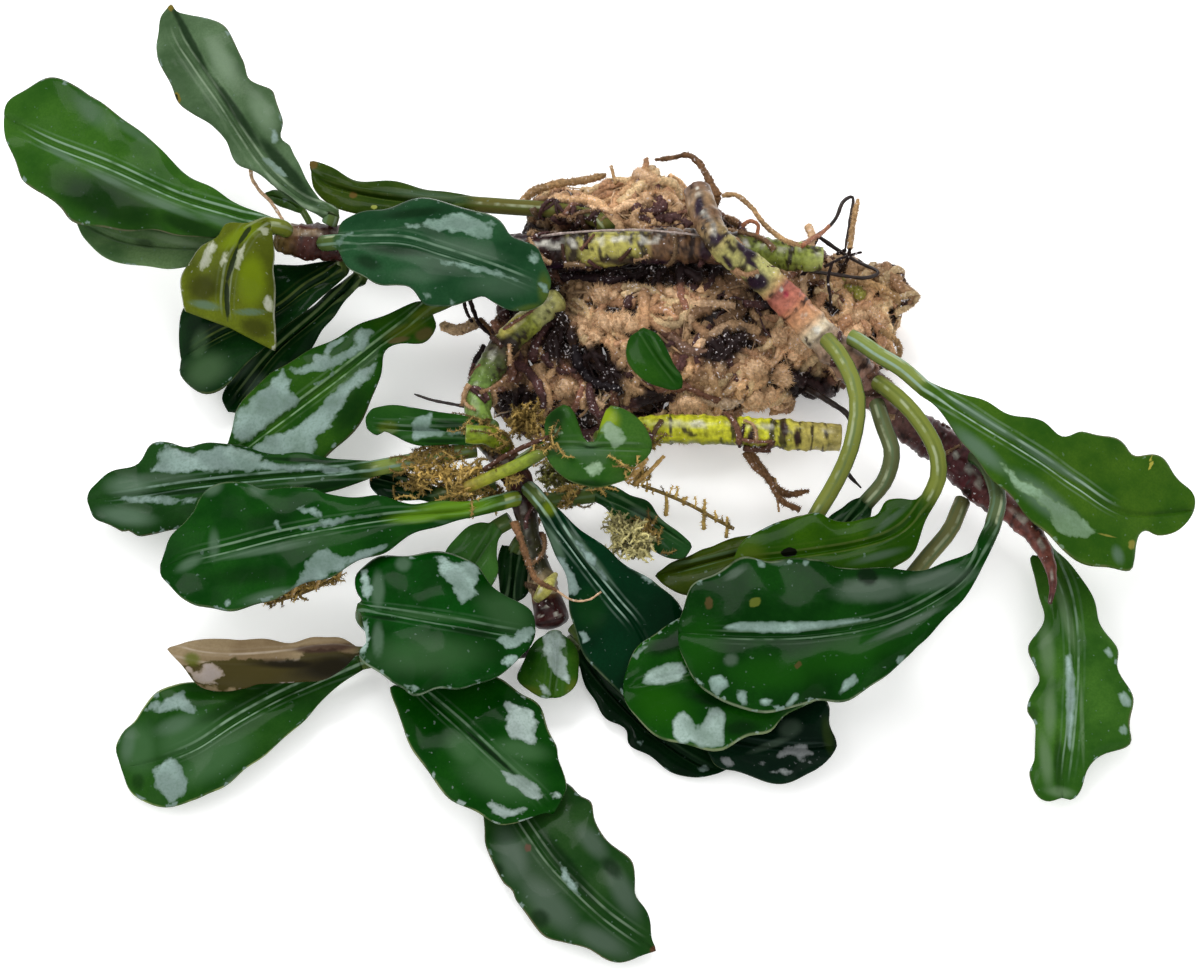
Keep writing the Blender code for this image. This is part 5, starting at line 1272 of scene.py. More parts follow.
        rim_share=0.9, stalk=(0.26, 0.25, 0.1), sheen=(0.32, 0.42, 0.38), ragged=0.3,
        film=[[(641, 683), (645, 674), (655, 667), (668, 662), (683, 662), (687, 672), (680, 680),
               (665, 685), (650, 685)],
              [(671, 722), (677, 713), (684, 711), (692, 718), (697, 730), (703, 720), (710, 708),
               (716, 706), (726, 712), (724, 725), (725, 742), (728, 746), (712, 747), (700, 748),
               (690, 741), (680, 745), (673, 736)],
              [(632, 655), (640, 648), (648, 645), (642, 652), (637, 659)],
              [(667, 622), (672, 617), (676, 620), (670, 625)]],
        zones=[((0.012, 0.095, 0.001), 0.7, 1.0, [(660, 704, 46, 30, 20), (640, 640, 26, 14, -40)]),
               (PAINTED_SHADE, 0.8, 0.9, [(668, 645, 30, 13, -20), (712, 700, 40, 9, 14), (740, 728, 26, 12, 0)])]),
    "leaf_arching": Look(
        scallop=0.28, dark=(0.001, 0.026, 0.001), light=(0.005, 0.055, 0.003), vein=(0.12, 0.2, 0.12),
        vein_share=0.9, rim=(0.24, 0.3, 0.18), rim_share=0.9, sheen=(0.27, 0.38, 0.34), ragged=0.25,
        stalk=(0.12, 0.16, 0.07),
        film=[[(722, 629), (732, 623), (750, 622), (780, 622), (820, 621), (850, 619), (874, 618),
               (860, 622), (830, 627), (800, 632), (770, 633), (740, 631)],
              [(757, 560), (764, 560), (765, 567), (758, 567)],
              [(803, 560), (809, 561), (808, 567), (803, 565)],
              [(868, 565), (875, 564), (872, 569)],
              [(696, 583), (703, 582), (701, 586)],
              [(711, 676), (720, 674), (728, 680), (729, 687), (722, 690), (718, 697), (711, 690),
               (709, 682)],
              [(736, 690), (746, 689), (747, 698), (749, 705), (742, 706), (737, 698)],
              [(758, 700), (765, 698), (774, 699), (773, 704), (765, 706), (759, 704)],
              [(792, 694), (799, 693), (798, 700), (792, 706), (785, 707), (788, 701)],
              [(844, 680), (855, 673), (859, 682), (850, 688), (840, 696), (837, 694), (842, 687)],
              [(897, 656), (905, 655), (906, 661), (900, 665), (896, 662)]],
        zones=[((0.008, 0.075, 0.002), 0.6, 1.0,
                [(702, 650, 34, 44, 0), (840, 655, 90, 26, -15), (775, 672, 70, 26, 0)]),
               (GREY_PAINTED_SHEEN, 0.75, 0.8,
                [(872, 590, 52, 17, -4), (935, 580, 60, 14, -12), (735, 573, 18, 6, -30),
                 (731, 660, 10, 9, 0), (780, 563, 14, 4, 0), (905, 625, 60, 5, -25)]),
               (PAINTED_SHADE, 1.0, 0.5, [(868, 576, 13, 11, 10)]),
               ((0.09, 0.06, 0.02), 0.8, 0.4, [(709, 603, 5, 8, 0), (798, 665, 5, 5, 0)]),
               ((0.12, 0.15, 0.02), 0.9, 0.3, [(755, 602, 8, 5, -20)])]),
    "leaf_olive_arching": Look(
        stalk=(0.27, 0.31, 0.06), dark=(0.012, 0.055, 0.0005), light=(0.032, 0.1, 0.001),
        vein=(0.1, 0.14, 0.03), rim=(0.24, 0.26, 0.1), rim_share=0.9,
        zones=[(GLOW, 0.5, 1.0, [(750, 558, 24, 24, 0)]),
               (GREY_PAINTED_SHEEN, 0.6, 1.0, [(890, 520, 34, 5, -38), (878, 556, 40, 6, -15)]),
               ((0.004, 0.005, 0.002), 1.0, 0.1, [(789, 552, 8, 5, 0)])]),
    "leaf_olive_low": Look(
        stalk=(0.3, 0.34, 0.07), dark=(0.02, 0.05, 0.001), light=(0.06, 0.085, 0.006), rim=(0.26, 0.24, 0.1),
        rim_share=0.9),
    "leaf_short_arching": Look(**SHADED, stalk=(0.17, 0.19, 0.08)),
    "leaf_black_green": Look(
        dark=(0.0008, 0.006, 0.002), light=(0.003, 0.02, 0.005), vein=(0.02, 0.05, 0.02),
        film=[[(697, 769), (704, 766), (708, 770), (702, 775)],
              [(612, 718), (618, 722), (614, 724)],
              [(637, 741), (643, 741), (640, 744)]]),
    "leaf_crumpled": Look(
        dark=(0.001, 0.008, 0.004), light=(0.004, 0.02, 0.008), vein=(0.02, 0.04, 0.03), ruffle=0.55,
        rim=(0.1, 0.13, 0.05), sheen=(0.25, 0.27, 0.27),
        film=[[(778, 757), (783, 749), (797, 744), (807, 746), (813, 753), (806, 758), (811, 763),
               (800, 760), (790, 756)],
              [(757, 763), (766, 762), (768, 766), (760, 766)],
              [(766, 772), (780, 768), (795, 771), (790, 774)],
              [(722, 758), (728, 756), (734, 765), (728, 768)]],
        zones=[(GREY_PAINTED_SHEEN, 0.5, 0.8, [(790, 728, 16, 12, -10), (770, 745, 30, 5, -20)]),
               ((0.03, 0.06, 0.008), 0.6, 0.9, [(828, 735, 8, 26, -10)])]),
    "leaf_far_right": Look(
        dark=(0.022, 0.085, 0.005), light=(0.06, 0.145, 0.01), vein=(0.36, 0.5, 0.38), vein_share=1.0,
        vein_end=0.72, rim=(0.2, 0.2, 0.08), stalk=(0.3, 0.37, 0.09), scallop=0.26, sheen=(0.2, 0.31, 0.2),
        film=[[(1000, 462), (1020, 478), (1042, 487), (1055, 500), (1070, 508), (1085, 520), (1098, 532),
               (1085, 538), (1068, 537), (1055, 528), (1048, 512), (1035, 498), (1015, 488)]],
        zones=[(PAINTED_SHEEN, 0.8, 1.0, [(980, 450, 50, 12, 40), (1045, 500, 60, 17, 38), (1118, 555, 8, 14, -20)]),
               (PAINTED_SHEEN, 0.7, 0.9, [(985, 420, 60, 6, 32), (1050, 462, 60, 6, 33)]),
               ((0.5, 0.45, 0.07), 0.9, 0.3, [(1151, 463, 2.5, 10, 12)]),
               ((0.35, 0.3, 0.06), 0.7, 0.5, [(1105, 534, 14, 2, 18), (1132, 545, 5, 6, 0)])],
        bites=[(1137, 549, 1.8, 0.42)]),
    "leaf_hanging_right": Look(
        scallop=0.3, dark=(0.022, 0.09, 0.008), light=(0.06, 0.17, 0.02), vein=(0.2, 0.32, 0.2),
        vein_share=0.9, rim=(0.22, 0.2, 0.12), sheen=(0.3, 0.41, 0.38), ragged=0.2,
        film=[[(1065, 655), (1071, 654), (1075, 680), (1076, 700), (1073, 730), (1070, 753), (1067, 740),
               (1066, 700)],
              [(1103, 650), (1109, 646), (1113, 655), (1110, 661)],
              [(1117, 694), (1124, 691), (1131, 700), (1132, 708), (1122, 705)],
              [(1117, 729), (1124, 724), (1129, 732), (1124, 737)]],
        # The first zone is a pale painted sheen down the side seen on the left.
        zones=[((0.16, 0.26, 0.13), 0.65, 1.0,
                [(1047, 650, 40, 11, 84), (1050, 715, 36, 9, 92), (1046, 760, 40, 9, 84),
                 (1060, 792, 22, 8, 10), (1066, 615, 50, 8, 76), (1082, 720, 60, 3, 88)]),
               ((0.14, 0.12, 0.08), 0.8, 0.6, [(1100, 778, 9, 16, 20), (1075, 803, 20, 4, 0)]),
               (PAINTED_SHADE, 0.5, 0.8, [(1033, 715, 8, 12, 0), (1058, 760, 6, 40, 0)])]),
    "leaf_on_roots": Look(
        dark=(0.008, 0.055, 0.003), light=(0.022, 0.09, 0.006), vein=(0.05, 0.12, 0.03), groove=0.15,
        rim=(0.28, 0.3, 0.06)),
    "leaf_dead": Look(
        dark=(0.2, 0.14, 0.075), light=(0.34, 0.26, 0.15), vein=(0.5, 0.42, 0.32), rim=(0.26, 0.2, 0.12),
        vein_share=0.5, vein_end=1.0, groove=0.3, sheen=(0.42, 0.36, 0.33),
        film=[[(187, 668), (196, 672), (205, 665), (213, 664), (223, 670), (224, 676), (216, 680),
               (218, 687), (205, 684), (195, 680)]],
        zones=[((0.06, 0.05, 0.012), 0.95, 0.15, [(262, 676, 92, 18, 1), (330, 668, 50, 20, -4)]),
               ((0.012, 0.01, 0.006), 0.9, 0.9, [(335, 668, 60, 20, -4), (290, 664, 60, 7, 2)]),
               ((0.05, 0.025, 0.02), 0.85, 0.7, [(325, 648, 46, 6, -3)]),
               ((0.1, 0.13, 0.01), 0.8, 0.8, [(192, 659, 12, 9, 10)])]),
}

for number, (name, leaf) in enumerate(LEAVES.items()):
    settle(leaf_object(name, leaf, LOOKS[name], number), name)

# The way that turns a strand's first ring, the heights in mm under which hairs point up and at which they
# end at the latest, and the colour of painted glints on small water droplets
STRAND_UPWARD = (0.3, 0.2, 1.0)
NEAR_FLOOR = 1.2
LOWEST_HAIR = 0.05
GLINT_WHITE = (0.6, 0.56, 0.57)


def frames(path, upward):
    """For each point of a path, the way ahead and two ways square to it, which don't twist."""
    ahead = np.gradient(path, axis=0)
    ahead /= np.maximum(np.linalg.norm(ahead, axis=1), TINY)[:, None]
    side, found = np.cross(ahead[0], upward), []
    for way in ahead:
        side = side - way * (side @ way)
        side = side / max(np.linalg.norm(side), TINY)
        found.append((way, side, np.cross(way, side)))
    return found


def turns(sides):
    """The angles of the corners of a ring with this many sides."""
    return 2 * math.pi * np.arange(sides) / sides


def circle(side, other, sides):
    """The ways out to the corners of a ring that two ways square to each other span."""
    return np.cos(turns(sides))[:, None] * side + np.sin(turns(sides))[:, None] * other


def tubes(name, lines, sides):
    """One object of round strands. Each line is (points in mm, radius at each one, colour at each one)."""
    points, shades, faces, first = [], [], [], 0
    for path, radii, colours in lines:
        ways = frames(path, STRAND_UPWARD)
        for middle, (_, side, other), radius, colour in zip(path, ways, radii, colours):
            points.append(middle + circle(side, other, sides) * radius)
            shades.append(np.tile(colour, (sides, 1)))
        faces += ring_faces(len(path), sides, first)
        faces.append([first + i for i in range(sides)][::-1])
        first += sides * len(path)
        faces.append([first - sides + i for i in range(sides)])
    return smooth_mesh(name, np.vstack(points), faces, np.vstack(shades))


def at_lengths(values, reached, where):
    """Rows of values, known at the lengths reached, at other lengths along the same line."""
    return np.column_stack([np.interp(where, reached, column) for column in np.transpose(values)])


def hairs(name, lines, spacing, length, width, colour, seed):
    """Short stiff hairs, one thin triangle each, that stand out all round the given lines."""
    rng = np.random.default_rng(seed)
    points, shades = [], []
    for path, radii, colours in lines:
        reached = travelled(path)
        count = int(reached[-1] / spacing)
        where = rng.uniform(0, reached[-1], count)
        middle = at_lengths(path, reached, where)
        ahead = at_lengths(path, reached, where + 0.1) - middle
        ahead /= np.maximum(np.linalg.norm(ahead, axis=1), TINY)[:, None]
        radius = np.interp(where, reached, radii)[:, None]
        shade = at_lengths(colours, reached, where)
        out = rng.normal(size=(count, 3))
        out -= ahead * (out * ahead).sum(1)[:, None]
        out /= np.maximum(np.linalg.norm(out, axis=1), TINY)[:, None]
        out[:, 2] = np.where(middle[:, 2] < NEAR_FLOOR, np.abs(out[:, 2]), out[:, 2])
        lean = out + ahead * rng.uniform(-0.5, 0.7, (count, 1)) + rng.normal(size=(count, 3)) * 0.15
        reach = length * rng.uniform(0.5, 1.15, (count, 1))
        base = middle + out * radius * 0.85
        aside = ahead * width / 2
        points.append(np.stack([base - aside, base + aside, base + lean * reach], 1).reshape(-1, 3))
        # Hairs on dark roots stay dark, so painted shade on a root carries over to its fuzz.
        lit = np.minimum(1, shade.mean(1, keepdims=True) / 0.2)
        bright = shade * 0.6 + np.array(colour) * 0.45 * lit * rng.uniform(0.6, 1.2, (count, 1))
        shades.append(np.repeat(bright, 3, axis=0))
    points, shades = np.vstack(points), np.vstack(shades)
    points[:, 2] = np.maximum(points[:, 2], LOWEST_HAIR)
    return smooth_mesh(name, points, np.arange(len(points)).reshape(-1, 3).tolist(), shades)


def shaded(name, roughness, grain, depth, coat=0.0, specular=0.3, glints=0.0, tone=1.0):
    """A material that takes its colour from the mesh, with mottling of this grain and bumps in mm.

    glints is how much of it is painted white, as glints on small water droplets.
    """
    face = Surface(name, roughness, coat=coat, specular=specular)
    mottle = face.step(face.noise(grain, 4, 0.6), 0.3, 0.7, 0.62 * tone, 1.3 * tone)
    tint = face.node("ShaderNodeVectorMath", operation="SCALE")
    face.give(face.attribute("shade", "Color"), tint.inputs[0])
    face.give(mottle, tint.inputs["Scale"])
    tinted = tint.outputs["Vector"]
    if glints:
        # Painted glints.
        glint_spots = face.step(face.noise(0.4, 3, 0.55), 0.78 - glints, 0.81 - glints)
        patchy = face.step(face.noise(5.0, 2), 0.38, 0.55)
        tinted = face.mix(face.product(glint_spots, patchy), tinted, GLINT_WHITE)
    face.colour(tinted)
    if depth:
        face.bump(face.noise(grain * 0.8, 4, 0.6), depth)
    return face.material


def blend(stops, fractions):
    """Colours at these fractions of the way along colour stops: (fraction, colour) in order."""
    at = [stop[0] for stop in stops]
    return np.column_stack([np.interp(fractions, at, [stop[1][i] for stop in stops]) for i in range(3)])


LIME, PALE_GREEN, OLIVE_GREEN = (0.6, 0.6, 0.03), (0.36, 0.4, 0.12), (0.12, 0.17, 0.025)
BARK, PURPLE, DIRT = (0.15, 0.08, 0.04), (0.075, 0.025, 0.025), (0.018, 0.009, 0.008)
CREAM = (0.5, 0.4, 0.27)

# The way that a stem's painted highlight faces, the white of its painted highlights, and the near-black
# colours of its wet parts; the purple black also stands for painted shade under a stem
LIT_SIDE = (-0.2, -0.1, 0.97)
PAINTED_HIGHLIGHT = (0.62, 0.6, 0.52)
PURPLE_BLACK_AND_SHADE, RED_BLACK = (0.02, 0.008, 0.02), (0.05, 0.012, 0.012)


class StemLook:
    """How a stem looks along its way, whose ends are at 0 and 1.

    stops are (fraction, colour) and dirt is (fraction, share of it that is dirty). bands are its dark bands:
    (fraction, half width in mm). marks are (colour, strength, ellipses as seen); some of them are painted
    highlights and painted shade. spacing is the distance between its rings in mm, gleam is how much painted
    highlight its upper side has, and cuts are the colours of its ends where they are cut.
    """

    def __init__(self, stops, dirt, spacing, gleam, bands=(), marks=(), cuts=(None, None)):
        self.stops, self.dirt, self.spacing, self.gleam = stops, dirt, spacing, gleam
        self.bands, self.marks, self.cuts = bands, marks, cuts


STEM_LOOKS = {
    "rhizome_upper": StemLook(
        stops=[(0, PALE_GREEN), (0.04, (0.25, 0.3, 0.05)), (0.13, (0.18, 0.22, 0.04)), (0.17, PURPLE),
               (0.22, BARK), (0.31, BARK), (0.34, (0.42, 0.38, 0.09)), (0.43, (0.46, 0.42, 0.1)),
               (0.47, DIRT), (0.62, PURPLE), (0.72, DIRT), (0.84, PURPLE), (0.9, (0.05, 0.014, 0.012)),
               (0.965, (0.07, 0.022, 0.016)), (0.985, (0.15, 0.085, 0.03)), (1, (0.2, 0.135, 0.045))],
        dirt=[(0, 0.35), (0.3, 0.5), (0.38, 0.3), (0.5, 0.6), (0.8, 0.5), (0.88, 0.0), (1, 0.0)],
        bands=[(0.06, 0.3), (0.17, 0.8), (0.24, 0.3), (0.33, 0.3), (0.45, 0.5)],
        # The long near-black marks along the lower edge are painted shade under the stem, the others its own
        # dark patches; the pale line on the upper edge is a painted highlight.
        marks=[(PURPLE_BLACK_AND_SHADE, 0.9,
                [(706, 250, 9, 16, 10), (640, 262, 60, 6, 2), (560, 268, 50, 8, 0), (528, 250, 14, 18, 0)]),
               ((0.36, 0.24, 0.13), 0.8, [(300, 232, 30, 4, 2)])],
        spacing=2.0, gleam=0.8, cuts=(PALE_GREEN, None)),
    "rhizome_right": StemLook(
        stops=[(0, (0.16, 0.09, 0.06)), (0.03, (0.3, 0.19, 0.1)), (0.06, (0.2, 0.11, 0.06)),
               (0.09, (0.34, 0.24, 0.11)), (0.12, (0.4, 0.37, 0.12)), (0.2, (0.56, 0.54, 0.2)),
               (0.226, (0.46, 0.3, 0.13)), (0.238, (0.38, 0.12, 0.09)), (0.27, (0.5, 0.17, 0.11)),
               # The pale stop at 0.335 is partly the node's pale skin and partly a painted highlight.
               (0.285, (0.55, 0.24, 0.12)), (0.315, (0.6, 0.33, 0.17)), (0.335, (0.7, 0.6, 0.42)),
               (0.36, (0.36, 0.25, 0.17)), (0.42, (0.26, 0.15, 0.1)), (0.52, (0.24, 0.12, 0.1)),
               (0.6, PURPLE), (0.72, (0.08, 0.018, 0.022)), (0.82, (0.17, 0.055, 0.045)),
               (0.92, (0.24, 0.08, 0.06)), (1, PURPLE)],
        dirt=[(0, 0.3), (0.1, 0.35), (0.16, 0.1), (0.23, 0.0), (0.36, 0.0), (0.42, 0.2), (0.6, 0.35),
              (1, 0.15)],
        bands=[(0.1, 0.25), (0.155, 0.3), (0.283, 0.12), (0.44, 0.3)],
        marks=[(PURPLE_BLACK_AND_SHADE, 1.0,
                [(757, 281, 17, 13, 10), (746, 250, 18, 9, 40), (716, 238, 10, 8, 0), (699, 206, 6, 14, 10),
                 (752, 264, 10, 4, 40), (728, 262, 12, 4, 50)]),
               ((0.32, 0.015, 0.05), 0.9, [(786, 294, 4, 5, 0)]),
               # Painted highlights.
               (PAINTED_HIGHLIGHT, 0.9,
                [(757, 276, 2.4, 2, 0), (781, 290, 3, 2, 40), (804, 315, 4, 2, 30), (697, 188, 3, 1.6, 0),
                 (703, 212, 2.2, 2, 0), (817, 330, 6, 4, 45), (893, 405, 9, 2, 45), (930, 433, 8, 1.8, 40),
                 (955, 455, 6, 1.6, 45)])],
        spacing=1.9, gleam=0.6,
        cuts=((0.06, 0.03, 0.025), None)),
    "rhizome_front": StemLook(
        stops=[(0, OLIVE_GREEN), (0.12, (0.34, 0.4, 0.04)), (0.25, LIME), (0.7, LIME),
               (0.85, (0.5, 0.42, 0.1)), (1, (0.48, 0.4, 0.12))],
        dirt=[(0, 0.12), (0.5, 0.05), (1, 0.05)],
        bands=[(0.3, 0.1), (0.56, 0.34), (0.715, 0.4), (0.76, 0.35), (0.83, 0.08), (0.88, 0.08),
               (0.93, 0.07)],
        # The dull green mark along the lower edge is painted shade.
        marks=[((0.12, 0.13, 0.01), 0.7, [(700, 444, 110, 5, 1)]),
               ((0.035, 0.014, 0.01), 1.0,
                [(752, 435, 6, 13, 25), (785, 429, 5, 11, -8), (797, 438, 4, 13, 0),
                 (770, 447, 14, 3.5, 0)]),
               # Painted highlights on the upper side.
               ((0.7, 0.7, 0.4), 0.6, [(680, 424, 40, 3, 0), (755, 427, 22, 2.4, 0)])],
        spacing=1.8, gleam=0.7, cuts=(None, CREAM)),
    "rhizome_left": StemLook(
        stops=[(0, (0.4, 0.38, 0.12)), (0.07, (0.5, 0.5, 0.2)), (0.1, (0.3, 0.33, 0.05)),
               (0.16, (0.12, 0.12, 0.03)), (0.22, (0.06, 0.05, 0.03)), (0.28, (0.1, 0.15, 0.03)),
               (0.34, (0.15, 0.26, 0.05)), (0.44, (0.17, 0.26, 0.04)), (0.52, BARK),
               (0.58, (0.05, 0.018, 0.014)), (0.68, (0.045, 0.014, 0.012)), (0.74, (0.03, 0.03, 0.012)),
               (0.86, (0.03, 0.03, 0.012)), (0.9, (0.42, 0.32, 0.18)), (0.935, (0.2, 0.1, 0.04)),
               (0.95, RED_BLACK), (1, RED_BLACK)],
        dirt=[(0, 0.1), (0.12, 0.1), (0.2, 0.5), (0.3, 0.1), (0.42, 0.15), (0.5, 0.5), (0.85, 0.4),
              (0.9, 0.1), (1, 0.1)],
        bands=[(0.19, 0.9), (0.5, 0.5)],
        marks=[((0.74, 0.66, 0.16), 1.0, [(511, 320, 26, 12, -50)]),
               # Painted highlights.
               ((0.9, 0.88, 0.5), 1.0, [(528, 307, 14, 5, -38), (500, 326, 6, 3, -50)]),
               ((0.3, 0.45, 0.14), 0.6, [(474, 402, 4, 20, 5)]),
               ((0.62, 0.52, 0.3), 0.85, [(541, 585, 10, 3, -25), (553, 592, 8, 2.5, -10)]),
               # Painted glints.
               (PAINTED_HIGHLIGHT, 0.8,
                [(548, 606, 6, 2.2, -20), (557, 614, 5, 2, 30), (541, 616, 3, 1.6, 0),
                 (553, 624, 4, 1.6, 0)])],
        spacing=5.0, gleam=0.35),
    "rhizome_low": StemLook(stops=[(0, DIRT), (1, DIRT)], dirt=[(0, 0.3), (1, 0.3)], spacing=2.0, gleam=0.2),
    "stalk_cut": StemLook(
        stops=[(0, (0.2, 0.28, 0.016)), (1, (0.17, 0.22, 0.012))],
        dirt=[(0, 0.05), (1, 0.05)],
        spacing=9.0, gleam=0.5, cuts=(PALE_GREEN, None)),
    "bud_young": StemLook(
        stops=[(0, (0.25, 0.24, 0.06)), (0.5, (0.5, 0.46, 0.1)), (1, (0.5, 0.46, 0.16))],
        dirt=[(0, 0.05), (1, 0.05)],
        spacing=9.0, gleam=0.8),
}

STEM_SIDES = 30
STEM_ROWS_PER_MM = 5
# The rings that close an end: their share of the stem's width, and how far they stand out where it is cut.
# The first of them is darker by a share.
CUT_PROFILE = ((0.97, 0.02), (0.8, 0.05), (0.4, 0.0), (0.02, -0.05))
CUT_RIM_SHADE = 0.55


def ringed(ring, fraction, rings, tilts, length, seed):
    """How far a stem swells at its rings, and how dark it is beside them, round one row of points."""
    uneven, angles = ripple(ring, 1.5, seed + 9), turns(STEM_SIDES)
    swell, dark = np.zeros(STEM_SIDES), np.zeros(STEM_SIDES)
    for at, tilt in zip(rings, tilts):
        gap = (fraction - at) * length + tilt[0] * np.cos(angles) + tilt[1] * np.sin(angles)
        swell += 1.3 * bell(gap, 0, 0.3) - 0.7 * bell(gap, 0.4, 0.2)
        dark += 0.5 * bell(gap, 0.4, 0.14) * ramp(uneven, -0.3, 0.5)
    return swell, dark


def stained(ring, fraction, look, length, seed):
    """How dark the bands and the dirt make one row of points."""
    uneven, dark = ripple(ring, 1.5, seed + 9), np.zeros(STEM_SIDES)
    for at, width in look.bands:
        gap = np.abs(fraction - at) * length + 0.22 * uneven
        dark += 1 - ramp(gap, width * 0.75, width * 1.2 + 0.05)
    spread = ripple(ring, 2.6, seed + 50) + 0.6 * ripple(ring, 1.0, seed + 60)
    grime = np.interp(fraction, *zip(*look.dirt))
    return dark + 0.9 * ramp(spread, 1.1 - 1.9 * grime, 1.7 - 1.9 * grime)


def stem_end(ring, shades, middle, way, radius, cut):
    """Smaller and smaller rings that close an end: flat in the cut's colour, or round without a cut."""
    tint = np.array(cut or shades.mean(0))
    points, tints = [], []
    for share, rise in CUT_PROFILE:
        if cut is None:
            rise = radius * 0.5 * math.sqrt(1 - share**2)
        points.append(middle + (ring - middle) * share + way * rise)
        tints.append(np.tile(tint * (CUT_RIM_SHADE if not tints else 1.0), (STEM_SIDES, 1)))
    return points, tints


def stem_object(name, seed):
    """A stem with uneven rings, dark bands and scars, dirt, marks, a painted highlight on its upper side
    and, where it was cut, a flat end.
    """
    look = STEM_LOOKS[name]
    length = travelled(stem_axis(name)[0])[-1]
    count = round(length * STEM_ROWS_PER_MM)
    middle, radii = stem_axis(name, count)
    fractions = np.linspace(0, 1, count)
    rng = np.random.default_rng(seed)
    rings = np.cumsum(rng.uniform(0.6, 1.4, int(length / look.spacing)) * look.spacing) / length
    tilts = rng.uniform(-0.35, 0.35, (max(len(rings), 1), 2))
    ways, base = frames(middle, (0, 0, 1.0)), blend(look.stops, fractions)
    points, shades = [], []
    for i, (_, side, other) in enumerate(ways):
        out = circle(side, other, STEM_SIDES)
        ring = middle[i] + out * radii[i]
        swell, dark = ringed(ring, fractions[i], rings, tilts, length, seed)
        dark += stained(ring, fractions[i], look, length, seed)
        stain = np.clip(dark, 0, 0.92)[:, None]
        scars = 0.07 * stain[:, 0] * ripple(ring, 0.8, seed + 3)
        bumps = 0.05 * swell + 0.07 * ripple(ring, 2.2, seed) + scars
        points.append(ring + out * (radii[i] * bumps)[:, None])
        shade = base[i] * (1 - stain) + np.array(DIRT) * stain
        for colour, strength, shapes in look.marks:
            shade += (np.array(colour) - shade) * (strength * ramp(blobs(ring, shapes), 0, 0.5))[:, None]
        # A painted highlight, broken up, where the stem faces up towards the lamps.
        lit = ramp(out @ np.array(LIT_SIDE), 0.9, 0.985)
        wet = lit * ramp(ripple(ring, 2.4, seed + 70), 0.0, 0.8) * look.gleam
        shades.append(shade + (np.array(PAINTED_HIGHLIGHT) - shade) * wet[:, None])
    start, start_tints = stem_end(points[0], shades[0], middle[0], -ways[0][0], radii[0], look.cuts[0])
    end, end_tints = stem_end(points[-1], shades[-1], middle[-1], ways[-1][0], radii[-1], look.cuts[1])
    points = np.array([*start[::-1], *points, *end])
    shades = np.array([*start_tints[::-1], *shades, *end_tints])
    last = (len(points) - 1) * STEM_SIDES
    faces = ring_faces(len(points), STEM_SIDES)
    faces += [list(range(STEM_SIDES))[::-1], [last + i for i in range(STEM_SIDES)]]
    return smooth_mesh(name + "_skin", points.reshape(-1, 3), faces, shades.reshape(-1, 3))


stem_material = shaded("stem_skin", 0.3, 0.9, 0.07, coat=0.08, specular=0.12, glints=0.1, tone=0.76)
for number, name in enumerate(STEMS):
    dressed(stem_object(name, number + 100), stem_material, name)


# A skin whose normal points down more than this faces the floor, and a root stops where it moves on by less
# than this share of a step
FACES_FLOOR = -0.4
STUCK_SHARE = 0.4


class Skin:
    """The surface of a CAD node, in mm, to lay roots and moss on."""

    def __init__(self, node):
        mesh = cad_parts[node].data
        mesh.calc_loop_triangles()
        self.points = np.array([vertex.co for vertex in mesh.vertices]) / MM
        self.faces = np.array([triangle.vertices for triangle in mesh.loop_triangles])
        self.tree = BVHTree.FromPolygons(self.points.tolist(), self.faces.tolist())
        corners = self.points[self.faces]
        cross = np.cross(corners[:, 1] - corners[:, 0], corners[:, 2] - corners[:, 0])
        self.areas = np.linalg.norm(cross, axis=1) / 2
        self.normals = cross / np.maximum(self.areas, TINY)[:, None] / 2

    def pick(self, rng, count):
        """Random places on the skin that don't face the floor."""
        weights = self.areas * (self.normals[:, 2] > FACES_FLOOR)
        chosen = rng.choice(len(self.faces), count, p=weights / weights.sum())
        shares = rng.dirichlet((1, 1, 1), count)
        return (self.points[self.faces[chosen]] * shares[..., None]).sum(1)

    def nearest(self, point):
        """The place on the skin nearest to a point, and the way out of the skin there."""
        place, normal = self.tree.find_nearest(Vector(point))[:2]
        return np.array(place), np.array(normal)

    def under(self, places, lift):
        """Points this far over the skin that are seen at these (x, y) places, where there is skin."""
        found = []
        for x, y in places:
            far, near = spots([(x, y, 0.0), (x, y, 2 * TOP_LEVEL)])
            hit, normal = self.tree.ray_cast(Vector(near), Vector(far - near))[:2]
            if hit:
                found.append(np.array(hit) + np.array(normal) * lift)
        return np.array(found)


def smoothed(path, rounds):
    """The path with its corners worn down, round by round."""
    soft = path.copy()
    for _ in range(rounds):
        soft[1:-1] = (soft[:-2] + 2 * soft[1:-1] + soft[2:]) / 4
    return soft


def root_walk(skin, rng, start, offset, steps, step):
    """A root that wanders over the skin, this far outside it."""
    place, normal = skin.nearest(start)
    way = np.cross(normal, rng.normal(size=3))
    way /= np.linalg.norm(way)
    bend = rng.normal() * 0.12
    path = []
    for _ in range(steps):
        path.append(place + normal * offset)
        bend = 0.85 * bend + rng.normal() * 0.07
        way = way + np.cross(normal, way) * bend
        way /= np.linalg.norm(way)
        following, new_normal = skin.nearest(place + way * step)
        moved = following - place
        if np.linalg.norm(moved) < step * STUCK_SHARE:
            break
        way = moved / np.linalg.norm(moved)
        normal = normal * 0.6 + new_normal * 0.4
        normal /= np.linalg.norm(normal)
        place = following
    return smoothed(np.array(path), 3)


def kept_between(path, low, high):
    """The path with its heights kept between two levels."""
    return np.column_stack([path[:, :2], np.clip(path[:, 2], low, high)])


def bundle(lines, radius, ends, colour):
    """Lines as tubes() takes them: the radius tapers to ends times itself."""
    return [(path, np.linspace(radius, radius * ends, len(path)), np.tile(colour, (len(path), 1)))
            for path in lines]


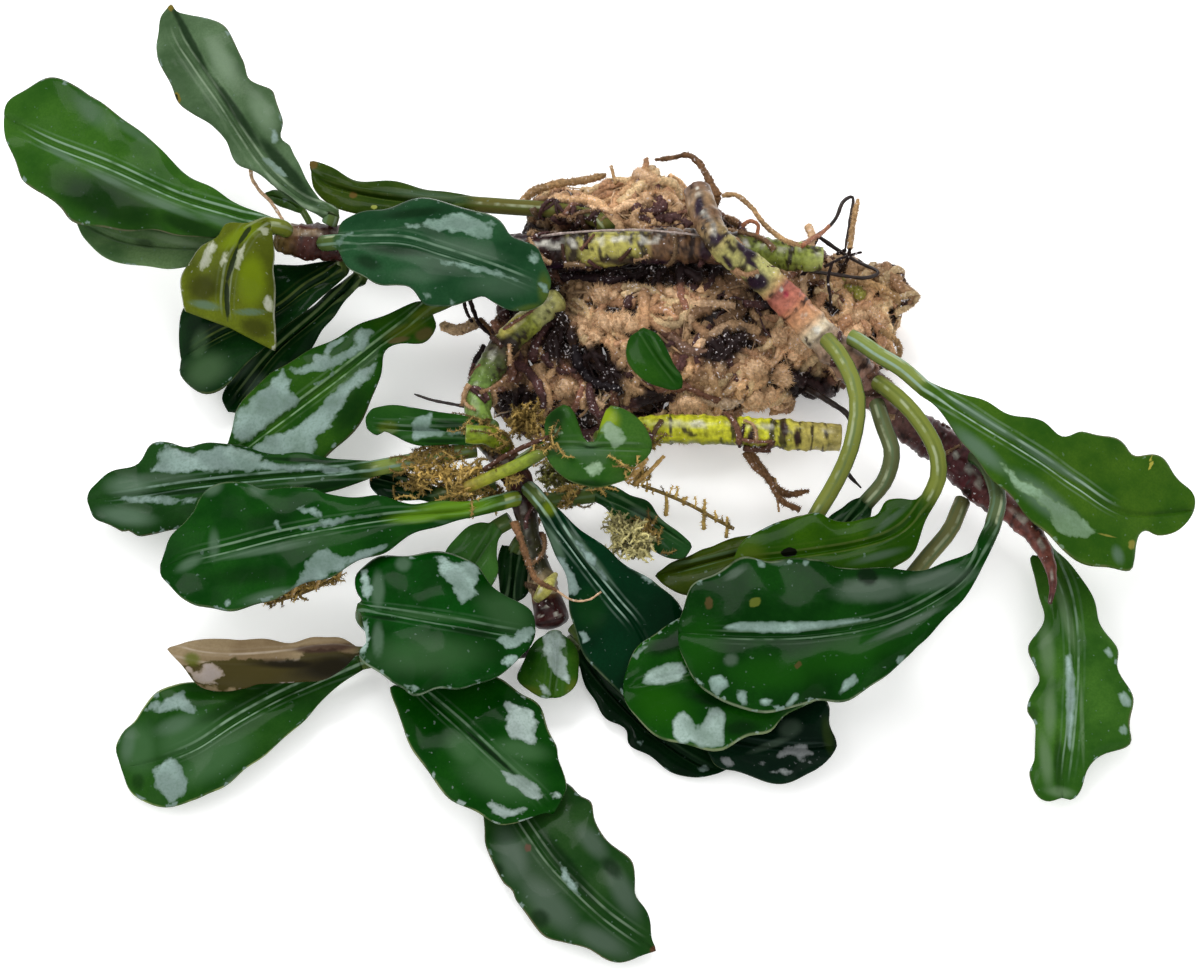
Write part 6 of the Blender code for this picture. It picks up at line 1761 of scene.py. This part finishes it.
def knobbly(name, lines, sides, grain, seed):
    """Round strands as tubes() makes them, with every point pushed in or out by up to grain mm."""
    rng = np.random.default_rng(seed)
    thing = tubes(name, lines, sides)
    places = np.empty(len(thing.data.vertices) * 3, np.float32)
    thing.data.vertices.foreach_get("co", places)
    places += rng.uniform(-grain, grain, len(places)) * MM
    thing.data.vertices.foreach_set("co", places)
    thing.data.update()
    return thing


# How much smaller the core is all round than the node, in mm, and its colours, near black and dark brown:
# partly dark wet matter and partly painted shade in the gaps between the roots
CORE_DEPTH = 0.75
CORE_BLACK, CORE_BROWN = (0.012, 0.007, 0.006), (0.09, 0.045, 0.025)


def root_core():
    """The dark core under the roots, partly wet matter and partly painted shade in the gaps between them:
    the root mass's own shape, finer, lumpy and a little smaller.
    """
    core = bmesh.new()
    core.from_mesh(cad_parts["root_mass"].data)
    bmesh.ops.subdivide_edges(core, edges=core.edges, cuts=2, use_grid_fill=True, smooth=0.6)
    bmesh.ops.triangulate(core, faces=core.faces)
    core.normal_update()
    points = np.array([vertex.co for vertex in core.verts]) / MM
    normals = np.array([vertex.normal for vertex in core.verts])
    faces = [[vertex.index for vertex in face.verts] for face in core.faces]
    core.free()
    lumps = 0.45 * ripple(points, 3.0, 5) + 0.35 * ripple(points, 1.3, 6) - CORE_DEPTH
    points += normals * lumps[:, None]
    points[:, 2] = np.maximum(points[:, 2], 0)
    brown = ramp(ripple(points, 2.4, 8), -0.2, 1.2)[:, None]
    shades = (1 - brown) * np.array(CORE_BLACK) + brown * np.array(CORE_BROWN)
    return smooth_mesh("root_core", points, faces, shades)


core_surface = shaded("root_debris_and_shade", 0.3, 0.6, 0.3, coat=0.03, specular=0.1, glints=0.2)
dressed(root_core(), core_surface, "root_mass")

# Roots over the mass: how many are tried, their colours, and, as seen, where they are light and where they
# are nearly black, partly from dark wet matter and partly as painted shade in the gaps and under the
# rhizomes
STUB_TRIES, THREAD_TRIES = 560, 150
TINTS = [(0.58, 0.36, 0.19), (0.44, 0.25, 0.13), (0.24, 0.11, 0.07), (0.11, 0.048, 0.045)]
LIGHT_TINTS = [(0.66, 0.43, 0.25), (0.58, 0.36, 0.19), (0.56, 0.4, 0.22), (0.4, 0.22, 0.12)]
NEAR_BLACK, FUZZ_TAN, FLUFFY = (0.016, 0.008, 0.008), (0.56, 0.36, 0.19), (0.62, 0.41, 0.24)
DARK_AND_SHADED_PATCHES = [(632, 273, 90, 14, 2), (535, 300, 32, 26, 0), (597, 368, 34, 20, 35),
                (725, 345, 30, 16, -30), (700, 262, 34, 18, 10), (805, 385, 46, 16, 20),
                (478, 350, 22, 34, 0), (520, 400, 26, 14, 0), (655, 398, 20, 10, 0), (515, 235, 44, 16, 0),
                (650, 345, 18, 12, 0), (770, 300, 30, 12, 40), (560, 340, 16, 26, 0)]
LIGHT_PATCHES = [(612, 318, 38, 32, 0), (650, 188, 64, 26, 0), (760, 388, 32, 34, 0), (790, 347, 32, 20, 20),
                 (560, 390, 32, 16, 0), (858, 318, 56, 46, 30), (600, 192, 70, 26, -6),
                 (672, 305, 40, 18, -20), (690, 412, 44, 14, 0), (685, 360, 30, 18, -30),
                 (480, 325, 20, 12, 0), (600, 415, 28, 10, 0)]

# Pieces that lie on top of the mass, as seen: places, half thickness and colour
ON_TOP = [
    ([(575, 345), (577, 358), (585, 373), (600, 384), (621, 388)], 0.85, (0.012, 0.008, 0.01)),
    ([(520, 330), (532, 312), (546, 300)], 0.9, (0.03, 0.012, 0.012)),
    ([(560, 276), (590, 280), (625, 279)], 0.7, (0.02, 0.01, 0.012)),
    ([(700, 398), (728, 402), (742, 396)], 0.8, (0.5, 0.36, 0.24)),
    ([(668, 336), (690, 350), (712, 352)], 0.7, (0.16, 0.09, 0.06)),
    ([(790, 375), (812, 384), (830, 392)], 0.9, (0.03, 0.014, 0.014)),
    ([(592, 300), (605, 294), (618, 298)], 1.0, FLUFFY),
    ([(600, 318), (612, 326), (628, 322), (634, 332)], 1.1, FLUFFY),
    ([(578, 322), (586, 334), (598, 340)], 1.0, FLUFFY),
    ([(744, 374), (754, 366), (764, 370)], 1.2, FLUFFY),
    ([(750, 392), (762, 398), (774, 390)], 1.2, FLUFFY),
    ([(776, 366), (782, 378), (778, 386)], 1.1, FLUFFY),
    ([(770, 340), (784, 336), (798, 346), (806, 356)], 1.2, FLUFFY),
    ([(556, 392), (568, 384), (580, 390)], 1.0, FLUFFY),
    ([(672, 408), (690, 402), (704, 410)], 0.9, FLUFFY),
    ([(622, 180), (640, 176), (652, 186)], 1.0, FLUFFY),
    ([(640, 205), (656, 198), (672, 206)], 0.9, FLUFFY),
    ([(852, 322), (868, 316), (884, 326)], 1.0, FLUFFY),
    ([(838, 282), (850, 288), (862, 300)], 1.0, (0.3, 0.29, 0.06)),
]


def root_tint(path, rng, depth):
    """A root's colour along its length, from where it lies and how deep: deeper roots are darker as painted
    shade, and the dark patches are partly painted shade.
    """
    dark = ramp(blobs(path, DARK_AND_SHADED_PATCHES), -0.12, 0.25)
    light = ramp(blobs(path, LIGHT_PATCHES), -0.1, 0.3)
    if light[0] > 0:
        depth = 0.45 + 0.55 * depth
    # Deeper roots are darker: painted shade.
    tint = np.array((LIGHT_TINTS if light[0] > 0 else TINTS)[rng.integers(4)]) * (0.25 + 0.5 * depth)
    tint = tint * (1 + 0.75 * light)[:, None]
    # Near black in the dark patches: partly dark wet matter, partly painted shade.
    return np.clip(tint * (1 - dark)[:, None] + np.array(NEAR_BLACK) * dark[:, None], 0, 1)


def root_stubs(skin, rng):
    """Short thick roots over the mass, fewer where it is dark, that rise from it towards their ends."""
    stubs = []
    for start in skin.pick(rng, STUB_TRIES):
        depth = rng.uniform()
        if blobs(start[None], DARK_AND_SHADED_PATCHES)[0] > -0.05 and rng.uniform() < 0.72:
            continue
        path = root_walk(skin, rng, start, 0.0, int(rng.integers(12, 30)), 0.45)
        if len(path) < 7:
            continue
        normal = np.array([skin.nearest(point)[1] for point in path])
        share = np.linspace(0, 1, len(path))
        rise = 0.75 * (depth - 1) + rng.uniform(0.1, 0.9) * share**1.5
        path = kept_between(path + normal * rise[:, None], 0.9, TOP_LEVEL - 0.8)
        radii = rng.uniform(0.4, 0.78) * (1 + 0.25 * ripple(path, 1.6, 11)) * (1 - 0.35 * share**3)
        stubs.append((path, radii, root_tint(path, rng, depth)))
    return stubs


def root_threads(skin, rng):
    """Thin dark roots over the mass, at every depth."""
    threads = []
    for start in skin.pick(rng, THREAD_TRIES):
        depth = rng.uniform()
        path = root_walk(skin, rng, start, -0.25 + 0.7 * depth, int(rng.integers(9, 20)), 0.6)
        if len(path) > 6:
            path = kept_between(path, 0.5, TOP_LEVEL - 0.5)
            radii = np.linspace(1, 0.5, len(path)) * rng.uniform(0.1, 0.24)
            threads.append((path, radii, root_tint(path, rng, depth) * 0.7))
    return threads


def roots_on_top(skin):
    """The pieces that lie on top of the mass, and those of them that are fluffy."""
    pieces, fluffy = [], []
    for places, radius, colour in ON_TOP:
        seen_at = along([(x, y, 0) for x, y in places], np.linspace(0, 1, 24))[:, :2]
        path = skin.under(seen_at, 0.35 * radius)
        if len(path) > 8:
            path = smoothed(kept_between(path, radius + 0.2, TOP_LEVEL - radius), 4)
            plump = np.sqrt(np.sin(np.linspace(0.12, 1, len(path)) * 2.9))
            width = radius * (1 + 0.25 * ripple(path, 1.2, 21)) * plump
            pieces.append((path, width, np.tile(colour, (len(path), 1))))
            if colour == FLUFFY:
                fluffy.append(pieces[-1])
    return pieces, fluffy


root_skin = shaded("root_skin", 0.45, 0.4, 0.12, specular=0.12, glints=0.15, tone=0.95)
thread_skin = shaded("thread_skin", 0.35, 0.5, 0.05, coat=0.05, specular=0.15, glints=0.1, tone=0.9)
black_skin = shaded("black_root", 0.28, 0.7, 0.05, coat=0.1, specular=0.2)
fuzz = shaded("root_fuzz", 0.8, 1.2, 0.0, specular=0.05, tone=0.95)


def root_cover(skin, rng):
    """Everything that lies over the core: short roots, threads, pieces on top, and the fuzz on them."""
    stubs, threads = root_stubs(skin, rng), root_threads(skin, rng)
    pieces, fluffy = roots_on_top(skin)
    stubs += pieces
    stubs = [stubs[i] for i in rng.permutation(len(stubs))]
    half = len(stubs) // 2
    dressed(knobbly("root_stubs", stubs, 9, 0.11, 4), root_skin, None)
    dressed(tubes("root_threads", threads, 5), thread_skin, None)
    dressed(hairs("root_fuzz_a", stubs[:half], 0.026, 0.46, 0.08, FUZZ_TAN, 1), fuzz, None)
    dressed(hairs("root_fuzz_b", stubs[half:], 0.026, 0.46, 0.08, FUZZ_TAN, 2), fuzz, None)
    dressed(hairs("root_fuzz_long", fluffy, 0.006, 0.75, 0.1, FUZZ_TAN, 3), fuzz, None)


root_cover(Skin("root_mass"), np.random.default_rng(7))


def loose_root(name, seed):
    """A root that stands clear of the mass: black and wiry, or knobbly, and fuzzy if it is tan or brown."""
    places, (first, last), colour = ROOTS[name]
    black = colour == BLACK
    path = seen_line(places, 60)
    share = 0.66 if black else 0.6
    radii = np.linspace(first, last, len(path)) * share * (1 + 0.12 * ripple(path, 1.6, seed))
    radii[-6:] *= np.linspace(1, 0.45, 6)
    shades = np.tile(colour, (len(path), 1)) * (1 + 0.3 * ripple(path, 3.0, seed + 1))[:, None]
    line = [(path, radii, np.clip(shades, 0, 1))]
    grain, material, slot = (0.02, black_skin, "black_roots") if black else (0.1, root_skin, "roots")
    dressed(knobbly(name + "_skin", line, 10, grain, seed), material, name)
    if colour in (TAN, BROWN):
        reach = (first + last) / 2 * 0.5
        dressed(hairs(name + "_fuzz", line, 0.02, reach, 0.08, FUZZ_TAN, seed), fuzz, None)


for number, name in enumerate(ROOTS):
    loose_root(name, number + 300)


def strand(rng, start, way, steps, step, wander):
    """A thin strand that wanders off from its start, and keeps between the floor and the plant's top."""
    path, turn = [np.array(start)], rng.normal(size=3) * wander
    for _ in range(steps):
        turn = turn * 0.7 + rng.normal(size=3) * wander
        way = way + turn
        way = way / np.linalg.norm(way)
        path.append(path[-1] + way * step)
    return kept_between(np.array(path), 0.3, TOP_LEVEL)


# The side shoots of the comb-like moss: where along it, how far below and above it in mm, and their radius
BARBS = [(0.06, 0.6, 0.8, 0.2), (0.27, 3.0, 0.4, 0.3), (0.45, 0.5, 0.7, 0.18), (0.67, 2.4, 1.9, 0.28),
         (0.8, 0.4, 0.5, 0.16), (0.93, 1.8, 1.3, 0.26)]
# How many strands each bit of moss has
MOSS_STRANDS = {"moss_gold": 190, "moss_tuft": 170, "moss_comb": 14, "moss_fringe": 110}


def barbs(middle, rng):
    """Stiff upright side shoots through the comb-like moss."""
    shoots = []
    for share, below, above, radius in BARBS:
        foot = middle[int(share * (len(middle) - 1))]
        rise = np.linspace(-below, above, 10)[:, None] * (0.02, 0.5, 0.85)
        path = foot + rise + rng.normal(size=(10, 3)) * 0.04
        shoots += bundle([path], radius, 0.6, np.array(MOSS_GOLD) * 1.5)
    return shoots


def moss_start(name, middle, reach, number, rng):
    """Where a strand of moss starts and which way it goes first. The gold moss has a gap near its end."""
    share = rng.uniform()
    if name == "moss_gold":
        share = 0.62 * share / 0.86 if share < 0.86 else 1.0 - 0.8 * (1.0 - share)
    at = middle[int(share * len(middle))] + rng.normal(size=3) * reach * 0.25
    way = rng.normal(size=3) * (1, 1, 0.5)
    if name == "moss_comb":
        way = np.array([0.1, 0.25, 1.0]) + rng.normal(size=3) * 0.12
        at = middle[int(number / MOSS_STRANDS[name] * len(middle))] + rng.normal(size=3) * 0.1
    if name == "moss_fringe":
        way = np.array([-0.3, -1.0, -0.15]) + rng.normal(size=3) * 0.3
        at = at + np.array([0.1, 1.0, 0.5]) * rng.uniform(0.2, 1.4)
    return at, way / np.linalg.norm(way)


def moss_object(name, seed):
    """A bit of moss: strands that wander off from a stem, with leaflets all over."""
    places, reach, colour = MOSS[name]
    step, wander, thin, thick = (0.14, 0.3, 0.16, 0.26) if name == "moss_tuft" else (0.16, 0.16, 0.12, 0.24)
    rng = np.random.default_rng(seed)
    middle, lines = seen_line(places, 40), []
    for number in range(MOSS_STRANDS[name]):
        at, way = moss_start(name, middle, reach, number, rng)
        path = strand(rng, at, way, int(rng.integers(6, 12)), reach * step, wander)
        shade = np.array(colour) * rng.uniform(0.3, 2.3)
        lines += bundle([path], rng.uniform(thin, thick), 0.35, shade)
    stem = bundle([middle], 0.25, 1, np.array(colour) * 0.5)
    if name == "moss_comb":
        lines += barbs(middle, rng)
    moss = shaded(name + "_green", 0.55, 0.6, 0.04, specular=0.1, glints=0.12)
    dressed(tubes(name + "_strands", lines + stem, 5), moss, name)
    dressed(hairs(name + "_leaflets", lines, 0.09, 0.42, 0.13, colour, seed), moss, None)


for number, name in enumerate(MOSS):
    moss_object(name, number + 400)


# Rootlets and moss that cling to stems and stalks: the piece, how many, and the patches that they grow
# in, as seen
CLINGING_ROOTS = {
    "rhizome_upper": (24, [(600, 262, 110, 16, 0), (520, 240, 40, 20, 0), (760, 262, 60, 16, 8)]),
    "leaf_olive_torn": (26, [(575, 216, 46, 12, 10)]),
    "rhizome_left": (18, [(496, 356, 34, 22, -40), (480, 400, 24, 40, 0), (530, 560, 20, 50, 0)]),
    "rhizome_right": (14, [(745, 262, 24, 30, 40), (880, 400, 60, 20, 40), (940, 450, 30, 20, 40)]),
    "rhizome_front": (10, [(640, 428, 50, 8, 0), (740, 440, 40, 6, 0)]),
}
CLINGING_MOSS = {
    "rhizome_left": (64, [(519, 428, 14, 16, 0), (550, 462, 10, 22, 0)]),
    "stalk_cut": (20, [(500, 440, 12, 14, 0)]),
    "leaf_strip": (20, [(486, 428, 16, 16, 0)]),
    "leaf_middle_left": (46, [(432, 466, 30, 22, 0)]),
    "leaf_wavy_left": (10, [(470, 496, 14, 10, 0)]),
    "leaf_notched": (24, [(545, 455, 14, 24, 0), (636, 468, 14, 14, 0)]),
    "leaf_deep_green": (8, [(552, 492, 8, 12, 0)]),
    "leaf_behind_moss": (44, [(575, 490, 20, 14, 0), (640, 540, 26, 20, 40)]),
    "leaf_dark_small": (30, [(440, 480, 50, 30, 0)]),
    "leaf_shaded_small": (30, [(440, 480, 50, 30, 0)]),
    "rhizome_front": (20, [(646, 446, 20, 10, 0)]),
}

# Low beds of moss between the stalks, as seen: middle, height, reach in mm, number of strands, colour
MOSS_OLIVE = (0.13, 0.13, 0.035)
MOSS_BEDS = [(526, 422, 9, 1.5, 100, MOSS_GOLD), (556, 476, 7, 1.5, 90, MOSS_OLIVE),
             (580, 483, 7, 1.7, 90, MOSS_OLIVE), (598, 474, 7, 1.2, 40, MOSS_OLIVE),
             (494, 497, 7.4, 1.0, 50, MOSS_GOLD), (466, 494, 8, 1.2, 50, MOSS_GOLD),
             (465, 489, 12.6, 0.8, 30, MOSS_GOLD),
             (638, 474, 9, 1.2, 26, MOSS_GOLD)]


def clinging(node, count, patches, seed, step):
    """Paths that wander over a piece inside patches of the view."""
    base, rng, found = Skin(node), np.random.default_rng(seed), []
    for start in base.pick(rng, count * 40):
        if blobs(start[None], patches)[0] < 0 or len(found) == count:
            continue
        path = root_walk(base, rng, start, rng.uniform(0.1, 0.6), int(rng.integers(6, 14)), step)
        if len(path) > 4:
            found.append(kept_between(path, 0.6, TOP_LEVEL - 0.4))
    return found


def clinging_roots(rng):
    """The rootlets on stems and stalks, and their fuzz."""
    rootlets = []
    for number, (node, (count, patches)) in enumerate(CLINGING_ROOTS.items()):
        for path in clinging(node, count, patches, 500 + number, 0.45):
            tint = np.array(TINTS[rng.integers(len(TINTS))]) * rng.uniform(0.15, 0.75)
            rootlets += bundle([path], rng.uniform(0.2, 0.45), 0.6, tint)
    dressed(knobbly("stem_rootlets", rootlets, 7, 0.05, 5), root_skin, None)
    dressed(hairs("stem_rootlet_fuzz", rootlets, 0.03, 0.36, 0.07, FUZZ_TAN, 6), fuzz, None)


def clinging_moss(rng):
    """The moss on stems and leaves and in low beds between the stalks."""
    wisps = []
    for number, (node, (count, patches)) in enumerate(CLINGING_MOSS.items()):
        for path in clinging(node, count, patches, 600 + number, 0.34):
            wisps += bundle([path], rng.uniform(0.1, 0.18), 0.4, np.array(MOSS_GOLD) * rng.uniform(0.3, 1.7))
    for x, y, height, reach, count, colour in MOSS_BEDS:
        heart = spots([(x, y, height)])[0]
        for _ in range(count):
            way = rng.normal(size=3)
            at = heart + rng.normal(size=3) * reach * (0.5, 0.5, 0.3)
            path = strand(rng, at, way / np.linalg.norm(way), int(rng.integers(7, 13)), 0.2, 0.2)
            wisps += bundle([path], rng.uniform(0.12, 0.22), 0.4, np.array(colour) * rng.uniform(0.3, 1.9))
    moss = shaded("wisp_green", 0.55, 0.6, 0.04, specular=0.1, glints=0.14)
    dressed(tubes("moss_wisps", wisps, 5), moss, None)
    dressed(hairs("moss_wisp_leaflets", wisps, 0.06, 0.4, 0.12, MOSS_GOLD, 9), moss, None)


rng = np.random.default_rng(77)
clinging_roots(rng)
clinging_moss(rng)

# Small roots that stray from the plant, as seen: places with heights, radius, and colour
RUST, DULL_PINK, GOLD = (0.3, 0.12, 0.06), (0.5, 0.33, 0.2), (0.4, 0.25, 0.08)
STRAYS = [
    ([(250, 166, 15.5), (252, 178, 15), (259, 190, 14.4), (270, 201, 14), (279, 214, 14), (287, 227, 14.2)],
     0.25, DULL_PINK),
    ([(470, 300, 10), (474, 312, 8), (480, 325, 6.5), (492, 336, 6)], 0.3, NEAR_BLACK),
    ([(479, 320, 6), (490, 331, 6), (503, 345, 6)], 0.5, BROWN),
    ([(463, 296, 10), (466, 310, 9), (472, 322, 7)], 0.25, NEAR_BLACK),
    ([(611, 166, 12), (613, 174, 12), (616, 184, 12)], 0.25, TAN),
    ([(742, 226, 20), (750, 221, 20.5), (758, 225, 20.5), (757, 236, 20)], 0.28, RUST),
    ([(802, 246, 20), (812, 239, 18), (822, 233, 16), (829, 226, 15)], 0.32, RUST),
    ([(808, 226, 17), (812, 236, 17), (810, 248, 17)], 0.55, FLUFFY),
    ([(557, 591, 11.8), (572, 600, 11.4), (588, 600, 11.2), (601, 592, 11)], 0.14, DULL_PINK),
    ([(775, 478, 5), (777, 495, 4), (779, 512, 3.5)], 0.18, TAN),
    ([(745, 452, 7), (756, 468, 6), (768, 478, 5), (781, 500, 4), (800, 510, 3)], 0.45, BROWN),
    ([(540, 236, 16.5), (580, 232, 18.6), (640, 230, 20.4), (700, 235, 20.8)], 0.16, (0.34, 0.27, 0.24)),
    ([(484, 470, 14), (504, 457, 15.6), (528, 445, 17.2), (549, 437, 18)], 0.36, (0.07, 0.03, 0.018)),
    ([(850, 247, 16.4), (848, 258, 14), (842, 268, 11), (836, 278, 8)], 0.26, NEAR_BLACK),
    ([(832, 262, 12), (828, 280, 11.4), (830, 295, 11), (831, 313, 9.6)], 0.22, NEAR_BLACK),
    ([(824, 267, 14), (842, 258, 14.5), (862, 252, 15)], 0.2, NEAR_BLACK),
    ([(806, 242, 14), (800, 252, 12), (796, 262, 10.4), (790, 272, 8.6)], 0.3, NEAR_BLACK),
    ([(806, 271, 12), (798, 280, 10.5), (788, 290, 9)], 0.3, NEAR_BLACK),
    ([(818, 236, 12), (810, 250, 11), (800, 262, 9.6)], 0.3, NEAR_BLACK),
    ([(845, 250, 12.8), (842, 252, 12), (837, 254, 11.2)], 0.25, NEAR_BLACK),
    ([(718, 197, 15.4), (714, 206, 14), (708, 216, 12)], 0.5, BROWN),
    ([(270, 602, 7.4), (271, 598, 9), (273, 594, 10.6)], 0.25, GOLD),
    ([(292, 596, 7.8), (294, 591, 9.6), (296, 586, 11.2)], 0.25, GOLD),
    ([(316, 588, 8.2), (318, 583, 10), (320, 578, 11.8)], 0.25, GOLD),
    ([(338, 577, 8.8), (340, 572, 10.6), (342, 567, 12.2)], 0.25, GOLD),
    ([(626, 482, 11), (636, 472, 11.4), (647, 458, 11.4)], 0.42, GOLD),
    ([(634, 485, 10.4), (648, 473, 11), (664, 456, 11)], 0.3, GOLD),
]


def stray_roots():
    """The small roots that stray from the plant, with fuzz on the thick ones."""
    strays = []
    for places, radius, colour in STRAYS:
        strays += bundle([seen_line(places, 24)], radius, 0.8, colour)
    thick = [line for line in strays if line[1][0] > 0.4]
    dressed(knobbly("stray_roots", strays, 9, 0.05, 8), root_skin, None)
    dressed(hairs("stray_root_fuzz", thick, 0.02, 0.4, 0.08, FUZZ_TAN, 10), fuzz, None)


stray_roots()

# A pale green stalk that lies across the lower crown, as seen: places with heights, and its colour stops
PALE_STALK = [(466, 488, 12.6), (484, 480, 14), (502, 472, 15.2), (518, 465, 16), (534, 457, 16.6),
              (547, 450, 17)]
PALE_STALK_STOPS = [(0, (0.24, 0.18, 0.03)), (0.25, (0.22, 0.23, 0.02)), (0.75, (0.16, 0.22, 0.015)),
                    (1, (0.06, 0.07, 0.01))]


def pale_stalk():
    """The pale stalk, which is a little uneven."""
    path = seen_line(PALE_STALK, 40)
    radii = 0.76 * (1 + 0.05 * ripple(path, 2.5, 12))
    shades = blend(PALE_STALK_STOPS, np.linspace(0, 1, 40))
    material = shaded("pale_stalk_skin", 0.45, 1.2, 0.03, coat=0.05, specular=0.2, glints=0.02)
    dressed(knobbly("pale_stalk", [(path, radii, shades)], 20, 0.015, 11), material, None)


pale_stalk()

# The lamps: place in metres, width and depth, and power. They point at the plant's middle.
LAMPS = [
    ("softbox_back", (-0.25, 0.75, 1.15), (0.7, 0.5), 9.0),
    ("softbox_left", (-1.0, -0.1, 0.9), (1.0, 1.0), 5.0),
    ("softbox_front", (0.7, -0.9, 1.1), (1.1, 1.1), 5.0),
]
LAMP_TARGET = (0, 0, 0.01)
FLOOR_REACH = 4.0
FLOOR_WHITE, FLOOR_GLOW = (0.93, 0.93, 0.93), 0.3
DAYLIGHT = 0.85


def floor():
    """The white floor, which glows a little."""
    mesh, reach = bpy.data.meshes.new("floor"), FLOOR_REACH
    mesh.from_pydata([(-reach, -reach, 0), (reach, -reach, 0), (reach, reach, 0), (-reach, reach, 0)], [],
                     [(0, 1, 2, 3)])
    white = Surface("floor_white", 0.9, specular=0.1)
    white.colour(FLOOR_WHITE)
    white.shader.inputs["Emission Color"].default_value = (1, 1, 1, 1)
    white.shader.inputs["Emission Strength"].default_value = FLOOR_GLOW
    mesh.materials.append(white.material)
    thing = bpy.data.objects.new("floor", mesh)
    bpy.context.scene.collection.objects.link(thing)


def lights():
    """Even daylight and the soft lamps."""
    world = bpy.data.worlds.new("studio")
    world.use_nodes = True
    background = world.node_tree.nodes["Background"]
    background.inputs["Color"].default_value = (1, 1, 1, 1)
    background.inputs["Strength"].default_value = DAYLIGHT
    bpy.context.scene.world = world
    for label, place, size, power in LAMPS:
        data = bpy.data.lights.new(label, "AREA")
        data.shape = "RECTANGLE"
        data.size, data.size_y = size
        data.energy = power
        lamp = bpy.data.objects.new(label, data)
        lamp.location = place
        lamp.rotation_euler = (Vector(LAMP_TARGET) - Vector(place)).to_track_quat("-Z", "Y").to_euler()
        bpy.context.scene.collection.objects.link(lamp)


def camera():
    """The camera of the main view."""
    data = bpy.data.cameras.new("camera")
    data.sensor_fit = "HORIZONTAL"
    data.sensor_width = SENSOR_WIDTH
    data.lens = SENSOR_WIDTH * VIEW_DISTANCE / VIEW_SPAN
    thing = bpy.data.objects.new("camera", data)
    thing.location = Vector(VIEW_CENTRE * MM) + VIEW_DISTANCE * MM * Vector((0, -COSINE, SINE))
    thing.rotation_euler = (math.pi / 2 - VIEW_ELEVATION, 0, 0)
    bpy.context.scene.collection.objects.link(thing)
    bpy.context.scene.camera = thing
    bpy.context.scene.view_settings.view_transform = "Standard"


floor()
lights()
camera()
